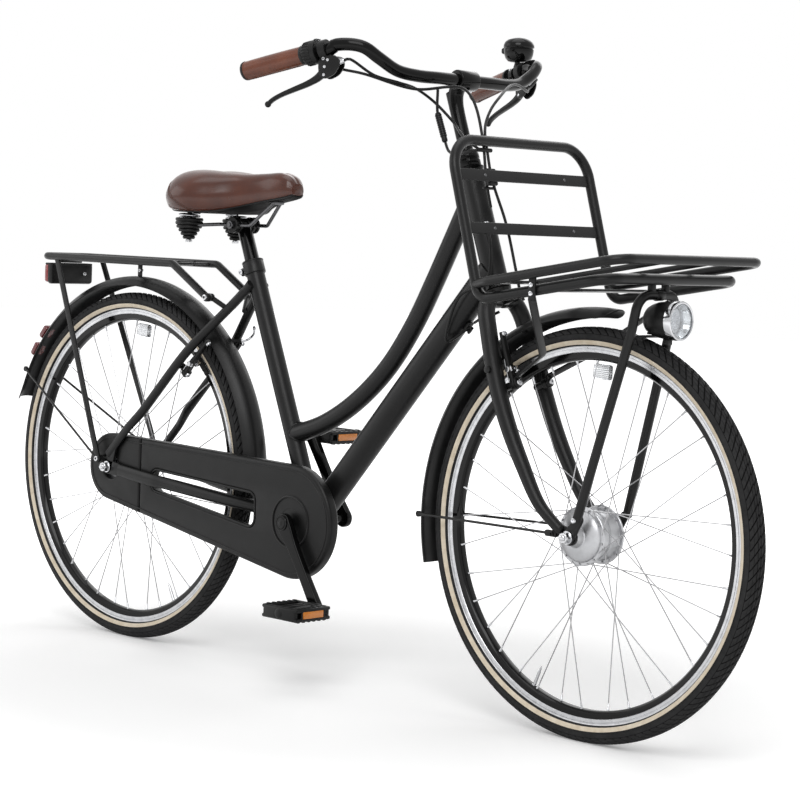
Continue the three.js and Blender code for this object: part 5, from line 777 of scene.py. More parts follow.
# Tread rows: place across, width and the share of a pitch by which a row is turned.
TREAD_ROWS = ((0.0, 5.4, 0.0), (6.4, 4.6, 0.5), (12.2, 4.4, 0.0), (16.6, 3.2, 0.5))
TREAD_COUNT = 132
TREAD_DEPTH = 1.9
TREAD_LONG, TREAD_SLANT, TREAD_SHIFT = 0.37, 0.22, 0.25
SPOKES_PER_SIDE = 18
SPOKE_RADIUS = 1.0
SPOKE_TURN = math.radians(60)
SPOKE_LACING = 1.3
SPOKE_HOLE_INSET = 3.5
FLANGE_HALF = 1.4
NIPPLE_RADIUS = 2.1
NIPPLE_LENGTH = 13
VALVE_PROFILE = (
    (0, 4), (3, 4), (3.2, 3), (30, 3), (30.2, 2.2), (36, 2.2), (36.5, 1.2), (40, 1.0), (40.5, 0))
REFLECTOR_RADIUS = 275
REFLECTOR_SIZE, REFLECTOR_RIB, REFLECTOR_RIB_PITCH = (26, 10, 38), (1.2, 12, 32), 3
FRONT_HUB_SIDE = (
    (2, 42), (10, 41.4), (20, 42.5), (22.4, 44), (23, 49), (24, 50), (26, 50), (27, 49), (27.5, 44),
    (29.5, 43.5), (32, 41.5), (35, 37), (37.5, 31), (39, 25), (39.6, 20), (41, 18), (46, 16.5), (51, 14),
    (51.2, 6))
REAR_HUB_SIDE = (
    (26, 33), (27.5, 43), (28.5, 44), (31.5, 44), (32.5, 43), (33, 34), (36, 33), (38, 26), (40, 22),
    (46, 20), (47, 15), (60, 14), (64, 12), (64.2, 6))
HUB_BORE = 5
HUB_BAND = ((-1.2, 41), (-1, 42.8), (1, 42.8), (1.2, 41))
HUB_BAND_PLACE = 1.6
FLANGE_HOLE_RADIUS, FLANGE_FACE = 46.3, 27.0
AXLE_RADIUS = 4.8
AXLE_END = 17
WASHER_PROFILE = ((0, 11), (0.4, 11.4), (2.0, 11.4), (2.5, 10.8), (2.5, 4))
CAP_PROFILE = ((0, 8.6), (0.6, 9), (1.6, 8.2), (1.8, 4))
THREAD_START, THREAD_PITCH, THREAD_COUNT = 12.6, 0.9, 4
REAR_SEAT = 69.5
FRONT_SEAT = 61.8


def tyre_skin(y):
    """The radius of the tyre's casing above its widest line, at a distance across."""
    share = min(abs(y) / TYRE_HALF, 1)
    return TYRE_MIDDLE + (TYRE_CROWN - TYRE_MIDDLE) * (1 - share ** 2.3) ** 0.5


def side_skin(radius):
    """How far across the casing's lower wall lies at a radius."""
    share = (TYRE_MIDDLE - radius) / (TYRE_MIDDLE - RIM_RADIUS + 0.5)
    return RIM_HALF - 0.8 + (TYRE_HALF - RIM_HALF + 0.8) * (1 - max(share, 0) ** 2.2) ** 0.5


def other_half(side):
    """The same pairs on the other side, in the order that goes on round the profile."""
    return [(-y, r) for y, r in reversed(side)]


def mirrored(side):
    """A profile's other half in front of its given one."""
    return other_half(side) + list(side)


def on_sides(axle, profile):
    """A ring on each side of a wheel."""
    return merge(*(wheel_ring(axle, [(side * y, r) for y, r in profile]) for side in (1, -1)))


def tread_block(axle, place, width, side, middle):
    rings = []
    for lift, grow in ((-0.8, 1.0), (TREAD_DEPTH * 0.75, 1.0), (TREAD_DEPTH, 0.82)):
        ring = []
        for along, wide in ((-1, -1), (1, -1), (1, 1), (-1, 1)):
            y = side * (place + wide * width / 2 * grow)
            turn = (middle + along * TREAD_LONG * grow + TREAD_SLANT * side * wide) * TAU / TREAD_COUNT
            ring.append(axle + polar(turn, min(tyre_skin(y) + lift, TYRE_RADIUS), y))
        rings.append(ring)
    return loft(rings)


def add_tyre(end, axle, body):
    half = [(side_skin(r), r) for r in np.linspace(RIM_RADIUS - 0.3, TYRE_MIDDLE, 10)]
    half += [(y, tyre_skin(y)) for y in TYRE_HALF * np.sin(np.linspace(math.pi / 2, 0, 12))[1:]]
    inside = [(-8, RIM_RADIUS), (3 - TYRE_HALF, TYRE_MIDDLE), (-10, TYRE_CROWN - CARCASS)]
    profile = half + other_half(half[:-1]) + inside + other_half(inside)
    piece(f"{end}_tyre_casing", wheel_ring(axle, profile), body, TYRE, f"{end}_tyre", sharp=50)
    # Painted shade: a very dark matt skin over the crown, seen between the tread blocks as the shade in the
    # grooves.
    groove_shade_ring = [(y, tyre_skin(y) + 0.15) for y in np.linspace(-18.6, 18.6, 21)]
    groove_shade_ring += [(y, tyre_skin(y) - 1.5) for y in (17, 0, -17)]
    piece(f"{end}_tyre_groove_shade", wheel_ring(axle, groove_shade_ring), body, SHADE_AND_BLACK, sharp=50)
    blocks = [tread_block(axle, place, width, side, k + phase + (TREAD_SHIFT if side < 0 else 0))
              for place, width, phase in TREAD_ROWS for side in ((1, -1) if place else (1,))
              for k in range(TREAD_COUNT)]
    piece(f"{end}_tyre_tread", merge(*blocks), body, TYRE)
    wall = [(side_skin(r) + 0.35, r) for r in np.linspace(STRIPE_LOW, STRIPE_HIGH, 5)]
    wall += [(side_skin(r) - 0.5, r) for r in (STRIPE_HIGH + 0.3, STRIPE_LOW - 0.3)]
    piece(f"{end}_tyre_stripe", on_sides(axle, wall), body, STRIPE)
    beads = [wheel_ring(axle, [(side * (side_skin(radius) + out), radius + up)
                               for out, up in ((-0.3, -0.7), (0.5, 0), (-0.3, 0.7))])
             for side in (1, -1) for radius in BEAD_RADII]
    piece(f"{end}_tyre_beads", merge(*beads), body, TYRE)


def add_rim(end, axle, body):
    well = [(RIM_HALF - 0.5, TRACK_FOOT + 1), (RIM_HALF - 0.9, TRACK_FOOT - 1), (RIM_BED + 3, RIM_FOOT + 4),
            (RIM_BED - 0.5, RIM_FOOT + 0.8), (RIM_BED - 2.5, RIM_FOOT)]
    floor = [(2.5 - RIM_HALF, RIM_RADIUS), (2 - RIM_BED, RIM_FOOT + 3)]
    profile = well + other_half(well) + floor + other_half(floor)
    piece(f"{end}_rim_well", wheel_ring(axle, profile), body, SHINY, f"{end}_rim")
    face = [(RIM_HALF + out, radius) for out, radius in (
        (-0.6, TRACK_FOOT), (0, TRACK_FOOT + 0.6), (0, TRACK_GROOVE - 1), (-0.9, TRACK_GROOVE - 0.5),
        (-0.9, TRACK_GROOVE + 0.5), (0, TRACK_GROOVE + 1), (0, RIM_RADIUS - 1.6), (0.5, RIM_RADIUS - 0.9),
        (0.5, RIM_RADIUS - 0.1), (-0.2, RIM_RADIUS + 0.3), (-2, RIM_RADIUS), (-2, TRACK_FOOT))]
    look = (brake_track(f"{end}_track_lines", axle), "silver_alloy")
    piece(f"{end}_brake_track", on_sides(axle, face), body, look, sharp=25)


def add_spokes(end, axle, body, flange_radius, flange_offset):
    wires, nipples, heads = [], [], []
    nipple = [(-1, NIPPLE_RADIUS * 1.2), (2.5, NIPPLE_RADIUS * 1.2), (3.5, NIPPLE_RADIUS * 0.9),
              (NIPPLE_LENGTH - 1, NIPPLE_RADIUS * 0.8), (NIPPLE_LENGTH, SPOKE_RADIUS)]
    for side, first in ((1, 0), (-1, math.pi / SPOKES_PER_SIDE)):
        for k in range(SPOKES_PER_SIDE):
            start = first + TAU * k / SPOKES_PER_SIDE
            way = 1 if k % 2 == 0 else -1
            y = side * (flange_offset + way * (SPOKE_LACING + FLANGE_HALF))
            hub_end = axle + polar(start, flange_radius - SPOKE_HOLE_INSET, y)
            rim_end = axle + polar(start + way * SPOKE_TURN, RIM_FOOT + 1, side * 3)
            line = unit(rim_end - hub_end)
            wires.append(rod(hub_end, rim_end - line * NIPPLE_LENGTH * 0.8, SPOKE_RADIUS, 8))
            nipples.append(lathe(rim_end, -line, nipple, 10))
            far = at(hub_end, side * (flange_offset - way * 3.6))
            heads.append(dome(far, LEFT * -side * way, 1.9, 1.3, 3, 10))
            heads.append(rod(far, hub_end, SPOKE_RADIUS, 8))
    nodes = (f"{end}_spokes_left", f"{end}_spokes_right")
    piece(f"{end}_spoke_wires", merge(*wires), body, SPOKE, nodes)
    piece(f"{end}_spoke_nipples", merge(*nipples), body, CHROME)
    piece(f"{end}_spoke_heads", merge(*heads), body, SPOKE)


def add_valve(end, axle, body, turn):
    foot = axle + polar(turn, RIM_FOOT + 2)
    piece(f"{end}_valve", lathe(foot, -polar(turn), VALVE_PROFILE, 16), body, CHROME)


def add_spoke_reflector(name, axle, body, turn):
    axes = (polar(turn), LEFT, polar(turn + math.pi / 2))
    piece(name, brick(axle + axes[0] * REFLECTOR_RADIUS, REFLECTOR_SIZE, 4, axes), body, GLASS)
    ribs = [brick(axle + axes[0] * (REFLECTOR_RADIUS + k * REFLECTOR_RIB_PITCH), REFLECTOR_RIB, 0.5, axes)
            for k in range(-3, 4)]
    piece(f"{name}_ribs", merge(*ribs), body, CHROME)


def hub_drum(axle, side):
    end = side[-1][0]
    return lathe(axle, LEFT, [*mirrored(side), (end, HUB_BORE), (-end, HUB_BORE)], 64, closed=True)


def add_wheels():
    for end, axle, radius, offset in (("rear", REAR_AXLE, 44, 30), ("front", FRONT_AXLE, 50, 25)):
        body = f"{end}_wheel"
        add_tyre(end, axle, body)
        add_rim(end, axle, body)
        add_spokes(end, axle, body, radius, offset)
    add_valve("rear", REAR_AXLE, "rear_wheel", math.radians(-62))
    add_valve("front", FRONT_AXLE, "front_wheel", math.radians(-112))
    add_spoke_reflector("front_spoke_reflector", FRONT_AXLE, "front_wheel", math.radians(88))
    add_spoke_reflector("rear_spoke_reflector", REAR_AXLE, "rear_wheel", math.radians(86))


def add_hubs():
    """The front hub is a waisted drum between two flanges, with a domed cover on each side."""
    piece("front_hub_drum", hub_drum(FRONT_AXLE, FRONT_HUB_SIDE), "front_wheel", ALLOY, "front_hub", sharp=28)
    bands = [wheel_ring(FRONT_AXLE, [(place + y, r) for y, r in HUB_BAND], 64)
             for place in (-HUB_BAND_PLACE, HUB_BAND_PLACE)]
    piece("front_hub_bands", merge(*bands), "front_wheel", ALLOY)
    count = 2 * SPOKES_PER_SIDE
    # Painted shade: flat dark discs on the flange faces stand for the shade inside the spoke holes.
    holes = [dome(FRONT_AXLE + polar(TAU * (k + 0.5) / count, FLANGE_HOLE_RADIUS, side * FLANGE_FACE),
                  LEFT * side, 1.5, 0.15, 2, 10) for side in (1, -1) for k in range(count)]
    piece("front_hub_hole_shade", merge(*holes), "front_wheel", SHADE_AND_BLACK)
    piece("rear_hub_drum", hub_drum(REAR_AXLE, REAR_HUB_SIDE), "rear_wheel", ALLOY, "rear_hub", sharp=28)


def add_axle(end, axle, body, seat):
    shapes = [cross_rod(axle, -seat - AXLE_END, seat + AXLE_END, AXLE_RADIUS, 16, 0.8)]
    for side in (1, -1):
        out = LEFT * side
        washer = at(axle, side * (seat + 0.3))
        shapes.append(lathe(washer, out, WASHER_PROFILE, 36))
        shapes.append(nut(washer + out * WASHER_PROFILE[-1][0], out, 10.2, 8.5))
        shapes.append(lathe(washer + out * 11, out, CAP_PROFILE, 32))
        for k in range(THREAD_COUNT):
            start = seat + THREAD_START + k * THREAD_PITCH
            ridge = ((start, 4.7), (start + THREAD_PITCH / 2, 5.1), (start + THREAD_PITCH, 4.7))
            shapes.append(wheel_ring(axle, [(side * y, r) for y, r in ridge], 16))
    piece(f"{end}_axle_nuts", merge(*shapes), body, CHROME, f"{end}_axle")


add_wheels()
add_hubs()
add_axle("rear", REAR_AXLE, "frame", REAR_SEAT)
add_axle("front", FRONT_AXLE, "fork", FRONT_SEAT)


# Frame tubes.
HEAD_FOOT_UP = 438
HEAD_LENGTH = 200
HEAD_RADIUS = 21
CUP_RADIUS = 24
CUP_HEIGHT = 11
CUP_PROFILE = (
    (-4, 21), (-3, CUP_RADIUS), (1.5, CUP_RADIUS), (2, CUP_RADIUS - 1.2), (4, CUP_RADIUS - 1.4),
    (8, CUP_RADIUS - 0.6), (CUP_HEIGHT - 1, CUP_RADIUS - 0.4), (CUP_HEIGHT, CUP_RADIUS - 2), (CUP_HEIGHT, 15))
HEAD_LOW = on_fork(0, 0, HEAD_FOOT_UP)
HEAD_TOP = on_fork(0, 0, HEAD_FOOT_UP + HEAD_LENGTH)
SEAT_TOP = on_seat(512)
SEAT_RADIUS = 17.5
SHELL_RADIUS = 21
SHELL_HALF = 35
SHELL_BORE = 12
DOWN_RADIUS = 25
DOWN_END = on_fork(0, 0, HEAD_FOOT_UP + 27)
TOP_RADIUS = 17.5
TOP_HEAD = on_fork(0, 0, HEAD_FOOT_UP + 172)
TOP_SEAT = on_seat(168)
TOP_LINE = TOP_SEAT - TOP_HEAD
TOP_SQUARE = unit(vec(-TOP_LINE[2], 0, TOP_LINE[0]))
TOP_SAG = 79
# The top tube's bow: shares of its line and of its sag.
TOP_BOW_SHARES = ((0.15, 0.33), (0.28, 0.61), (0.42, 0.87), (0.58, 1), (0.74, 0.865), (0.88, 0.52))
GUSSET_HALF = 2.2
STAY_FLAT = 5.5
CHAIN_STAY_RADIUS = 12
CHAIN_STAY_REAR = 69
CHAIN_STAY_WHEEL = 40
CHAIN_STAY_SHELL = 20
SEAT_STAY_RADIUS = 9
SEAT_STAY_OFFSET = 58
SEAT_STAY_TOP = 17
DROPOUT_RADIUS = 14
DROPOUT_OFFSET = 67
DROPOUT_HALF = 2.5
DROPOUT_ARM = 7.5
AXLE_HOLE = 5.3
STAY_FOOT = REAR_AXLE + UP * 1.75 * DROPOUT_RADIUS
STAY_JOIN = on_seat(470)
STAY_UP = unit(STAY_JOIN - STAY_FOOT)
STAY_AHEAD = vec(STAY_UP[2], 0, -STAY_UP[0])
STRUT_FOOT = vec(-22, 0, 364)
RACK_EAR = vec(272, 47, 702)


def add_head_tube():
    step = HEAD_RADIUS + 0.4
    skin = [(-4, 15), (-4, HEAD_RADIUS), (0, step), (HEAD_LENGTH, step), (HEAD_LENGTH + 4, HEAD_RADIUS),
            (HEAD_LENGTH + 4, 15)]
    piece("head_tube_skin", lathe(HEAD_LOW, HEAD_UP, skin, 56), "frame", PAINT, "head_tube")
    cups = [lathe(base, HEAD_UP * way, CUP_PROFILE, 56) for base, way in ((HEAD_LOW, -1), (HEAD_TOP, 1))]
    piece("headset_cups", merge(*cups), "frame", GLOSS)


def add_seat_tube():
    tube_weld = weld(at(BRACKET, -60), at(BRACKET, 60), SHELL_RADIUS, on_seat(120), BRACKET, SEAT_RADIUS)
    skin = merge(rod(BRACKET, SEAT_TOP, SEAT_RADIUS, 44), tube_weld)
    piece("seat_tube_skin", skin, "frame", PAINT, "seat_tube")
    side = ((SHELL_HALF - 1, SHELL_RADIUS), (SHELL_HALF, SHELL_RADIUS - 1), (SHELL_HALF, SHELL_BORE))
    cup = cross_rod(BRACKET, SHELL_HALF, SHELL_HALF + 3.5, 19, 32, 0.8)
    piece("bracket_shell_skin", merge(lathe(BRACKET, LEFT, mirrored(side), 44), cup), "frame", PAINT,
          "bottom_bracket_shell")


def add_down_tube():
    middle = mid(BRACKET, DOWN_END, 0.5)
    head_weld = weld(HEAD_LOW, HEAD_TOP, HEAD_RADIUS, middle, DOWN_END, DOWN_RADIUS * 0.8)
    skin = merge(rod(BRACKET, DOWN_END, DOWN_RADIUS, 56), head_weld)
    piece("down_tube_skin", skin, "frame", PAINT, "down_tube")


def add_top_tube():
    """The bowed top tube with its two welds, and the gusset in its corner with the seat tube."""
    bow = [mid(TOP_HEAD, TOP_SEAT, share) + TOP_SQUARE * TOP_SAG * depth for share, depth in TOP_BOW_SHARES]
    top = catmull([TOP_HEAD, *bow, TOP_SEAT], 44)
    foot = on_seat(198)
    corners = [foot + vec(10, 0, -2), foot + vec(47, 0, -1), top[-7], top[-2] + UP * 4]
    gusset = slab([flat(corners)], -GUSSET_HALF, GUSSET_HALF, 0.6)
    head_weld = weld(HEAD_LOW, HEAD_TOP, HEAD_RADIUS, top[0] + (top[2] - top[0]) * 3, top[0], TOP_RADIUS)
    near_seat = top[-1] + (top[-3] - top[-1]) * 3
    seat_weld = weld(BRACKET, SEAT_TOP, SEAT_RADIUS, near_seat, top[-1], TOP_RADIUS * 0.97)
    skin = merge(tube(top, TOP_RADIUS, 44), gusset, head_weld, seat_weld)
    piece("top_tube_skin", skin, "frame", PAINT, "top_tube")


def on_both_sides(name, shape, body, look):
    """A piece on the left and its mirror image on the right, each for the node of its side."""
    for side, turned in SIDES:
        piece(f"{name}_{side}_skin", turned(shape), body, look, f"{name}_{side}")


def dropout_plate(far, radius):
    y0, y1 = DROPOUT_OFFSET - DROPOUT_HALF, DROPOUT_OFFSET + DROPOUT_HALF
    return slab([belt(REAR_AXLE, DROPOUT_RADIUS, far, radius), hole(REAR_AXLE, AXLE_HOLE)], y0, y1, 0.8)


def add_chain_stays():
    """Stays flattened at their rear ends, stepped in beside the wheel, with the dropouts and their ears."""
    step_in = (2 * CHAIN_STAY_REAR + CHAIN_STAY_WHEEL) / 3
    places = ((0.07, CHAIN_STAY_REAR), (0.245, CHAIN_STAY_REAR), (0.34, step_in), (0.64, CHAIN_STAY_WHEEL),
              (0.83, CHAIN_STAY_SHELL), (0.97, CHAIN_STAY_SHELL))
    widths = (STAY_FLAT, STAY_FLAT, 0.8 * CHAIN_STAY_RADIUS, *[CHAIN_STAY_RADIUS] * 3)
    table = through([[*at(mid(REAR_AXLE, BRACKET, share), y), wide, CHAIN_STAY_RADIUS]
                     for (share, y), wide in zip(places, widths)], 41)
    reach = REAR_AXLE + unit(BRACKET - REAR_AXLE) * 3 * DROPOUT_RADIUS
    plates = [dropout_plate(reach, CHAIN_STAY_RADIUS), dropout_plate(STRUT_FOOT, DROPOUT_ARM),
              dropout_plate(STAY_FOOT + STAY_UP * 26, DROPOUT_ARM)]
    stay = tapered(table[:, :3], [tuple(s) for s in table[:, 3:]], 32, across=LEFT)
    on_both_sides("chain_stay", merge(stay, *plates), "frame", PAINT)


def add_seat_stays():
    """Stays from the dropouts to the seat tube, with the carrier's ear and the brake's boss."""
    stations = ((0, DROPOUT_OFFSET, STAY_FLAT), (0.16, DROPOUT_OFFSET, STAY_FLAT),
                (0.26, SEAT_STAY_OFFSET, SEAT_STAY_RADIUS), (0.62, SEAT_STAY_OFFSET, SEAT_STAY_RADIUS),
                (0.95, SEAT_STAY_TOP, SEAT_STAY_RADIUS), (1, SEAT_STAY_TOP, SEAT_STAY_RADIUS))
    rows = np.array([[*at(mid(STAY_FOOT, STAY_JOIN, share), y), wide] for share, y, wide in stations])
    shares = np.linspace(0, 1, 10, endpoint=False)
    dense = np.array([mid(a, b, t) for a, b in zip(rows, rows[1:]) for t in shares] + [rows[-1]])
    for _ in range(6):
        dense[1:-1, 1] = (dense[:-2, 1] + 2 * dense[1:-1, 1] + dense[2:, 1]) / 4
    stay = tapered(dense[:, :3], [(wide, SEAT_STAY_RADIUS) for wide in dense[:, 3]], 28, across=LEFT)
    ear_foot = at(STAY_FOOT + STAY_UP * np.dot(RACK_EAR - STAY_FOOT, STAY_UP), SEAT_STAY_TOP)
    rack_ear = merge(rod(ear_foot, RACK_EAR, 5, 20), cross_rod(RACK_EAR, 43.5, 50, 7.5, 28, 0.8))
    boss = brake_boss(REAR_BRAKE, SEAT_STAY_OFFSET)
    on_both_sides("seat_stay", merge(stay, rack_ear, boss), "frame", PAINT)


# Rim brakes: places beside a stay or a blade, arms, pads and the noodle that joins the arms.
BOSS_RADIUS = 285
BOSS_OFFSET = 41
BOSS_THICK, PIN_THICK, BOSS_ROOT = 6.5, 5, 6
ARM_STANDOFF = 9
ARM_LENGTH = 92
ARM_SPLAY = 3
ARM_HUB_HALF = 5
ARM_HUB_RADIUS = 9.7
# The arm's width at shares of its length, and its thickness from foot to head.
ARM_WIDTHS = ((0, 0.2, 0.5, 1), (15, 13, 12, 9.5))
ARM_THICK = (9.5, 7)
PAD_RADIUS = 311
PAD_INNER = RIM_HALF + 2.5
PAD_HALF = 27
PAD_MIDDLE, SHOE_SHIFT = 4.6, 3.4
WIRE_RADIUS = 0.9
NOODLE_RADIUS = 2.4
BOOT_RIBS, BOOT_PITCH = 9, 3.1


class BrakePlace:
    """Where a brake's pivot and pad lie beside a tube, at their distances from the axle."""
    def __init__(self, axle, point, up, ahead, tube_radius):
        offset = point - axle
        self.axle, self.up, self.ahead = axle, up, ahead
        self.standoff = tube_radius + ARM_STANDOFF
        across = np.dot(offset, ahead) + self.standoff

        def lift(radius):
            return up * (math.sqrt(radius ** 2 - across ** 2) - np.dot(offset, up))
        self.in_tube = point + lift(BOSS_RADIUS)
        self.pivot = self.in_tube + ahead * self.standoff
        self.pad = point + lift(PAD_RADIUS) + ahead * self.standoff


REAR_BRAKE = BrakePlace(REAR_AXLE, STAY_FOOT, STAY_UP, STAY_AHEAD, SEAT_STAY_RADIUS)
FRONT_BRAKE = BrakePlace(FRONT_AXLE, on_fork(0, 0, 395 * 0.6), HEAD_UP, HEAD_FORWARD, 15)


def brake_boss(place, tube_offset):
    root = at(place.in_tube, BOSS_OFFSET)
    return merge(
        rod(root, root + place.ahead * (place.standoff - 4), BOSS_THICK, 24, 0.6),
        rod(root, root + place.ahead * (place.standoff + 5), PIN_THICK, 24, 0.6),
        cross_rod(place.in_tube, BOSS_OFFSET - 1, tube_offset, BOSS_ROOT, 20))


def brake_arm(place, pivot, top):
    low, high = pivot + place.up * 24 + LEFT * 2, pivot + place.up * 48 + LEFT * 3
    path = catmull([pivot, low, high, top - place.up * 16, top], 20)
    sizes = list(zip(np.interp(np.linspace(0, 1, 21), *ARM_WIDTHS), np.linspace(*ARM_THICK, 21)))
    half, radius = ARM_HUB_HALF, ARM_HUB_RADIUS
    side = ((half - 1, radius), (half, radius - 0.7), (half, 6))
    spring_box = brick(pivot - place.up - LEFT * 3, (8, 8, 14), 2, (place.ahead, LEFT, place.up))
    return merge(sweep(path, rounded(1, 1, 0.28, 4), sizes, across=LEFT),
                 lathe(pivot, place.ahead, mirrored(side), 32), spring_box)


def brake_pad(place):
    """A rubber block that follows the rim, and the shoe that holds it."""
    tangent = unit(np.cross(place.pad - place.axle, LEFT))
    inward = -unit(place.pad - place.axle)
    middle = at(place.pad, PAD_INNER + PAD_MIDDLE)
    path = [middle + tangent * s + inward * s * s / (2 * PAD_RADIUS)
            for s in np.linspace(-PAD_HALF, PAD_HALF, 13)]
    return merge(sweep(path, rounded(8, 8.5, 1.8), across=LEFT),
                 sweep([p + LEFT * SHOE_SHIFT for p in path[2:-2]], rounded(4, 7, 1.4), across=LEFT))


def brake_metal(place, pivot, top):
    """The arm's bolts, the pad's post with its nut and washer, the wire clamp and the return spring."""
    def beside(up, out, back=4):
        return pivot + place.up * up + LEFT * out - place.ahead * back
    spring = catmull([beside(-6, 7), beside(10, 8.5), beside(42, 7.4), beside(52, 6, 3)], 16)
    return merge(
        bolt(pivot + place.ahead * (ARM_HUB_HALF + 0.2), place.ahead, 5.4, 4),
        nut(at(place.pad, BOSS_OFFSET + 6.5), LEFT, 5.5, 5),
        cross_rod(place.pad, BOSS_OFFSET + 4.5, BOSS_OFFSET + 6.8, 6.5, 28, 0.6),
        cross_rod(place.pad, PAD_INNER + 6, BOSS_OFFSET + 1, 3.4, 20),
        cross_rod(place.pad, BOSS_OFFSET - 12, BOSS_OFFSET - 6, 6.5, 28, 1),
        bolt(top + (place.ahead - place.up) * 4, place.ahead, 4.6, 4),
        cross_rod(top - place.up * 4, 38, 46, 3, 16),
        tube(spring, WIRE_RADIUS, 8))


def add_brake(end, place, bodies):
    pivot = at(place.pivot, BOSS_OFFSET)
    top = pivot + place.up * ARM_LENGTH + LEFT * ARM_SPLAY
    arm, pad, fittings = brake_arm(place, pivot, top), brake_pad(place), brake_metal(place, pivot, top)
    for (side, turned), body in zip(SIDES, bodies):
        piece(f"{end}_arm_{side}_skin", turned(arm), body, PLASTIC, f"{end}_brake_arm_{side}")
        piece(f"{end}_pad_{side}", turned(pad), body, TYRE)
        piece(f"{end}_arm_{side}_bolts", turned(fittings), body, CHROME)

    # The noodle leads the cable from above into the left arm, and the bare wire crosses to the right one.
    start = at(top, BOSS_OFFSET - 2) + place.ahead
    noodle = catmull([start + LEFT * out + place.up * up
                      for out, up in ((-2, 0), (10, 0.5), (19, 7), (21, 20), (12, 36))], 24)
    ferrule = rod(noodle[-2], noodle[-1] + (noodle[-1] - noodle[-2]) * 2, 3.4, 16, 0.6)
    piece(f"{end}_noodle", merge(tube(noodle, NOODLE_RADIUS, 14), ferrule), bodies[0], CHROME)
    piece(f"{end}_brake_wire", rod(start, at(top, 3) + place.ahead, WIRE_RADIUS, 8), bodies[0], SPOKE)
    ribs = [(3 + k * BOOT_PITCH + d, r) for k in range(BOOT_RIBS) for d, r in ((0, 3.8), (1.4, 2.7))]
    boot = lathe(start, -LEFT, [(0, 0.5), (1, 3.6), *ribs, (33, 1.2)], 20)
    piece(f"{end}_brake_boot", boot, bodies[0], TYRE)


add_head_tube()
add_seat_tube()
add_down_tube()
add_top_tube()
add_chain_stays()
add_seat_stays()
for end, place in (("front", FRONT_BRAKE), ("rear", REAR_BRAKE)):
    add_brake(end, place, (f"{end}_arm_left", f"{end}_arm_right"))


# Seat clamp, post, saddle and its frame.
POST_RADIUS = 14
POST_TOP = on_seat((846 - BRACKET[2]) / math.sin(SEAT_ANGLE))
POST_FOOT = POST_TOP - SEAT_UP * 210
POST_PROFILE = ((0, 13), (0.6, POST_RADIUS), (196, POST_RADIUS), (199, 12.6), (210, 12.4), (211, 11))
COLLAR_PROFILE = (
    (0, 18), (0, 19.8), (0.8, 20.5), (21, 20.5), (22, 20), (22.6, 20), (23.4, 20.8), (25.2, 20.8),
    (26, 20), (26, 14.2))
COLLAR_EAR = 26
SADDLE_REAR = 165
SADDLE_LENGTH = 292
SADDLE_HALF = 112
SADDLE_TOP = 946
SADDLE_THICKNESS = 82
SADDLE_LOW = SADDLE_TOP - SADDLE_THICKNESS
SADDLE_ROWS, SADDLE_STEPS = 61, 33
# Shares of the length, the half width, the top's height and the hem's height, from the back to the nose.
SADDLE_RINGS = through((
    (0, 0.42, 0.52, 0.36), (0.025, 0.66, 0.76, 0.16), (0.08, 0.87, 0.93, 0.04), (0.18, 1, 1, 0),
    (0.32, 0.97, 0.99, 0), (0.46, 0.74, 0.95, 0.04), (0.6, 0.47, 0.93, 0.16), (0.74, 0.32, 0.95, 0.28),
    (0.87, 0.26, 0.97, 0.36), (0.95, 0.21, 0.88, 0.42), (0.99, 0.13, 0.72, 0.48)), SADDLE_ROWS)
# Shares of the width and the height, from the crown round the hem to the middle below.
SADDLE_SECTION = through((
    (0, 0.97), (0.3, 1), (0.62, 0.93), (0.86, 0.74), (1, 0.44), (0.97, 0.18), (0.85, 0.03), (0.45, 0),
    (0, 0)), SADDLE_STEPS)
DIP_DEPTH, DIP_HALF, DIP_PLACE, DIP_LENGTH = 3.0, 0.16, 0.3, 0.25
# The side seam: rows along the saddle and steps round its section.
SEAM_COURSE = ((3, 8.5), (8, 10.2), (15, 14.4), (21, 19.6), (26, 24.4))
HEM_STEP = 24.5
STITCH_PITCH, STITCH_LENGTH, STITCH_RADIUS = 4.2, 2.6, 0.45
RAIL_RADIUS = 3.5
RAIL_OFFSET = 22
RAIL_HALF = 44
SPRING_PLACE = vec(216, 60, 812)
SPRING_COVER, SPRING_RIBS, RIB_DEPTH = 41, 6, 2.4
COIL_RADIUS, COIL_WIRE, COIL_TURNS = 19.5, 2, 1.9
COIL_FOOT, COIL_RISE = 39, 11
SADDLE_CLAMP_HALF = 27.5
SADDLE_CLAMP_RING = ((0, 13), (0, 15), (0.6, 15.6), (4.4, 15.6), (5, 15), (5, 13))


def add_seat_clamp():
    low, high = SEAT_TOP - SEAT_UP * 22, SEAT_TOP + SEAT_UP * 4
    ear = mid(low, high, 0.5) - SEAT_FORWARD * COLLAR_EAR
    axes = (SEAT_FORWARD, LEFT, SEAT_UP)
    ears = [brick(ear + SEAT_FORWARD * 3 + LEFT * y, (17, 6.5, 15), 2.4, axes) for y in (5, -5)]
    piece("seat_collar", merge(lathe(low, SEAT_UP, COLLAR_PROFILE, 48), *ears), "frame", PAINT, "seat_clamp")
    head, back = bolt(ear - LEFT * 8.4, -LEFT, 5.6, 5), nut(ear + LEFT * 8.4, LEFT, 6, 5)
    piece("seat_collar_bolt", merge(head, back, cross_rod(ear, -9, 9, 3, 16)), "frame", CHROME)
    piece("seat_post_skin", lathe(POST_FOOT, SEAT_UP, POST_PROFILE, 44), "seat", GLOSS, "seat_post")


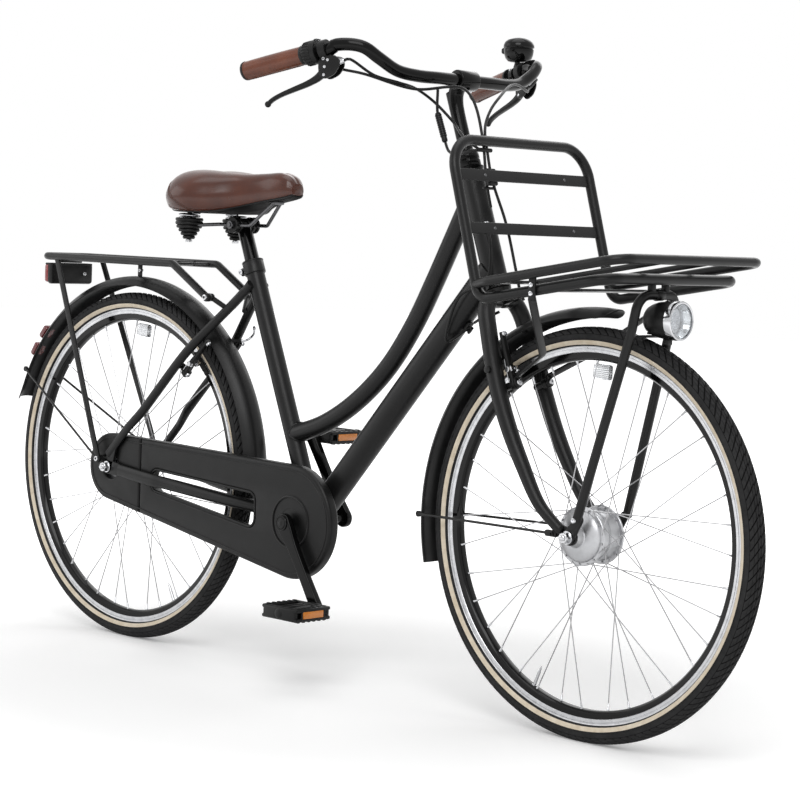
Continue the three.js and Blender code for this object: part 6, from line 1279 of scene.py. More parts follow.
def saddle_point(row, step):
    """A point of the saddle's skin: a place between its rows, and one round its left half."""
    place, width, top, under = [np.interp(row, np.arange(SADDLE_ROWS), column) for column in SADDLE_RINGS.T]
    w, h = [np.interp(step, np.arange(SADDLE_STEPS), column) for column in SADDLE_SECTION.T]
    z0, z1 = SADDLE_LOW + SADDLE_THICKNESS * under, SADDLE_LOW + SADDLE_THICKNESS * top
    dip = 0
    if h > 0.9:
        dip = DIP_DEPTH * math.exp(-(w * width / DIP_HALF) ** 2 - ((place - DIP_PLACE) / DIP_LENGTH) ** 2)
    across = SADDLE_HALF * width * max(w, 0)
    return vec(SADDLE_REAR + SADDLE_LENGTH * place, across, z0 + (z1 - z0) * min(h, 1) - dip)


def saddle_line(rows, steps, lift):
    """A line on the skin, lifted off it."""
    points = []
    last = SADDLE_ROWS - 1
    for row, step in zip(rows, steps):
        round_it = saddle_point(row, step + 0.4) - saddle_point(row, step - 0.4)
        along = saddle_point(min(row + 0.4, last), step) - saddle_point(max(row - 0.4, 0), step)
        out = unit(np.cross(along, round_it))
        points.append(saddle_point(row, step) + (out if out[1] > 0 else -out) * lift)
    return points


def distances(line):
    """How far along a line each of its points lies."""
    return np.concatenate([[0], np.cumsum(np.linalg.norm(np.diff(line, axis=0), axis=1))])


def on_line_at(distance, reach, line):
    return vec(*(np.interp(distance, reach, line[:, k]) for k in range(3)))


def stitches(line, pitch=STITCH_PITCH, length=STITCH_LENGTH, radius=STITCH_RADIUS):
    line = np.array(line)
    reach = distances(line)
    shapes = []
    for s in np.arange(pitch, reach[-1] - pitch, pitch):
        a, b = on_line_at(s, reach, line), on_line_at(s + length, reach, line)
        end = unit(b - a) * 0.2
        shapes.append(tube([a - end, a, mid(a, b, 0.5), b, b + end], radius, 6))
    return merge(*shapes)


def add_saddle():
    rings = []
    for row in range(SADDLE_ROWS):
        half = [saddle_point(row, step) for step in range(SADDLE_STEPS)]
        rings.append([*half, *(flip(p) for p in reversed(half[1:-1]))])
    skin = piece("saddle_cover", loft(rings), "seat", LEATHER, "saddle", sharp=75)
    plate = []
    for row in np.linspace(2, 58, 57):
        half = [saddle_point(row, step) for step in np.linspace(24.6, 32, 9)]
        line = [*half, *(flip(p) for p in reversed(half[:-1]))]
        plate.append([*(p - UP * 1.2 for p in line), *(p + UP * 0.5 for p in reversed(line))])
    piece("saddle_under_plate", loft(plate), "seat", SHADE_AND_BLACK)

    # One seam on each side, from the back of the crown down to the hem ahead of the spring.
    rows = np.linspace(SEAM_COURSE[0][0], SEAM_COURSE[-1][0], 60)
    course = through(SEAM_COURSE, 60)
    steps = np.interp(rows, course[:, 0], course[:, 1])
    threads = [stitches(saddle_line(rows, steps + aside, 0.1)) for aside in (-0.7, 0.7)]
    piece("saddle_piping", both(tube(saddle_line(rows, steps, -0.2), 1.1, 10)), "seat", SEAM)
    piece("saddle_stitches", both(merge(*threads)), "seat", SEAM)
    hem = saddle_line(np.linspace(1, 59, 60), np.full(60, HEM_STEP), 0.3)
    piece("saddle_under_edge", both(tube(hem, 1.8, 10)), "seat", PLASTIC)


def spring_cover():
    """A ribbed sleeve that widens upwards, on its pin."""
    profile = [(0, 6), (0, 10)]
    pitch = SPRING_COVER / SPRING_RIBS
    for k in range(SPRING_RIBS):
        r = 10 + 17 * min(1, (k + 0.5) / 4)
        profile += [(pitch * (k + t), r - RIB_DEPTH * (1 - math.sin(math.pi * t) ** 0.6))
                    for t in np.linspace(0.06, 0.94, 7)]
    profile += [(SPRING_COVER, 22), (SPRING_COVER, 3)]
    pin = rod(SPRING_PLACE - UP * 4, SPRING_PLACE + UP * 51.5, 4.5, 20)
    return merge(lathe(SPRING_PLACE, UP, profile, 48), pin)


def add_saddle_springs():
    turns = TAU * np.linspace(0, COIL_TURNS, 70)
    heights = np.linspace(COIL_FOOT, COIL_FOOT + COIL_RISE, 70)
    helix = np.stack([COIL_RADIUS * np.cos(turns), COIL_RADIUS * np.sin(turns), heights], 1)
    coil = tube(SPRING_PLACE + helix, COIL_WIRE, 12)
    cover = spring_cover()
    for side, turned in SIDES:
        name = f"saddle_spring_{side}"
        piece(f"{name}_cover", turned(cover), "seat", PLASTIC, name, sharp=40)
        piece(f"{name}_coil", turned(coil), "seat", CHROME)
        piece(f"{name}_nut", turned(nut(SPRING_PLACE - UP * 6, UP, 7, 5)), "seat", CHROME)


def add_saddle_frame():
    """Rails from the nose past the clamp to the springs, a bridge at the nose and the clamp on the post."""
    nose = vec(SADDLE_REAR + SADDLE_LENGTH * 0.8, 9, SADDLE_LOW + SADDLE_THICKNESS * 0.28)
    centre = at(POST_TOP - UP * RAIL_RADIUS, 0)
    ahead, behind = [at(centre + FORWARD * x, RAIL_OFFSET) for x in (RAIL_HALF, -RAIL_HALF)]
    rail = tube(bent([nose, ahead, behind, SPRING_PLACE + vec(19, 0, 27)], 11, 8), RAIL_RADIUS, 16)
    rails = merge(both(rail), brick(at(nose, 0), (12, 27, 7), 2))
    piece("saddle_rails", rails, "seat", DARK_STEEL, "saddle_frame")
    clamp = [cross_rod(centre, -SADDLE_CLAMP_HALF, SADDLE_CLAMP_HALF, 13.6, 40, 1.2)]
    for y in (-SADDLE_CLAMP_HALF, -16, 16, SADDLE_CLAMP_HALF):
        clamp.append(lathe(at(centre, y - 2.5), LEFT, SADDLE_CLAMP_RING, 40))
    piece("saddle_clamp", merge(*clamp), "seat", PLASTIC)
    ends = [nut(at(centre, side * 30), LEFT * side, 8.5, 6) for side in (1, -1)]
    piece("saddle_clamp_nuts", merge(*ends, cross_rod(centre, -38, 38, 4, 16)), "seat", DARK_STEEL)


add_seat_clamp()
add_saddle()
add_saddle_springs()
add_saddle_frame()


# Chain case, chain and cranks.
CASE_REAR = 67
CASE_FRONT = 106
CASE_INNER = 38
CASE_OUTER = 61.5
CASE_SPLIT = 92
CASE_SPLIT_GAP = 0.4
CASE_REACH = 1000
CASE_HUB_HOLE = 24
WINDOW_REAR, WINDOW_FRONT = 128, 432
WINDOW_HALF_REAR, WINDOW_HALF_FRONT = 21, 34
WINDOW_CORNER = 17
# The covers on the case's outer face: (out from the face, radius) pairs.
COVER_RING = ((-1, 50.5), (1.6, 49.4), (2.4, 47.6), (1.6, 46), (-1, 45.4))
COVER_DISC = ((0, 44), (0.9, 43.2), (1.0, 26), (0.2, 25), (0.2, 15))
EDGE_BEAD_INSET = 10
CHAIN_PITCH = 12.7
CHAIN_LINE = 49.7
RING_TEETH, SPROCKET_TEETH = 38, 18
LINK_RADIUS, LINK_HALF, PIN_HALF = 4.1, 0.6, 4.4
CRANK_LENGTH = 175
CRANK_ANGLE = math.radians(-57)
CRANK_OFFSET = 77
CRANK_HALF = 6.5
CRANK_EYE, CRANK_TIP = 17.5, 12
# The arm's half width at shares of its length.
CRANK_WIDTHS = ((0.0, CRANK_EYE), (0.12, 15.5), (0.3, 11.8), (0.6, 10.6), (0.85, 11.2), (1.0, CRANK_TIP))
CRANK_WAY = polar(CRANK_ANGLE)
EYE_PROFILE = ((0, 14.5), (2.4, 14.5), (3.2, 13.6), (3.2, 11.5), (1.6, 11))
TIP_PROFILE = ((0, 8.8), (1.6, 8.8), (2, 8.2), (2, 6))
CRANK_CAP_PROFILE = ((0, 10.8), (1.8, 10.6), (2.6, 9.6), (3.0, 5))
PEDAL_INNER = CRANK_OFFSET + CRANK_HALF + 1.5
PEDAL_WIDTH = 88
PEDAL_OUTER = PEDAL_INNER + PEDAL_WIDTH
PEDAL_MIDDLE = (PEDAL_INNER + PEDAL_OUTER) / 2
PEDAL_CORE, PEDAL_SHOULDER, SHOULDER_LENGTH = 10.5, 13, 10
END_BLOCK, END_BLOCK_INSET = (84, 11, 24), 5.5
TREAD_PLACE = 38
TREAD_BAR, TREAD_BAR_UP = (15, 86, 7), 8.5
SIDE_WEB, MIDDLE_WEB = (7, 86, 22), (7, 84, 19)
STUD, STUD_UP, STUD_INSET, STUD_COUNT = (9, 6, 3), 12.2, 12, 6
AMBER_BLOCK, AMBER_PLACE = (4.2, 50, 13), 44.0
AMBER_RAIL, AMBER_RAIL_UP = (5, 60, 3), 8
AMBER_POST, AMBER_POST_OFFSET = (5, 3.5, 17), 27.5
AMBER_FRAME_PLACE = 43.5


def pitch_radius(teeth):
    return CHAIN_PITCH / (2 * math.sin(math.pi / teeth))


def clipped(outline, low, high):
    """The part of an outline between two places forward."""
    points = []
    for (x0, z0), (x1, z1) in zip(outline, outline[1:] + outline[:1]):
        if low <= x0 <= high:
            points.append((x0, z0))
        for limit in ((low, high) if x1 > x0 else (high, low)):
            if (x0 - limit) * (x1 - limit) < 0:
                share = (limit - x0) / (x1 - x0)
                points.append((limit, z0 + (z1 - z0) * share))
    return points


def window_outline(grow):
    """The case's window, its middle line on the line between the axles, grown all round."""
    rear, front = [mid(REAR_AXLE, BRACKET, x / BRACKET[0]) for x in (WINDOW_REAR - grow, WINDOW_FRONT + grow)]
    low, high = UP * (WINDOW_HALF_REAR + grow), UP * (WINDOW_HALF_FRONT + grow)
    corners = [rear, rear - low, front - high, front + high, rear + low, rear]
    return flat(bent(corners, WINDOW_CORNER + grow, 6)[1:-1])


def add_chain_case():
    """A case in two parts about the chain, with a window, a round cover and a bead along its edge."""
    outline = belt(REAR_AXLE, CASE_REAR, BRACKET, CASE_FRONT, 56)
    front_part = clipped(outline, CASE_SPLIT + CASE_SPLIT_GAP, CASE_REACH)
    rear_part = clipped(outline, -CASE_REACH, CASE_SPLIT - CASE_SPLIT_GAP)
    front = slab([front_part, window_outline(0)[::-1]], -CASE_OUTER, -CASE_INNER, 6.5, 5)
    rear = slab([rear_part, hole(REAR_AXLE, CASE_HUB_HOLE, 32)], -CASE_OUTER, -CASE_INNER, 5, 5)
    piece("chain_case_shell", front, "frame", PLASTIC, "chain_case", sharp=24)
    piece("chain_case_rear_shell", rear, "frame", PLASTIC, "chain_case_rear_cover", sharp=24)
    edge = belt(REAR_AXLE, CASE_REAR - EDGE_BEAD_INSET, BRACKET, CASE_FRONT - EDGE_BEAD_INSET, 56)
    piece("chain_case_crank_cover", merge(
        wheel_ring(BRACKET, [(-CASE_OUTER - out, r) for out, r in COVER_RING], 72),
        tube([vec(x, 0.2 - CASE_OUTER, z) for x, z in edge], 1.5, 10, closed=True),
        lathe(at(BRACKET, 0.6 - CASE_OUTER), -LEFT, COVER_DISC, 72)), "frame", PLASTIC, sharp=24)
    lip = [vec(x, 2 - CASE_OUTER, z) for x, z in window_outline(-0.5)]
    piece("chain_case_window_lip", tube(lip, 2.6, 10, closed=True), "frame", PLASTIC)


def link_plate(a, b):
    line = unit(b - a)
    up = np.cross(line, LEFT)
    turns = np.linspace(math.pi / 2, math.pi * 3 / 2, 5)
    ring = np.array([centre + (line * math.cos(t) + up * math.sin(t)) * LINK_RADIUS * sign
                     for centre, sign in ((a, 1), (b, -1)) for t in turns])
    return loft([ring - LEFT * LINK_HALF, ring + LEFT * LINK_HALF])


def add_chain():
    """Inner and outer links in turn along the belt round the two toothed wheels."""
    loop = belt(REAR_AXLE, pitch_radius(SPROCKET_TEETH), BRACKET, pitch_radius(RING_TEETH), 60)
    line = np.array([(x, -CHAIN_LINE, z) for x, z in loop + loop[:1]])
    reach = distances(line)
    count = int(reach[-1] // CHAIN_PITCH)
    places = [on_line_at(s, reach, line) for s in np.linspace(0, reach[-1], count + 1)]
    links = []
    for k, (a, b) in enumerate(zip(places, places[1:])):
        for side in (1, -1):
            shift = LEFT * side * (3.4 if k % 2 else 2.2)
            links.append(link_plate(a + shift, b + shift))
        links.append(cross_rod(a, a[1] - PIN_HALF, a[1] + PIN_HALF, 1.9, 8))
    piece("chain_links", merge(*links), "frame", DARK_STEEL, "chain")


def add_toothed_wheel(name, body, centre, teeth, bore):
    rim = flat(centre + polar(t, pitch_radius(teeth) - 4.9 + 1.6 * math.cos(t * teeth))
               for t in np.arange(teeth * 6) / (teeth * 6) * TAU)
    wheel = slab([rim, hole(centre, bore, 24)], -CHAIN_LINE - 1.4, -CHAIN_LINE + 1.4, 0.4)
    piece(name, wheel, body, DARK_STEEL)


def crank_arm(way, sign):
    """A flat crank arm: broad at its eye, waisted, with eased edges and a raised boss at each end."""
    tip = BRACKET + way * CRANK_LENGTH
    square = vec(-way[2], 0, way[0])

    def arc(centre, radius, start, steps):
        return [centre + (way * math.cos(t) + square * math.sin(t)) * radius
                for t in np.linspace(start, start - math.pi, steps)]

    def edge(rows, side):
        return [BRACKET + way * CRANK_LENGTH * share + square * side * wide for share, wide in rows]
    table = through(CRANK_WIDTHS, 24)
    outline = [*arc(BRACKET, CRANK_EYE, math.pi * 1.5, 14), *edge(table[1:-1], 1),
               *arc(tip, CRANK_TIP, math.pi * 0.5, 12), *edge(table[-2:0:-1], -1)]
    y0, y1 = sorted((sign * (CRANK_OFFSET - CRANK_HALF), sign * (CRANK_OFFSET + CRANK_HALF)))
    face = sign * (CRANK_OFFSET + CRANK_HALF)
    boss = lathe(at(BRACKET, face - sign), LEFT * sign, EYE_PROFILE, 40)
    groove = lathe(at(tip, face - sign), LEFT * sign, TIP_PROFILE, 32)
    return merge(slab([flat(outline)], y0, y1, 2.6, 3), boss, groove), face


def pedal_shapes(way, sign):
    """A block pedal's body with its tread and reflector frames, its reflectors and its collar."""
    centre = BRACKET + way * CRANK_LENGTH

    def block(x, y, z, size, edge):
        return brick(vec(centre[0] + x, sign * y, centre[2] + z), size, edge)
    inner, outer = sign * PEDAL_INNER, sign * PEDAL_OUTER
    body = [cross_rod(centre, inner, inner + sign * SHOULDER_LENGTH, PEDAL_SHOULDER, 32, 1.5),
            cross_rod(centre, inner, outer, PEDAL_CORE, 32, 1.5)]
    body += [block(0, y, 0, END_BLOCK, 4)
             for y in (PEDAL_INNER + END_BLOCK_INSET, PEDAL_OUTER - END_BLOCK_INSET)]
    for x in (-TREAD_PLACE, TREAD_PLACE):
        body += [block(x, PEDAL_MIDDLE, z, TREAD_BAR, 2.6) for z in (TREAD_BAR_UP, -TREAD_BAR_UP)]
        body.append(block(x * 0.9, PEDAL_MIDDLE, 0, SIDE_WEB, 2))
    body += [block(x, PEDAL_MIDDLE, 0, MIDDLE_WEB, 2) for x in (-TREAD_PLACE / 2, TREAD_PLACE / 2)]
    body += [block(x, y, z, STUD, 1.2) for z in (STUD_UP, -STUD_UP) for x in (-TREAD_PLACE, TREAD_PLACE)
             for y in np.linspace(PEDAL_INNER + STUD_INSET, PEDAL_OUTER - STUD_INSET, STUD_COUNT)]
    amber = [block(side * AMBER_PLACE, PEDAL_MIDDLE, 0, AMBER_BLOCK, 1.2) for side in (1, -1)]
    for x in (AMBER_FRAME_PLACE, -AMBER_FRAME_PLACE):
        body += [block(x, PEDAL_MIDDLE, z, AMBER_RAIL, 1) for z in (AMBER_RAIL_UP, -AMBER_RAIL_UP)]
        body += [block(x, PEDAL_MIDDLE + d, 0, AMBER_POST, 1)
                 for d in (AMBER_POST_OFFSET, -AMBER_POST_OFFSET)]
    cap = dome(at(centre, sign * PEDAL_OUTER), LEFT * sign, 9, 2.5)
    collar = cross_rod(centre, sign * (PEDAL_INNER - 2.5), sign * (PEDAL_INNER + 0.5), 8, 28)
    return merge(*body, cap), merge(*amber), collar


def add_cranks():
    for name, way, sign in (("left", -CRANK_WAY, 1), ("right", CRANK_WAY, -1)):
        arm, face = crank_arm(way, sign)
        if sign > 0:
            arm = merge(arm, cross_rod(BRACKET, -70, CRANK_OFFSET, 8, 32))
        piece(f"crank_{name}_arm", arm, "crank", GLOSS, f"crank_{name}", sharp=24)
        cap = merge(lathe(at(BRACKET, face + sign * 0.4), LEFT * sign, CRANK_CAP_PROFILE, 36),
                    dome(at(BRACKET, face + sign * 3.2), LEFT * sign, 5, 0.8, 3))
        piece(f"crank_{name}_cap", cap, "crank", PLASTIC)
        pedal = f"pedal_{name}"
        body, amber, collar = pedal_shapes(way, sign)
        piece(f"{pedal}_body", body, pedal, PLASTIC, pedal)
        piece(f"{pedal}_reflectors", amber, pedal, AMBER)
        piece(f"{pedal}_collar", collar, pedal, DARK_STEEL)


add_chain_case()
add_chain()
add_toothed_wheel("chainring_teeth", "crank", BRACKET, RING_TEETH, 8.3)
add_toothed_wheel("sprocket_teeth", "rear_wheel", REAR_AXLE, SPROCKET_TEETH, 14.3)
add_cranks()


# Fenders with rolled edges, wire stays and reflectors.
FENDER_RADIUS = 382
FENDER_HALF = 29
FENDER_DROP = 16
FENDER_SHEET = 1.6
FLARE_TURN, TIP_TURN = math.radians(7), math.radians(5)
REAR_FENDER = (math.radians(1), math.radians(163))
FRONT_FENDER = (math.radians(84), math.radians(194))
STAY_WIRE = 2.4
STAY_CLIP = ((0, 5), (0.5, 5.6), (5, 5.6), (5.5, 5))
STAY_BOLT_OFFSET = 77 + STAY_WIRE
FORK_EYE = FRONT_AXLE - FORWARD * 32 + UP * 3
FORK_EYE_OFFSET = 59.5
FENDER_REFLECTORS = (math.radians(146), math.radians(139))


def fender_strip(axle, start, end, flare=0.0, tip=0.0):
    """A crowned strip round a wheel; its late end can flare out, and its early end narrow to a round tip."""
    rings = []
    tip_end = start + TIP_TURN
    for turn in [*np.linspace(start, tip_end, 14)[:-1], *np.linspace(tip_end, end, 86)]:
        late = np.clip((turn - (end - FLARE_TURN)) / FLARE_TURN, 0, 1) ** 2 * flare
        early = np.clip((tip_end - turn) / TIP_TURN, 0, 1)
        slim = 1 - tip * (1 - math.sqrt(1 - early ** 2))
        outer = [(FENDER_HALF * a * slim, FENDER_RADIUS - FENDER_DROP * abs(a * slim) ** 2.4 + late)
                 for a in np.linspace(-1, 1, 17)]
        inner = [(y * 0.955, r - FENDER_SHEET) for y, r in reversed(outer)]
        low_y, low_r = outer[-1]
        hem = [(low_y + 0.9, low_r - 1.2), (low_y - 0.6, low_r - 2.6)]
        full = outer + hem + inner[1:-1] + [(-y, r) for y, r in reversed(hem)]
        rings.append([axle + polar(turn, r, y) for y, r in full])
    return loft(rings)


def fender_edge(axle, turn):
    return axle + polar(turn, FENDER_RADIUS - FENDER_DROP + STAY_WIRE, FENDER_HALF - 0.8)


def stay_wires(edge, foot):
    return both(tube(bent([edge, edge + LEFT * 6, foot], 5, 5), STAY_WIRE, 12))


def stay_clip(edge):
    return lathe(edge + LEFT * 2, LEFT, STAY_CLIP, 20)


def add_rear_fender():
    start, end = REAR_FENDER
    edge = fender_edge(REAR_AXLE, end - math.radians(11))
    piece("rear_fender_skin", fender_strip(REAR_AXLE, start, end, flare=4), "frame", PAINT, "rear_fender")
    piece("rear_fender_stays", stay_wires(edge, at(STRUT_FOOT, STAY_BOLT_OFFSET)), "frame", PAINT)
    piece("rear_fender_clips", both(stay_clip(edge)), "frame", PLASTIC)
    reflectors = [brick(REAR_AXLE + polar(turn, FENDER_RADIUS + 4), (12, 38, 30), 4,
                        (polar(turn), LEFT, polar(turn + math.pi / 2))) for turn in FENDER_REFLECTORS]
    piece("rear_fender_reflectors", merge(*reflectors), "frame", DARK_RED)


def add_front_fender():
    start, end = FRONT_FENDER
    edge = fender_edge(FRONT_AXLE, end - math.radians(13.5))
    foot = at(FORK_EYE, FORK_EYE_OFFSET)
    piece("front_fender_skin", fender_strip(FRONT_AXLE, start, end, tip=0.75), "fork", PAINT, "front_fender")
    piece("front_fender_stays", stay_wires(edge, foot), "fork", PAINT)
    eye = merge(brick(foot - FORWARD * 4, (26, 9, 11), 2.5), bolt(foot + LEFT * 4.4, LEFT, 4.2, 3))
    piece("front_stay_clips", both(merge(eye, stay_clip(edge))), "fork", PLASTIC)
    bridge = brick(on_fork(26, 0, 398), (34, 12, 4), 1.4, (HEAD_FORWARD, LEFT, HEAD_UP))
    piece("front_fender_bridge", bridge, "fork", PAINT)


# Rear carrier and lamp.
RACK_RADIUS = 7.5
RACK_HALF = 58
RACK_HEIGHT = 763
RACK_REAR = vec(-246, 0, RACK_HEIGHT)
RACK_BEND = vec(168, RACK_HALF, RACK_HEIGHT)
RACK_BOLT = vec(272, RACK_HALF, 702)
RACK_CORNER = 26
RACK_RAIL, RACK_RAIL_OFFSET = 5, 20
RACK_BAR = (20, 2 * RACK_HALF, 4)
RACK_EAR_INNER, RACK_EAR_OUTER, RACK_EAR_RADIUS = 50.3, 62, 8.2
RACK_STRUT, RACK_RIB = (13, 6, 2), (3.4, 1.6, 0.6)
RACK_STRUT_OFFSET = 75.8
RACK_STRUT_KNEE = vec(-42, RACK_STRUT_OFFSET, 414)
LAMP_BACK, LAMP_DEPTH, LAMP_HALF, LAMP_TOP, LAMP_TALL = -219, 26, 54, 749, 43
LAMP_HOOD, LAMP_RIB, LAMP_RIB_PITCH, LAMP_BOLT = 5, 1.2, 7, 30


def add_rear_rack():
    """A loop of tube with two rails and two flat bars, on two struts, two ears and a tab on the fender."""
    loop = bent([RACK_BOLT, RACK_BEND, at(RACK_REAR, RACK_HALF), at(RACK_REAR, -RACK_HALF), flip(RACK_BEND),
                 flip(RACK_BOLT)], RACK_CORNER, 10)
    front = RACK_BEND[0] - RACK_CORNER
    shapes = [tube(loop, RACK_RADIUS, 28)]
    shapes += [rod(at(RACK_REAR, y), vec(front, y, RACK_HEIGHT), RACK_RAIL, 20)
               for y in (RACK_RAIL_OFFSET, -RACK_RAIL_OFFSET)]
    shapes += [brick(vec(x, 0, RACK_HEIGHT), RACK_BAR, 1.2) for x in (0, front)]
    foot = at(STRUT_FOOT, RACK_STRUT_OFFSET)
    strut = bar([vec(-198, RACK_HALF, RACK_HEIGHT), RACK_STRUT_KNEE, foot], FORWARD, *RACK_STRUT)
    strut_end = cross_rod(foot, RACK_STRUT_OFFSET - 3, RACK_STRUT_OFFSET + 3, 8, 28, 1)
    fender_top = TYRE_RADIUS + FENDER_RADIUS
    tab = brick(vec(0, 0, (fender_top + RACK_HEIGHT) / 2), (11, 4, RACK_HEIGHT - fender_top), 1)
    ears = [cross_rod(RACK_BOLT, s * RACK_EAR_INNER, s * RACK_EAR_OUTER, RACK_EAR_RADIUS, 28, 1.4)
            for s in (1, -1)]
    tubes = merge(*shapes, both(strut), both(strut_end), tab, *ears)
    piece("rear_rack_tubes", tubes, "frame", PAINT, "rear_rack")
    rib = bar([vec(-190, RACK_HALF + 2.6, 746), RACK_STRUT_KNEE + vec(-5, 2.8, 10)], FORWARD, *RACK_RIB)
    piece("rear_rack_strut_ribs", both(rib), "frame", PAINT)
    bolts = [bolt(at(RACK_BOLT, RACK_EAR_OUTER), LEFT, 5.6, 3.5), bolt(foot + LEFT * 3.2, LEFT, 5.4, 3.5),
             bolt(vec(2, 2.4, fender_top + 12), LEFT, 3.4, 2)]
    piece("rear_rack_bolts", both(merge(*bolts)), "frame", CHROME)


def add_rear_lamp():
    """A wide box with a hood and a tab to the carrier, and a ribbed lens on its back."""
    middle = vec(LAMP_BACK - LAMP_DEPTH / 2, 0, LAMP_TOP - LAMP_TALL / 2)
    housing = brick(middle + FORWARD * 4, (LAMP_DEPTH - 8, 2 * LAMP_HALF, LAMP_TALL), 6)
    hood = brick(vec(middle[0], 0, LAMP_TOP - LAMP_HOOD / 2), (LAMP_DEPTH, 2 * LAMP_HALF - 4, LAMP_HOOD), 2)
    tab = brick(vec(middle[0] + 6, 0, LAMP_TOP + 4.5), (12, 51, 7), 1.5)
    piece("rear_lamp_housing", merge(housing, hood, tab), "frame", PLASTIC, "rear_lamp")
    face = brick(middle - FORWARD * 6, (15, 2 * LAMP_HALF - 1, LAMP_TALL - 6), 4.5)
    piece("rear_lamp_lens", face, "frame", RED)
    ribs = [brick(middle + vec(-13.2, k * LAMP_RIB_PITCH, 0), (LAMP_RIB, LAMP_RIB, LAMP_TALL - 14), 0.4)
            for k in range(-6, 7)]
    piece("rear_lamp_ribs", merge(*ribs), "frame", RED)
    bolts = [bolt(vec(LAMP_BACK + 0.1, y, middle[2]), FORWARD, 4, 2.5) for y in (-LAMP_BOLT, LAMP_BOLT)]
    piece("rear_lamp_bolts", merge(*bolts), "frame", CHROME)


add_rear_fender()
add_front_fender()
add_rear_rack()
add_rear_lamp()


# Fork, stem and handlebar.
BLADE_RADIUS = 15
BLADE_OFFSET = 59
BLADE_SPREAD = 0.95
SHOULDER = 395
STEERER_TOP = HEAD_FOOT_UP + HEAD_LENGTH + CUP_HEIGHT
CROWN_TOP = HEAD_FOOT_UP - CUP_HEIGHT - 0.3
# Shares of the rake, the offset, the shoulder's height and the radius, from the crown down to the dropout.
BLADE_SHARES = (
    (0, 0.1, 1.035, 1), (0, 0.5, 1.03, 1), (0, 0.72, 0.985, 1), (0, 0.83, 0.89, 1), (0, 0.93, 0.76, 1),
    (0, 0.99, 0.62, 0.98), (0.065, 1, 0.445, 0.93), (0.2, 1, 0.285, 0.85), (0.42, 1, 0.1, 0.72),
    (0.8, 0.97, -0.03, 0.62))
BLADE_END = ((-0.5, 9.2), (3, 8), (6, 5), (7.5, 0.5))
FORK_PLATE = (51.5, 56.5)
CROWN_PROFILE = ((0, 15), (0.5, 18), (3, 20), (18, 20.6), (22, 22), (25.4, 23.2), (26, 22), (26, 14))
KNOB_PROFILE = ((-3, 5), (3, 5), (3.5, 6.4), (6, 6.4), (6.8, 5))
LOCKNUT_PROFILE = (
    (0, 15), (0, 19.6), (1, 20.4), (11, 20.4), (12, 19.4), (12.6, 18.4), (13.4, 18.4), (14, 19.6), (15, 20.2),
    (27, 19.6), (29.4, 18), (30, 16), (30, 12))
STEM_RADIUS = 12.7
# The stem's neck: forward of the steering axis and up along it.
NECK_PLACES = ((0, 748), (1, 768), (7, 786), (18, 796))
BAR_CLAMP_SIDE = ((20.5, 18), (22, 17.4), (23, 16.2), (23, 12))
BAR_RADIUS = 11.1
BAR_CENTRE = on_fork(33, 0, 799)
BAR_HALF = 296
BAR_SWEEP = 248
BAR_RISE = 45
# Shares of the sweep, the half width and the rise, from the middle to the end.
BAR_SHARES = (
    (0, 0, 0), (0, 0.22, 0), (0.02, 0.39, 0.01), (0.05, 0.53, 0.14), (0.075, 0.66, 0.54), (0.12, 0.745, 0.9),
    (0.2, 0.8, 1), (0.31, 0.84, 0.93), (0.54, 0.895, 0.56), (1, 1, -0.05))
BAR_POINTS = [BAR_CENTRE + vec(-BAR_SWEEP * back, BAR_HALF * side, BAR_RISE * rise)
              for back, side, rise in BAR_SHARES]
GRIP_LINE = unit(BAR_POINTS[-1] - BAR_POINTS[-2])
BAR_END = BAR_POINTS[-1]
GRIP_RADIUS = 16.5
GRIP_CROWN = 0.9
GRIP_LENGTH = 128
GRIP_CAP = (
    (0, 1), (0, 10), (0.8, 13.4), (2.4, 15.4), (4.2, 16.2), (6.2, 16.7), (7, 16.7), (7.4, 16.2), (7.4, 12))
GRIP_COLLAR = ((121.5, 15), (122, 16.3), (123, 16.9), (127, 16.9), (128.1, 16.2), (128.1, 11.3))
SEAM_TILT = 0.14
RING_GAP = 0.3
LEVER_FREE = 26
CLAMP_LENGTH = 14
LEVER_STRAIGHT = GRIP_LENGTH + LEVER_FREE + 15 + CLAMP_LENGTH


def on_grip(inwards):
    return BAR_END - GRIP_LINE * inwards


def on_grip_lathe(profile, start=0, segments=48):
    return lathe(on_grip(start), -GRIP_LINE, profile, segments)


def fork_plate(*outlines):
    return slab(outlines, *FORK_PLATE, 0.8)


def add_fork():
    table = [[*on_fork(FORK_RAKE * f, BLADE_OFFSET * y, SHOULDER * s), BLADE_RADIUS * r]
             for f, y, s, r in BLADE_SHARES]
    dense = catmull(table, 60)
    tip = dense[-1, :3]
    side = merge(
        tapered(dense[:, :3], dense[:, 3], 36),
        fork_plate(belt(at(tip, 0), 9, FRONT_AXLE, DROPOUT_RADIUS), hole(FRONT_AXLE, AXLE_HOLE)),
        fork_plate(belt(at(tip, 0), 9, FORK_EYE, 6)),
        lathe(tip, tip - dense[-2, :3], BLADE_END, 28),
        brake_boss(FRONT_BRAKE, BLADE_OFFSET * BLADE_SPREAD))
    crown = lathe(on_fork(0, 0, CROWN_TOP - CROWN_PROFILE[-1][0]), HEAD_UP, CROWN_PROFILE, 48)
    steerer = rod(on_fork(0, 0, CROWN_TOP - 4), on_fork(0, 0, STEERER_TOP), 14.7, 28)
    piece("fork_body", merge(both(side), crown, steerer), "fork", PAINT, "fork", sharp=40)
    knob = lathe(on_fork(0, BLADE_OFFSET * BLADE_SPREAD + 14, SHOULDER * 0.72), LEFT, KNOB_PROFILE, 24)
    piece("fork_knob", both(knob), "fork", PAINT)


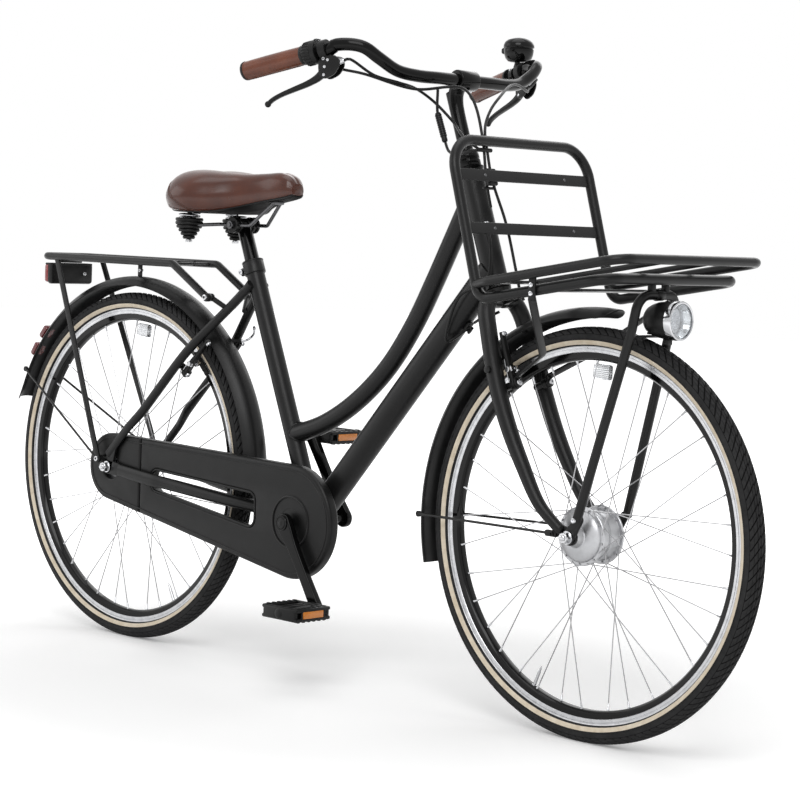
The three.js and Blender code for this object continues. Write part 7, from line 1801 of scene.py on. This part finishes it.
def add_stem():
    foot = on_fork(0, 0, STEERER_TOP + 0.3)
    neck = catmull([*(on_fork(forward, 0, up) for forward, up in NECK_PLACES), BAR_CENTRE], 20)
    girth = np.interp(np.linspace(0, 1, 21), (0, 0.5, 1), (STEM_RADIUS, 13.6, 15))
    piece("stem_body", merge(
        lathe(foot, HEAD_UP, LOCKNUT_PROFILE, 48), rod(foot, on_fork(0, 0, 790), STEM_RADIUS, 36),
        tapered(neck, girth, 36), dome(on_fork(0, 0, 786), HEAD_UP, STEM_RADIUS, 5),
        lathe(BAR_CENTRE, LEFT, mirrored(BAR_CLAMP_SIDE), 48)), "fork", GLOSS, "stem", sharp=40)
    low = BAR_CENTRE + polar(-0.9, 17) - UP * 4
    bolts = merge(bolt(on_fork(0, 0, 790.5), HEAD_UP, 6.5, 4.5), bolt(low, -UP, 5, 4))
    piece("stem_bolts", bolts, "fork", CHROME)


def add_handlebar():
    """A bar that sweeps back and turns straight where the levers and the grips sit."""
    half = catmull([BAR_CENTRE, *BAR_POINTS[1:-2], on_grip(LEVER_STRAIGHT), on_grip(5.3)], 90)
    whole = np.vstack([flip(half[:0:-1]), half])
    piece("handlebar_tube", tube(whole, BAR_RADIUS, 36), "fork", GLOSS, "handlebar")


LEVER_DOWN = unit(-UP + GRIP_LINE * np.dot(UP, GRIP_LINE))
LEVER_AXIS = unit(np.cross(GRIP_LINE, LEVER_DOWN))


def add_grips():
    """Leather sleeves with a stitched seam below, between a cap and a collar."""
    sleeve = [(5, 10.6), (5, 15.8), (6.5, 16.4)]
    sleeve += [(s, GRIP_RADIUS - GRIP_CROWN * (1 - math.sin(math.pi * (s - 5) / 122) ** 0.5))
               for s in np.linspace(8, 124, 30)]
    sleeve += [(126, 15.2), (GRIP_LENGTH, 14.4), (GRIP_LENGTH, 11.2)]
    seam = [tube([on_grip(s) + LEVER_DOWN * 16.1 for s in np.linspace(9, 121, 12)], 0.9, 8)]
    threads = []
    for tilt in (-SEAM_TILT, SEAM_TILT):
        out = unit(LEVER_DOWN + LEVER_AXIS * tilt)
        threads.append(stitches([on_grip(s) + out * 16.4 for s in np.linspace(10, 120, 40)], 5, 3, 0.55))
    ends = merge(on_grip_lathe(GRIP_CAP), on_grip_lathe(GRIP_COLLAR))
    for side, turned in SIDES:
        name = f"grip_{side}"
        piece(f"{name}_leather", turned(on_grip_lathe(sleeve)), "fork", GRIP, name, sharp=50)
        piece(f"{name}_cap", turned(ends), "fork", PLASTIC)
        piece(f"{name}_stitches", turned(merge(*threads, *seam)), "fork", SEAM)


# Brake levers. Places on a bracket are given outwards along the grip, down and across from its clamp.
CLAMP_FROM = GRIP_LENGTH + RING_GAP + LEVER_FREE + 5
CLAMP_MIDDLE = on_grip(CLAMP_FROM + CLAMP_LENGTH / 2)
CLAMP_PROFILE = ((0, 11.5), (0, 16), (1, 17), (13, 17), (14, 16), (14, 11.5))
LEVER_CHEEK = ((8, 12), (13, 27), (14, 42), (4, 51), (-16, 47), (-29, 34), (-29, 19), (-12, 13))
CHEEK_OFFSET = 8.6
CHEEK_MIDDLE = (-8, 28)
BRACKET_PINS = ((0, 30), (4, 43), (-8, 20))
CHEEK_INNER, CHEEK_OUTER = 1.6, 1.6
CLAMP_WEB, NECK_WEB = (27, 9, 19), (6, 27, 18)
WEDGE_WIDTHS, WEDGE_HEIGHTS = (17, 12.4), (25, 12.4)
PIVOT_DOWN = 30
PIVOT_HALF, PIVOT_RADIUS = 5.3, 8.6
BALL_RADIUS = 5.6
BARREL_DOWN = 26
BARREL_LENGTH = 13.4
BARREL_START = -21.5
# The blade's course: shares of its length outwards and of its reach down, then its width and thickness.
BLADE_COURSE = (
    (0, 0), (0.08, 0.26), (0.18, 0.5), (0.34, 0.68), (0.55, 0.8), (0.78, 0.94), (0.92, 1.1), (1, 1.28))
BLADE_LONG, BLADE_REACH = 128, 28
BLADE_WIDTHS = ((0, 0.12, 0.35, 0.85, 1), (13, 13, 12.5, 12.5, 11))
BLADE_THICK = ((0, 0.12, 0.3, 0.8, 1), (16, 14.5, 11, 7.5, 7))
LEVER_AXES = (GRIP_LINE, LEVER_DOWN, LEVER_AXIS)


def by_lever(outwards, down, across):
    return CLAMP_MIDDLE + GRIP_LINE * outwards + LEVER_DOWN * down + LEVER_AXIS * across


def rounded_corners(outline, steps=5):
    """A closed outline with each corner turned into a short curve."""
    places = np.array(outline, float)
    soft = []
    for before, corner, after in zip(np.roll(places, 1, 0), places, np.roll(places, -1, 0)):
        start, end = corner + (before - corner) * 0.35, corner + (after - corner) * 0.35
        for t in np.linspace(0, 1, steps):
            soft.append(start * (1 - t) ** 2 + corner * 2 * t * (1 - t) + end * t ** 2)
    return soft


def lever_cheek(side):
    place = side * CHEEK_OFFSET
    cheek = np.array([by_lever(far, low, place) for far, low in rounded_corners(LEVER_CHEEK)])
    eased = mid(cheek, by_lever(*CHEEK_MIDDLE, place), 0.06)
    out = LEVER_AXIS * side
    return loft([cheek - out * CHEEK_INNER, cheek + out * 1.0, eased + out * CHEEK_OUTER])


def lever_bracket():
    """A clamp on the bar, a web, two cheeks and a wedge that narrows to the cable's barrel."""
    wedge = catmull([by_lever(4, 27, 0), by_lever(-8, 26.5, 0), by_lever(-22, BARREL_DOWN, 0)], 10)
    sizes = list(zip(np.linspace(*WEDGE_WIDTHS, 11), np.linspace(*WEDGE_HEIGHTS, 11)))
    return merge(
        on_grip_lathe(CLAMP_PROFILE, CLAMP_FROM, 44),
        brick(by_lever(-3, 17.2, 0), CLAMP_WEB, 3, LEVER_AXES),
        brick(by_lever(-12.3, 25, 0), NECK_WEB, 2.4, LEVER_AXES),
        lever_cheek(1), lever_cheek(-1),
        sweep(wedge, rounded(1, 1, 0.35, 5), sizes, across=LEVER_AXIS))


def lever_metal():
    """The cable's barrel with its knurls, the bracket's pins and the clamp's screw."""
    knurls = [(1.0 + k * 1.1 + d, r) for k in range(3) for d, r in ((0, 6.0), (0.55, 5.5))]
    profile = [(0, 5.4), (0.6, 5.8), *knurls, (4.6, 6.0), (5.4, 5.6), (9, 4.6), (12.4, 3.8), (13.2, 3.4),
               (BARREL_LENGTH, 2.6)]
    barrel = lathe(by_lever(BARREL_START, BARREL_DOWN, 0), -GRIP_LINE, profile, 28)
    pins = [bolt(by_lever(far, low, s * 10.0), LEVER_AXIS * s, 2.6, 1.2)
            for s in (1, -1) for far, low in BRACKET_PINS]
    return merge(barrel, *pins, bolt(by_lever(0, 16, -9.5), -LEVER_AXIS, 2.8, 1.6))


def lever_blade():
    path = catmull([by_lever(BLADE_LONG * far, PIVOT_DOWN + BLADE_REACH * low, 0)
                    for far, low in BLADE_COURSE], 40)
    places = np.linspace(0, 1, 41)
    sizes = list(zip(np.interp(places, *BLADE_WIDTHS), np.interp(places, *BLADE_THICK)))
    ball = [dome(path[-1], way, BALL_RADIUS, BALL_RADIUS, 6, 28) for way in (GRIP_LINE, -GRIP_LINE)]
    hub = rod(by_lever(0, PIVOT_DOWN, -PIVOT_HALF), by_lever(0, PIVOT_DOWN, PIVOT_HALF), PIVOT_RADIUS, 32, 1)
    return merge(sweep(path, rounded(1, 1, 0.42, 5), sizes, across=LEVER_AXIS), *ball, hub)


def add_levers():
    bracket, fittings, blade = lever_bracket(), lever_metal(), lever_blade()
    for side, turned in SIDES:
        mount, lever = f"brake_mount_{side}", f"brake_lever_{side}"
        piece(f"{mount}_body", turned(bracket), "fork", PLASTIC, mount, sharp=40)
        piece(f"{mount}_bolts", turned(fittings), "fork", CHROME)
        piece(f"{lever}_blade", turned(blade), f"lever_{side}", PLASTIC, lever, sharp=50)


# Twist shifter and bell. The shifter's rings: distance inwards, radius and how far its ribs stand out.
SHIFTER_START = GRIP_LENGTH + RING_GAP
SHIFTER_RIBS = 22
SHIFTER_RINGS = (
    (0, 17, 0), (0.6, 18.4, 0), (2, 19.2, 0), (3, 19.6, 1.4), (15, 19.8, 1.4), (16.5, 19.8, 0),
    (17.2, 18.8, 0))
SHIFTER_DRUM = ((0, 16), (0, 20.2), (0.8, 21), (8, 21), (9, 20), (9, 12))
BELL_CLAMP = ((0, 11.4), (0, 13.6), (0.8, 14.4), (10.2, 14.4), (11, 13.6), (11, 11.4))
BELL_PROFILE = (
    (-20, 1), (-20, 14), (-18.4, 19.6), (-13, 24.4), (-6, 26.8), (0, 27.6), (4, 27.8), (4.6, 27.2), (5, 26.2),
    (6.2, 26.2), (6.6, 28), (7.8, 28.8), (12, 28.4), (17, 26.2), (21.4, 21.4), (24.6, 14.5),
    (26.2, 8), (26.8, 1))
BELL_FOOT = ((0, 7), (0.5, 9), (2, 12), (4, 13))


def add_shifter():
    side = unit(np.cross(GRIP_LINE, UP))
    up = np.cross(GRIP_LINE, side)
    turns = np.linspace(0, TAU, SHIFTER_RIBS * 6, endpoint=False)
    ridges = [max(0, math.cos(t * SHIFTER_RIBS)) ** 0.5 for t in turns]
    rings = [[on_grip(SHIFTER_START + h) + (side * math.cos(t) + up * math.sin(t)) * (base + rib * ridge)
              for t, ridge in zip(turns, ridges)] for h, base, rib in SHIFTER_RINGS]
    drum = on_grip_lathe(SHIFTER_DRUM, SHIFTER_START + 17)
    ring = mirror(merge(loft(rings), drum))
    piece("twist_shifter_ring", ring, "shifter", PLASTIC, "twist_shifter", sharp=40)
    axes = (GRIP_LINE, np.cross(GRIP_LINE, UP), UP)
    window = brick(on_grip(SHIFTER_START + 21.5) + UP * 20.2, (7, 16, 3), 1.2, axes)
    piece("twist_shifter_window", mirror(window), "shifter", GLASS)


def add_bell():
    ring = on_grip(GRIP_LENGTH + 16)
    foot = ring + UP * BAR_RADIUS
    base = ring + UP * (GRIP_RADIUS + 27) + FORWARD * 5
    stem = catmull([foot + UP * 2, foot + vec(3, 0, 10), base + vec(-2, 0, -6), base + UP], 14)
    piece("bell_body", merge(
        lathe(base, UP, BELL_PROFILE, 64), on_grip_lathe(BELL_CLAMP, GRIP_LENGTH + 10.5, 40),
        tube(stem, 5.6, 20), lathe(base - UP * 12, UP, BELL_FOOT, 40)), "fork", SHINY, "bell", sharp=40)
    thumb = tube(catmull([base + vec(-22, 0, 1), base + vec(-30, 0, 1.5), base + vec(-35, 0, 2)], 8), 3.4, 14)
    piece("bell_lever", merge(thumb, brick(base + vec(-34, 0, 2), (11, 13, 12), 4)), "fork", PLASTIC)
    piece("bell_bolt", bolt(foot + vec(-12, 0, -2), -FORWARD, 4, 3), "fork", CHROME)


# Front carrier: a standing hoop with a lower loop, an upper loop, and struts and stays down to the fork.
HOOP_RADIUS = 9
HOOP_HALF = 173
HOOP_TILT = math.radians(17)
HOOP_FOOT = vec(1081, HOOP_HALF, 737)
HOOP_LENGTH = 276
HOOP_BARS = (0.445, 0.78)
LOOP_RADIUS = 8
LOOP_HALF = 190
LOOP_RISE = math.radians(9.8)
LOOP_LENGTH = 311
LOOP_GAP = 26
LOWER_LENGTH = 272
LOOP_LINE, LOOP_UP = polar(LOOP_RISE), polar(LOOP_RISE + math.pi / 2)
HOOP_LINE, HOOP_BACK = polar(math.pi / 2 + HOOP_TILT), polar(math.pi + HOOP_TILT)
HOOP_TOP = HOOP_FOOT + HOOP_LINE * HOOP_LENGTH
STRUT_RADIUS = 8
STRUT_HALF = 50
STRUT_BOSS_OUTER = 61.8
STRUT_LOW = vec(FRONT_AXLE[0] + 22, STRUT_BOSS_OUTER + STRUT_RADIUS / 2, FRONT_AXLE[2] + 31.5)
STRUT_BEND, STRUT_TOP = vec(1304, STRUT_HALF, 690), vec(1318, STRUT_HALF, 757)
LAMP_TAB_OFFSET = 18
STAY_PLACE = 127
STAY_OUTSIDE = HOOP_HALF + HOOP_RADIUS + 2.3
STAY_KNEE = vec(1130, 62, 648)
STAY_EYE = 9
STRUT_BAR_PLACE = 240
UPPER_BAR_PLACE = 24
RAIL_PLACE, RAIL_THICK = 62, 5
# Flat bars: width, thickness and edge.
CROSSBAR = (20, 4, 1.3)
STAY_BAR = (14, 4, 1)
LAMP_BAR, LAMP_TAB = (14, 4, 1.2), (11, 11, 2)
RIVET = (3.2, 1.7, 4, 16)
HOOP_RIVET_OFFSET, LOOP_RIVET_OFFSET = 102, 120
HOOP_CORNER, FOOT_CORNER, LOOP_CORNER, STRUT_CORNER = 55, 26, 34, 26
PIN_TIP = at(FRONT_BRAKE.pivot, BOSS_OFFSET) + HEAD_FORWARD * 7.6


def on_lower(forward, y):
    return at(HOOP_FOOT + LOOP_LINE * forward, y)


def on_upper(forward, y):
    return on_lower(forward, y) + UP * LOOP_GAP


def hoop_place(share, y):
    return at(HOOP_FOOT + HOOP_LINE * HOOP_LENGTH * share, y)


def crossbar(place, where, half, wide):
    return bar([place(where, half), place(where, -half)], wide, *CROSSBAR)


def mirrored_path(half):
    """A path that ends on the middle plane, with its other half behind it."""
    half = np.array(half)
    return np.vstack([half[:-1], flip(half[::-1])])


def add_hoop():
    middle, lower = hoop_place(0.5, HOOP_HALF), on_lower(LOWER_LENGTH / 2, HOOP_HALF)
    half = bent([at(HOOP_TOP, 0), HOOP_TOP, middle], HOOP_CORNER, 12)[:-1]
    half += bent([middle, HOOP_FOOT, lower], FOOT_CORNER, 10)[1:-1]
    half += bent([lower, on_lower(LOWER_LENGTH, HOOP_HALF), on_lower(LOWER_LENGTH, 0)], LOOP_CORNER, 10)[1:]
    whole = mirrored_path(half)[:-1]
    piece("front_rack_hoop", tube(whole, HOOP_RADIUS, 32, closed=True), "fork", PAINT, "front_rack")
    bars = [crossbar(hoop_place, share, HOOP_HALF, HOOP_LINE) for share in HOOP_BARS]
    bars += [crossbar(on_lower, place, HOOP_HALF, LOOP_LINE) for place in (STAY_PLACE, STRUT_BAR_PLACE)]
    piece("front_rack_bars", merge(*bars), "fork", PAINT)


def add_upper_loop():
    half = bent([on_upper(-HOOP_RADIUS, HOOP_HALF), on_upper(34, LOOP_HALF), on_upper(LOOP_LENGTH, LOOP_HALF),
                 on_upper(LOOP_LENGTH, 0)], LOOP_CORNER, 10)
    rails = [rod(on_upper(UPPER_BAR_PLACE, y), on_upper(LOOP_LENGTH, y), RAIL_THICK, 24)
             for y in (RAIL_PLACE, -RAIL_PLACE)]
    piece("front_rack_loop_tubes", merge(
        tube(mirrored_path(half), LOOP_RADIUS, 32), *rails,
        crossbar(on_upper, UPPER_BAR_PLACE, LOOP_HALF, LOOP_LINE)), "fork", PAINT, "front_rack_loop")


def add_struts():
    """One bent tube over the wheel, with bosses on the axle, tabs to the lower loop and the lamp's bar."""
    half = bent([STRUT_LOW, STRUT_BEND, STRUT_TOP, at(STRUT_TOP, 0)], STRUT_CORNER, 12)
    strut = tube(mirrored_path(half), STRUT_RADIUS, 28)
    boss = slab([belt(FRONT_AXLE, 12, at(STRUT_LOW, 0), STRUT_RADIUS), hole(FRONT_AXLE, AXLE_HOLE)],
                STRUT_BOSS_OUTER - 5, STRUT_BOSS_OUTER, 1)
    tab_ends = [at(STRUT_TOP, LAMP_TAB_OFFSET), on_lower(STRUT_BAR_PLACE, LAMP_TAB_OFFSET)]
    tab = bar(tab_ends, FORWARD, *LAMP_TAB)
    lamp_bar_end = mid(STRUT_LOW, STRUT_BEND, 0.997)
    lamp_bar = bar([lamp_bar_end, flip(lamp_bar_end)], FORWARD, *LAMP_BAR)
    piece("front_rack_strut_tubes", merge(
        strut, both(merge(boss, tab)), cross_rod(STRUT_TOP, -9, 9, 9.6, 28, 1.5), lamp_bar),
        "fork", PAINT, "front_rack_struts")


def add_front_stays():
    low = on_lower(STAY_PLACE, STAY_OUTSIDE)
    plate = bar([on_upper(STAY_PLACE, STAY_OUTSIDE), low - UP * 18], FORWARD, *STAY_BAR)
    hanger = bar([low - UP * 13, STAY_KNEE, PIN_TIP + HEAD_UP * 9.5, PIN_TIP], LEFT, *STAY_BAR)
    eye = rod(PIN_TIP - HEAD_FORWARD * 2, PIN_TIP + HEAD_FORWARD * 2, STAY_EYE, 32, 0.8)
    piece("front_rack_stays", both(merge(plate, hanger, eye)), "fork", PAINT)


def add_front_rack_metal():
    """Rivets in the flat bars, and bolts at the stays' plates, the brake pins and the axle."""
    rivets = [dome(hoop_place(share, y) - HOOP_BACK * 1.6, -HOOP_BACK, *RIVET)
              for share in HOOP_BARS for y in (-HOOP_RIVET_OFFSET, HOOP_RIVET_OFFSET)]
    rivets += [dome(on_lower(STRUT_BAR_PLACE, y) + LOOP_UP * 1.9, LOOP_UP, *RIVET)
               for y in (-LOOP_RIVET_OFFSET, LOOP_RIVET_OFFSET)]
    bolts = []
    for side in (1, -1):
        out = LEFT * side
        for lift in (2, 16):
            place = on_lower(STAY_PLACE, side * (HOOP_HALF + 13.3)) + UP * (lift - 0.3 * LOOP_GAP)
            bolts.append(bolt(place, out, 4.2, 3))
        bolts.append(bolt(at(PIN_TIP, side * BOSS_OFFSET) + HEAD_FORWARD * 2, HEAD_FORWARD, 5.4, 4))
        bolts.append(bolt(at(STRUT_LOW, side * (STRUT_BOSS_OUTER + 11.8)), out, 4.4, 3))
    piece("front_rack_rivets", merge(*rivets), "fork", DARK_STEEL)
    piece("front_rack_bolts", merge(*bolts), "fork", CHROME)


# Headlamp: bullet housing, bright ring, mirror bowl, lamp and clear lens.
LAMP_REAR = vec(1296, 0, 717)
LAMP_SHELL = (
    (0, 1), (0, 8), (2, 13), (5, 17), (10, 22), (18, 26.2), (28, 29.2), (40, 30.6), (52, 31), (62, 31),
    (62.5, 30.2), (66, 30.2), (66.5, 29), (66, 28.4), (60, 28.4), (40, 27))
LAMP_FOOT = ((0, 6.5), (0.6, 7.4), (3, 7.4), (4, 5.6), (10, 5.4))
LAMP_RING = (
    (58, 28.6), (58, 31.2), (59, 32.4), (69, 32.8), (71.6, 32), (72.6, 30.2), (71.8, 28.4), (68, 28.2),
    (58, 28.6))
LAMP_GLASS = (
    (69.6, 0.3), (69.4, 13), (68.9, 24), (68.6, 28), (69.4, 28), (70.2, 26), (70.8, 20), (71.0, 13),
    (71.1, 6), (71.1, 0.3))
BOWL_BACK, BOWL_DEPTH, BOWL_RADIUS = 34, 33, 27.8
BOWL_FLUTE, BOWL_FLUTE_STEPS = 1.4, 8
BULB_BACK, BULB_FRONT = 30, 46


def lamp_ring(h, r, flute=0.0):
    """A ring of the lamp's mirror or glass, square to its line; flutes stand out on half of its steps."""
    return [LAMP_REAR + FORWARD * (h + (flute if k % BOWL_FLUTE_STEPS < BOWL_FLUTE_STEPS / 2 else 0))
            + (LEFT * a + UP * b) * r for k, (a, b) in enumerate(circle(48))]


def add_headlamp():
    foot = lathe(vec(1307, 0, 692.5), UP, LAMP_FOOT, 28)
    housing = merge(lathe(LAMP_REAR, FORWARD, LAMP_SHELL, 64), foot)
    piece("headlamp_housing", housing, "fork", PLASTIC, "headlamp", sharp=40)
    piece("headlamp_ring", lathe(LAMP_REAR, FORWARD, LAMP_RING, 72), "fork", CHROME)
    bowl = [(BOWL_BACK + BOWL_DEPTH * t ** 1.6, BOWL_RADIUS * t) for t in np.linspace(0.02, 1, 14)]
    rings = [lamp_ring(h, r, BOWL_FLUTE) for h, r in bowl]
    rings += [lamp_ring(h - 1.2, r + 0.3) for h, r in reversed(bowl)]
    piece("headlamp_mirror", loft(rings), "fork", MIRROR, sharp=12)
    glass = loft([lamp_ring(h, r) for h, r in LAMP_GLASS])
    piece("headlamp_glass", glass, "fork", GLASS, "headlamp_lens", sharp=40)
    front = LAMP_REAR + FORWARD * BULB_FRONT
    bulb = merge(rod(LAMP_REAR + FORWARD * BULB_BACK, front, 6.5, 24, 1), dome(front, FORWARD, 4.6, 7, 6, 24))
    piece("headlamp_bulb", bulb, "fork", DARK_STEEL)
    piece("headlamp_tab", brick(vec(1341, 0, 682), (10, 14, 10), 1.5), "fork", PLASTIC)


# Cables follow the same routes as in the frame.
CABLE_RADIUS = 2.5
HOOP_CLIP = (28, -77, 226)
BARREL_MOUTH = 9
ADJUSTER_PITCH = 4.2
ADJUSTER_RIB = ((0, 5.9), (2.2, 5.9), (2.6, 5.0), (3.8, 5.0))
EYELET_PROFILE = ((0, 4.6), (0, 6.4), (1.2, 6.8), (2.4, 6.2), (3.2, 4.4), (3.2, 2.7))
DOWN_CLIP_SHARE = 0.825
DOWN_CLIP_SIZE, HOOP_CLIP_SIZE, BAR_CLIP_SIZE, TIE_SIZE = (20, 13, 6), (10, 33, 7), (9, 22, 30), (8, 24, 5)


def from_head(*route):
    """A cable's places, given forward of the foot of the head tube, left and up from it."""
    return [HEAD_LOW + vec(*place) for place in route]


RIGHT_BRAKE_ROUTE = from_head(
    (-129, -190, 346), (-109, -150, 336), (-114, -105, 330), (-111, -60, 310), (-80, -42, 276),
    (-34, -70, 254), (11, -92, 236), (28, -88, 226))
SHIFTER_ROUTE = from_head(
    (-210, -234, 368), (-179, -227, 356), (-142, -205, 348), (-98, -120, 327), (-66, -70, 334),
    (-39, -67, 332), (-14, -71, 318), (1, -71, 295), (19, -75, 253), (28, -78, 226), (38, -83, 191),
    (40, -79, 164), (42, -70, 130))
LEFT_BRAKE_ROUTE = from_head(
    (-129, 207, 350), (-98, 168, 343), (-79, 125, 350), (-64, 88, 348), (-24, 14, 322), (-9, -24, 298),
    (4, -50, 273), (18, -66, 252), (28, -70, 226), (38, -71, 191), (42, -64, 165), (64, -54, 103),
    (88, -51, 25), (96, -47, -10), (104, -46, -24))
ADJUSTER_ROUTE = from_head((-93, -70, 330), (-95, -66, 290), (-74, -66, 240))
ADJUSTER_TAIL_ROUTE = from_head((-49, -80, 222), (-4, -94, 220), (28, -92, 226))
FRAME_ROUTE = from_head(
    (-12, -22, 102), (2, -29, 86), (10, -31, 60), (8, -32, 13), (-9, -37, -6), (-49, -37, -22),
    (-78, -33, -70), (-88, -26, -106))
LOOP_ROUTE = from_head((-64, 3, -89), (-49, -4, -80))
FORK_LOOP_ROUTE = ((925, -10, 690), (945, -18, 697), (964, -20, 702), (985, -14, 712))


def cable(points, steps=70):
    return tube(catmull(points, steps), CABLE_RADIUS, 14)


def add_bar_cables():
    """The two brake cables and the shifter's, then the inline adjuster's."""
    barrel_end = by_lever(BARREL_START - BARREL_LENGTH + 0.2, BARREL_DOWN, 0)
    mouth = [barrel_end, barrel_end - GRIP_LINE * BARREL_MOUTH]
    piece("bar_cable_sleeves", merge(
        cable([*(flip(p) for p in mouth), *RIGHT_BRAKE_ROUTE]), cable(SHIFTER_ROUTE),
        cable([*mouth, *LEFT_BRAKE_ROUTE]), cable([*ADJUSTER_ROUTE, *ADJUSTER_TAIL_ROUTE], 40)),
        "fork", SLEEVE, "bar_cables")
    a, b = ADJUSTER_ROUTE[1:]
    length = np.linalg.norm(b - a)
    count = int((length - 10) / ADJUSTER_PITCH)
    ribs = [(4 + k * ADJUSTER_PITCH + d, r) for k in range(count) for d, r in ADJUSTER_RIB]
    adjuster = lathe(a, b - a, [
        (0, 2.6), (0.5, 4.6), (3, 5.2), *ribs, (length - 3, 5.2), (length - 0.5, 4.4), (length, 2.6)], 28)
    clip = brick(*from_head(HOOP_CLIP), HOOP_CLIP_SIZE, 2.4)
    behind_bar = hoop_place(HOOP_BARS[1], HOOP_CLIP[1]) + HOOP_BACK * 8
    bar_clip = brick(behind_bar, BAR_CLIP_SIZE, 3, (HOOP_BACK, LEFT, HOOP_LINE))
    tie = brick(vec(1004, -76, 922), TIE_SIZE, 2)
    piece("cable_clips", merge(adjuster, clip, bar_clip, tie), "fork", PLASTIC)


def add_frame_cable():
    """The cable from the eyelet in the head tube to the down tube's clip, and its short end behind it."""
    down_line = unit(DOWN_END - BRACKET)
    under = vec(down_line[2], 0, -down_line[0])
    clip = mid(BRACKET, DOWN_END, DOWN_CLIP_SHARE) + under * (DOWN_RADIUS + 3)
    end = clip + under * CABLE_RADIUS
    sleeves = merge(cable([*FRAME_ROUTE, end], 50), cable([end, *LOOP_ROUTE], 16))
    piece("frame_cable_sleeves", sleeves, "frame", SLEEVE, "frame_cables")
    block = brick(clip, DOWN_CLIP_SIZE, 2, (down_line, LEFT, under))
    piece("down_tube_clip", merge(block, bolt(clip + under * 3, under, 3.4, 2)), "frame", PLASTIC)
    eyelet = lathe(FRAME_ROUTE[0], FRAME_ROUTE[1] - FRAME_ROUTE[0], EYELET_PROFILE, 28)
    piece("cable_eyelet", eyelet, "frame", CHROME)
    piece("fork_cable_loop", cable(FORK_LOOP_ROUTE, 20), "fork", SLEEVE)


for add_part in (
        add_fork, add_stem, add_handlebar, add_grips, add_levers, add_shifter, add_bell, add_hoop,
        add_upper_loop, add_struts, add_front_stays, add_front_rack_metal, add_headlamp, add_bar_cables,
        add_frame_cable):
    add_part()
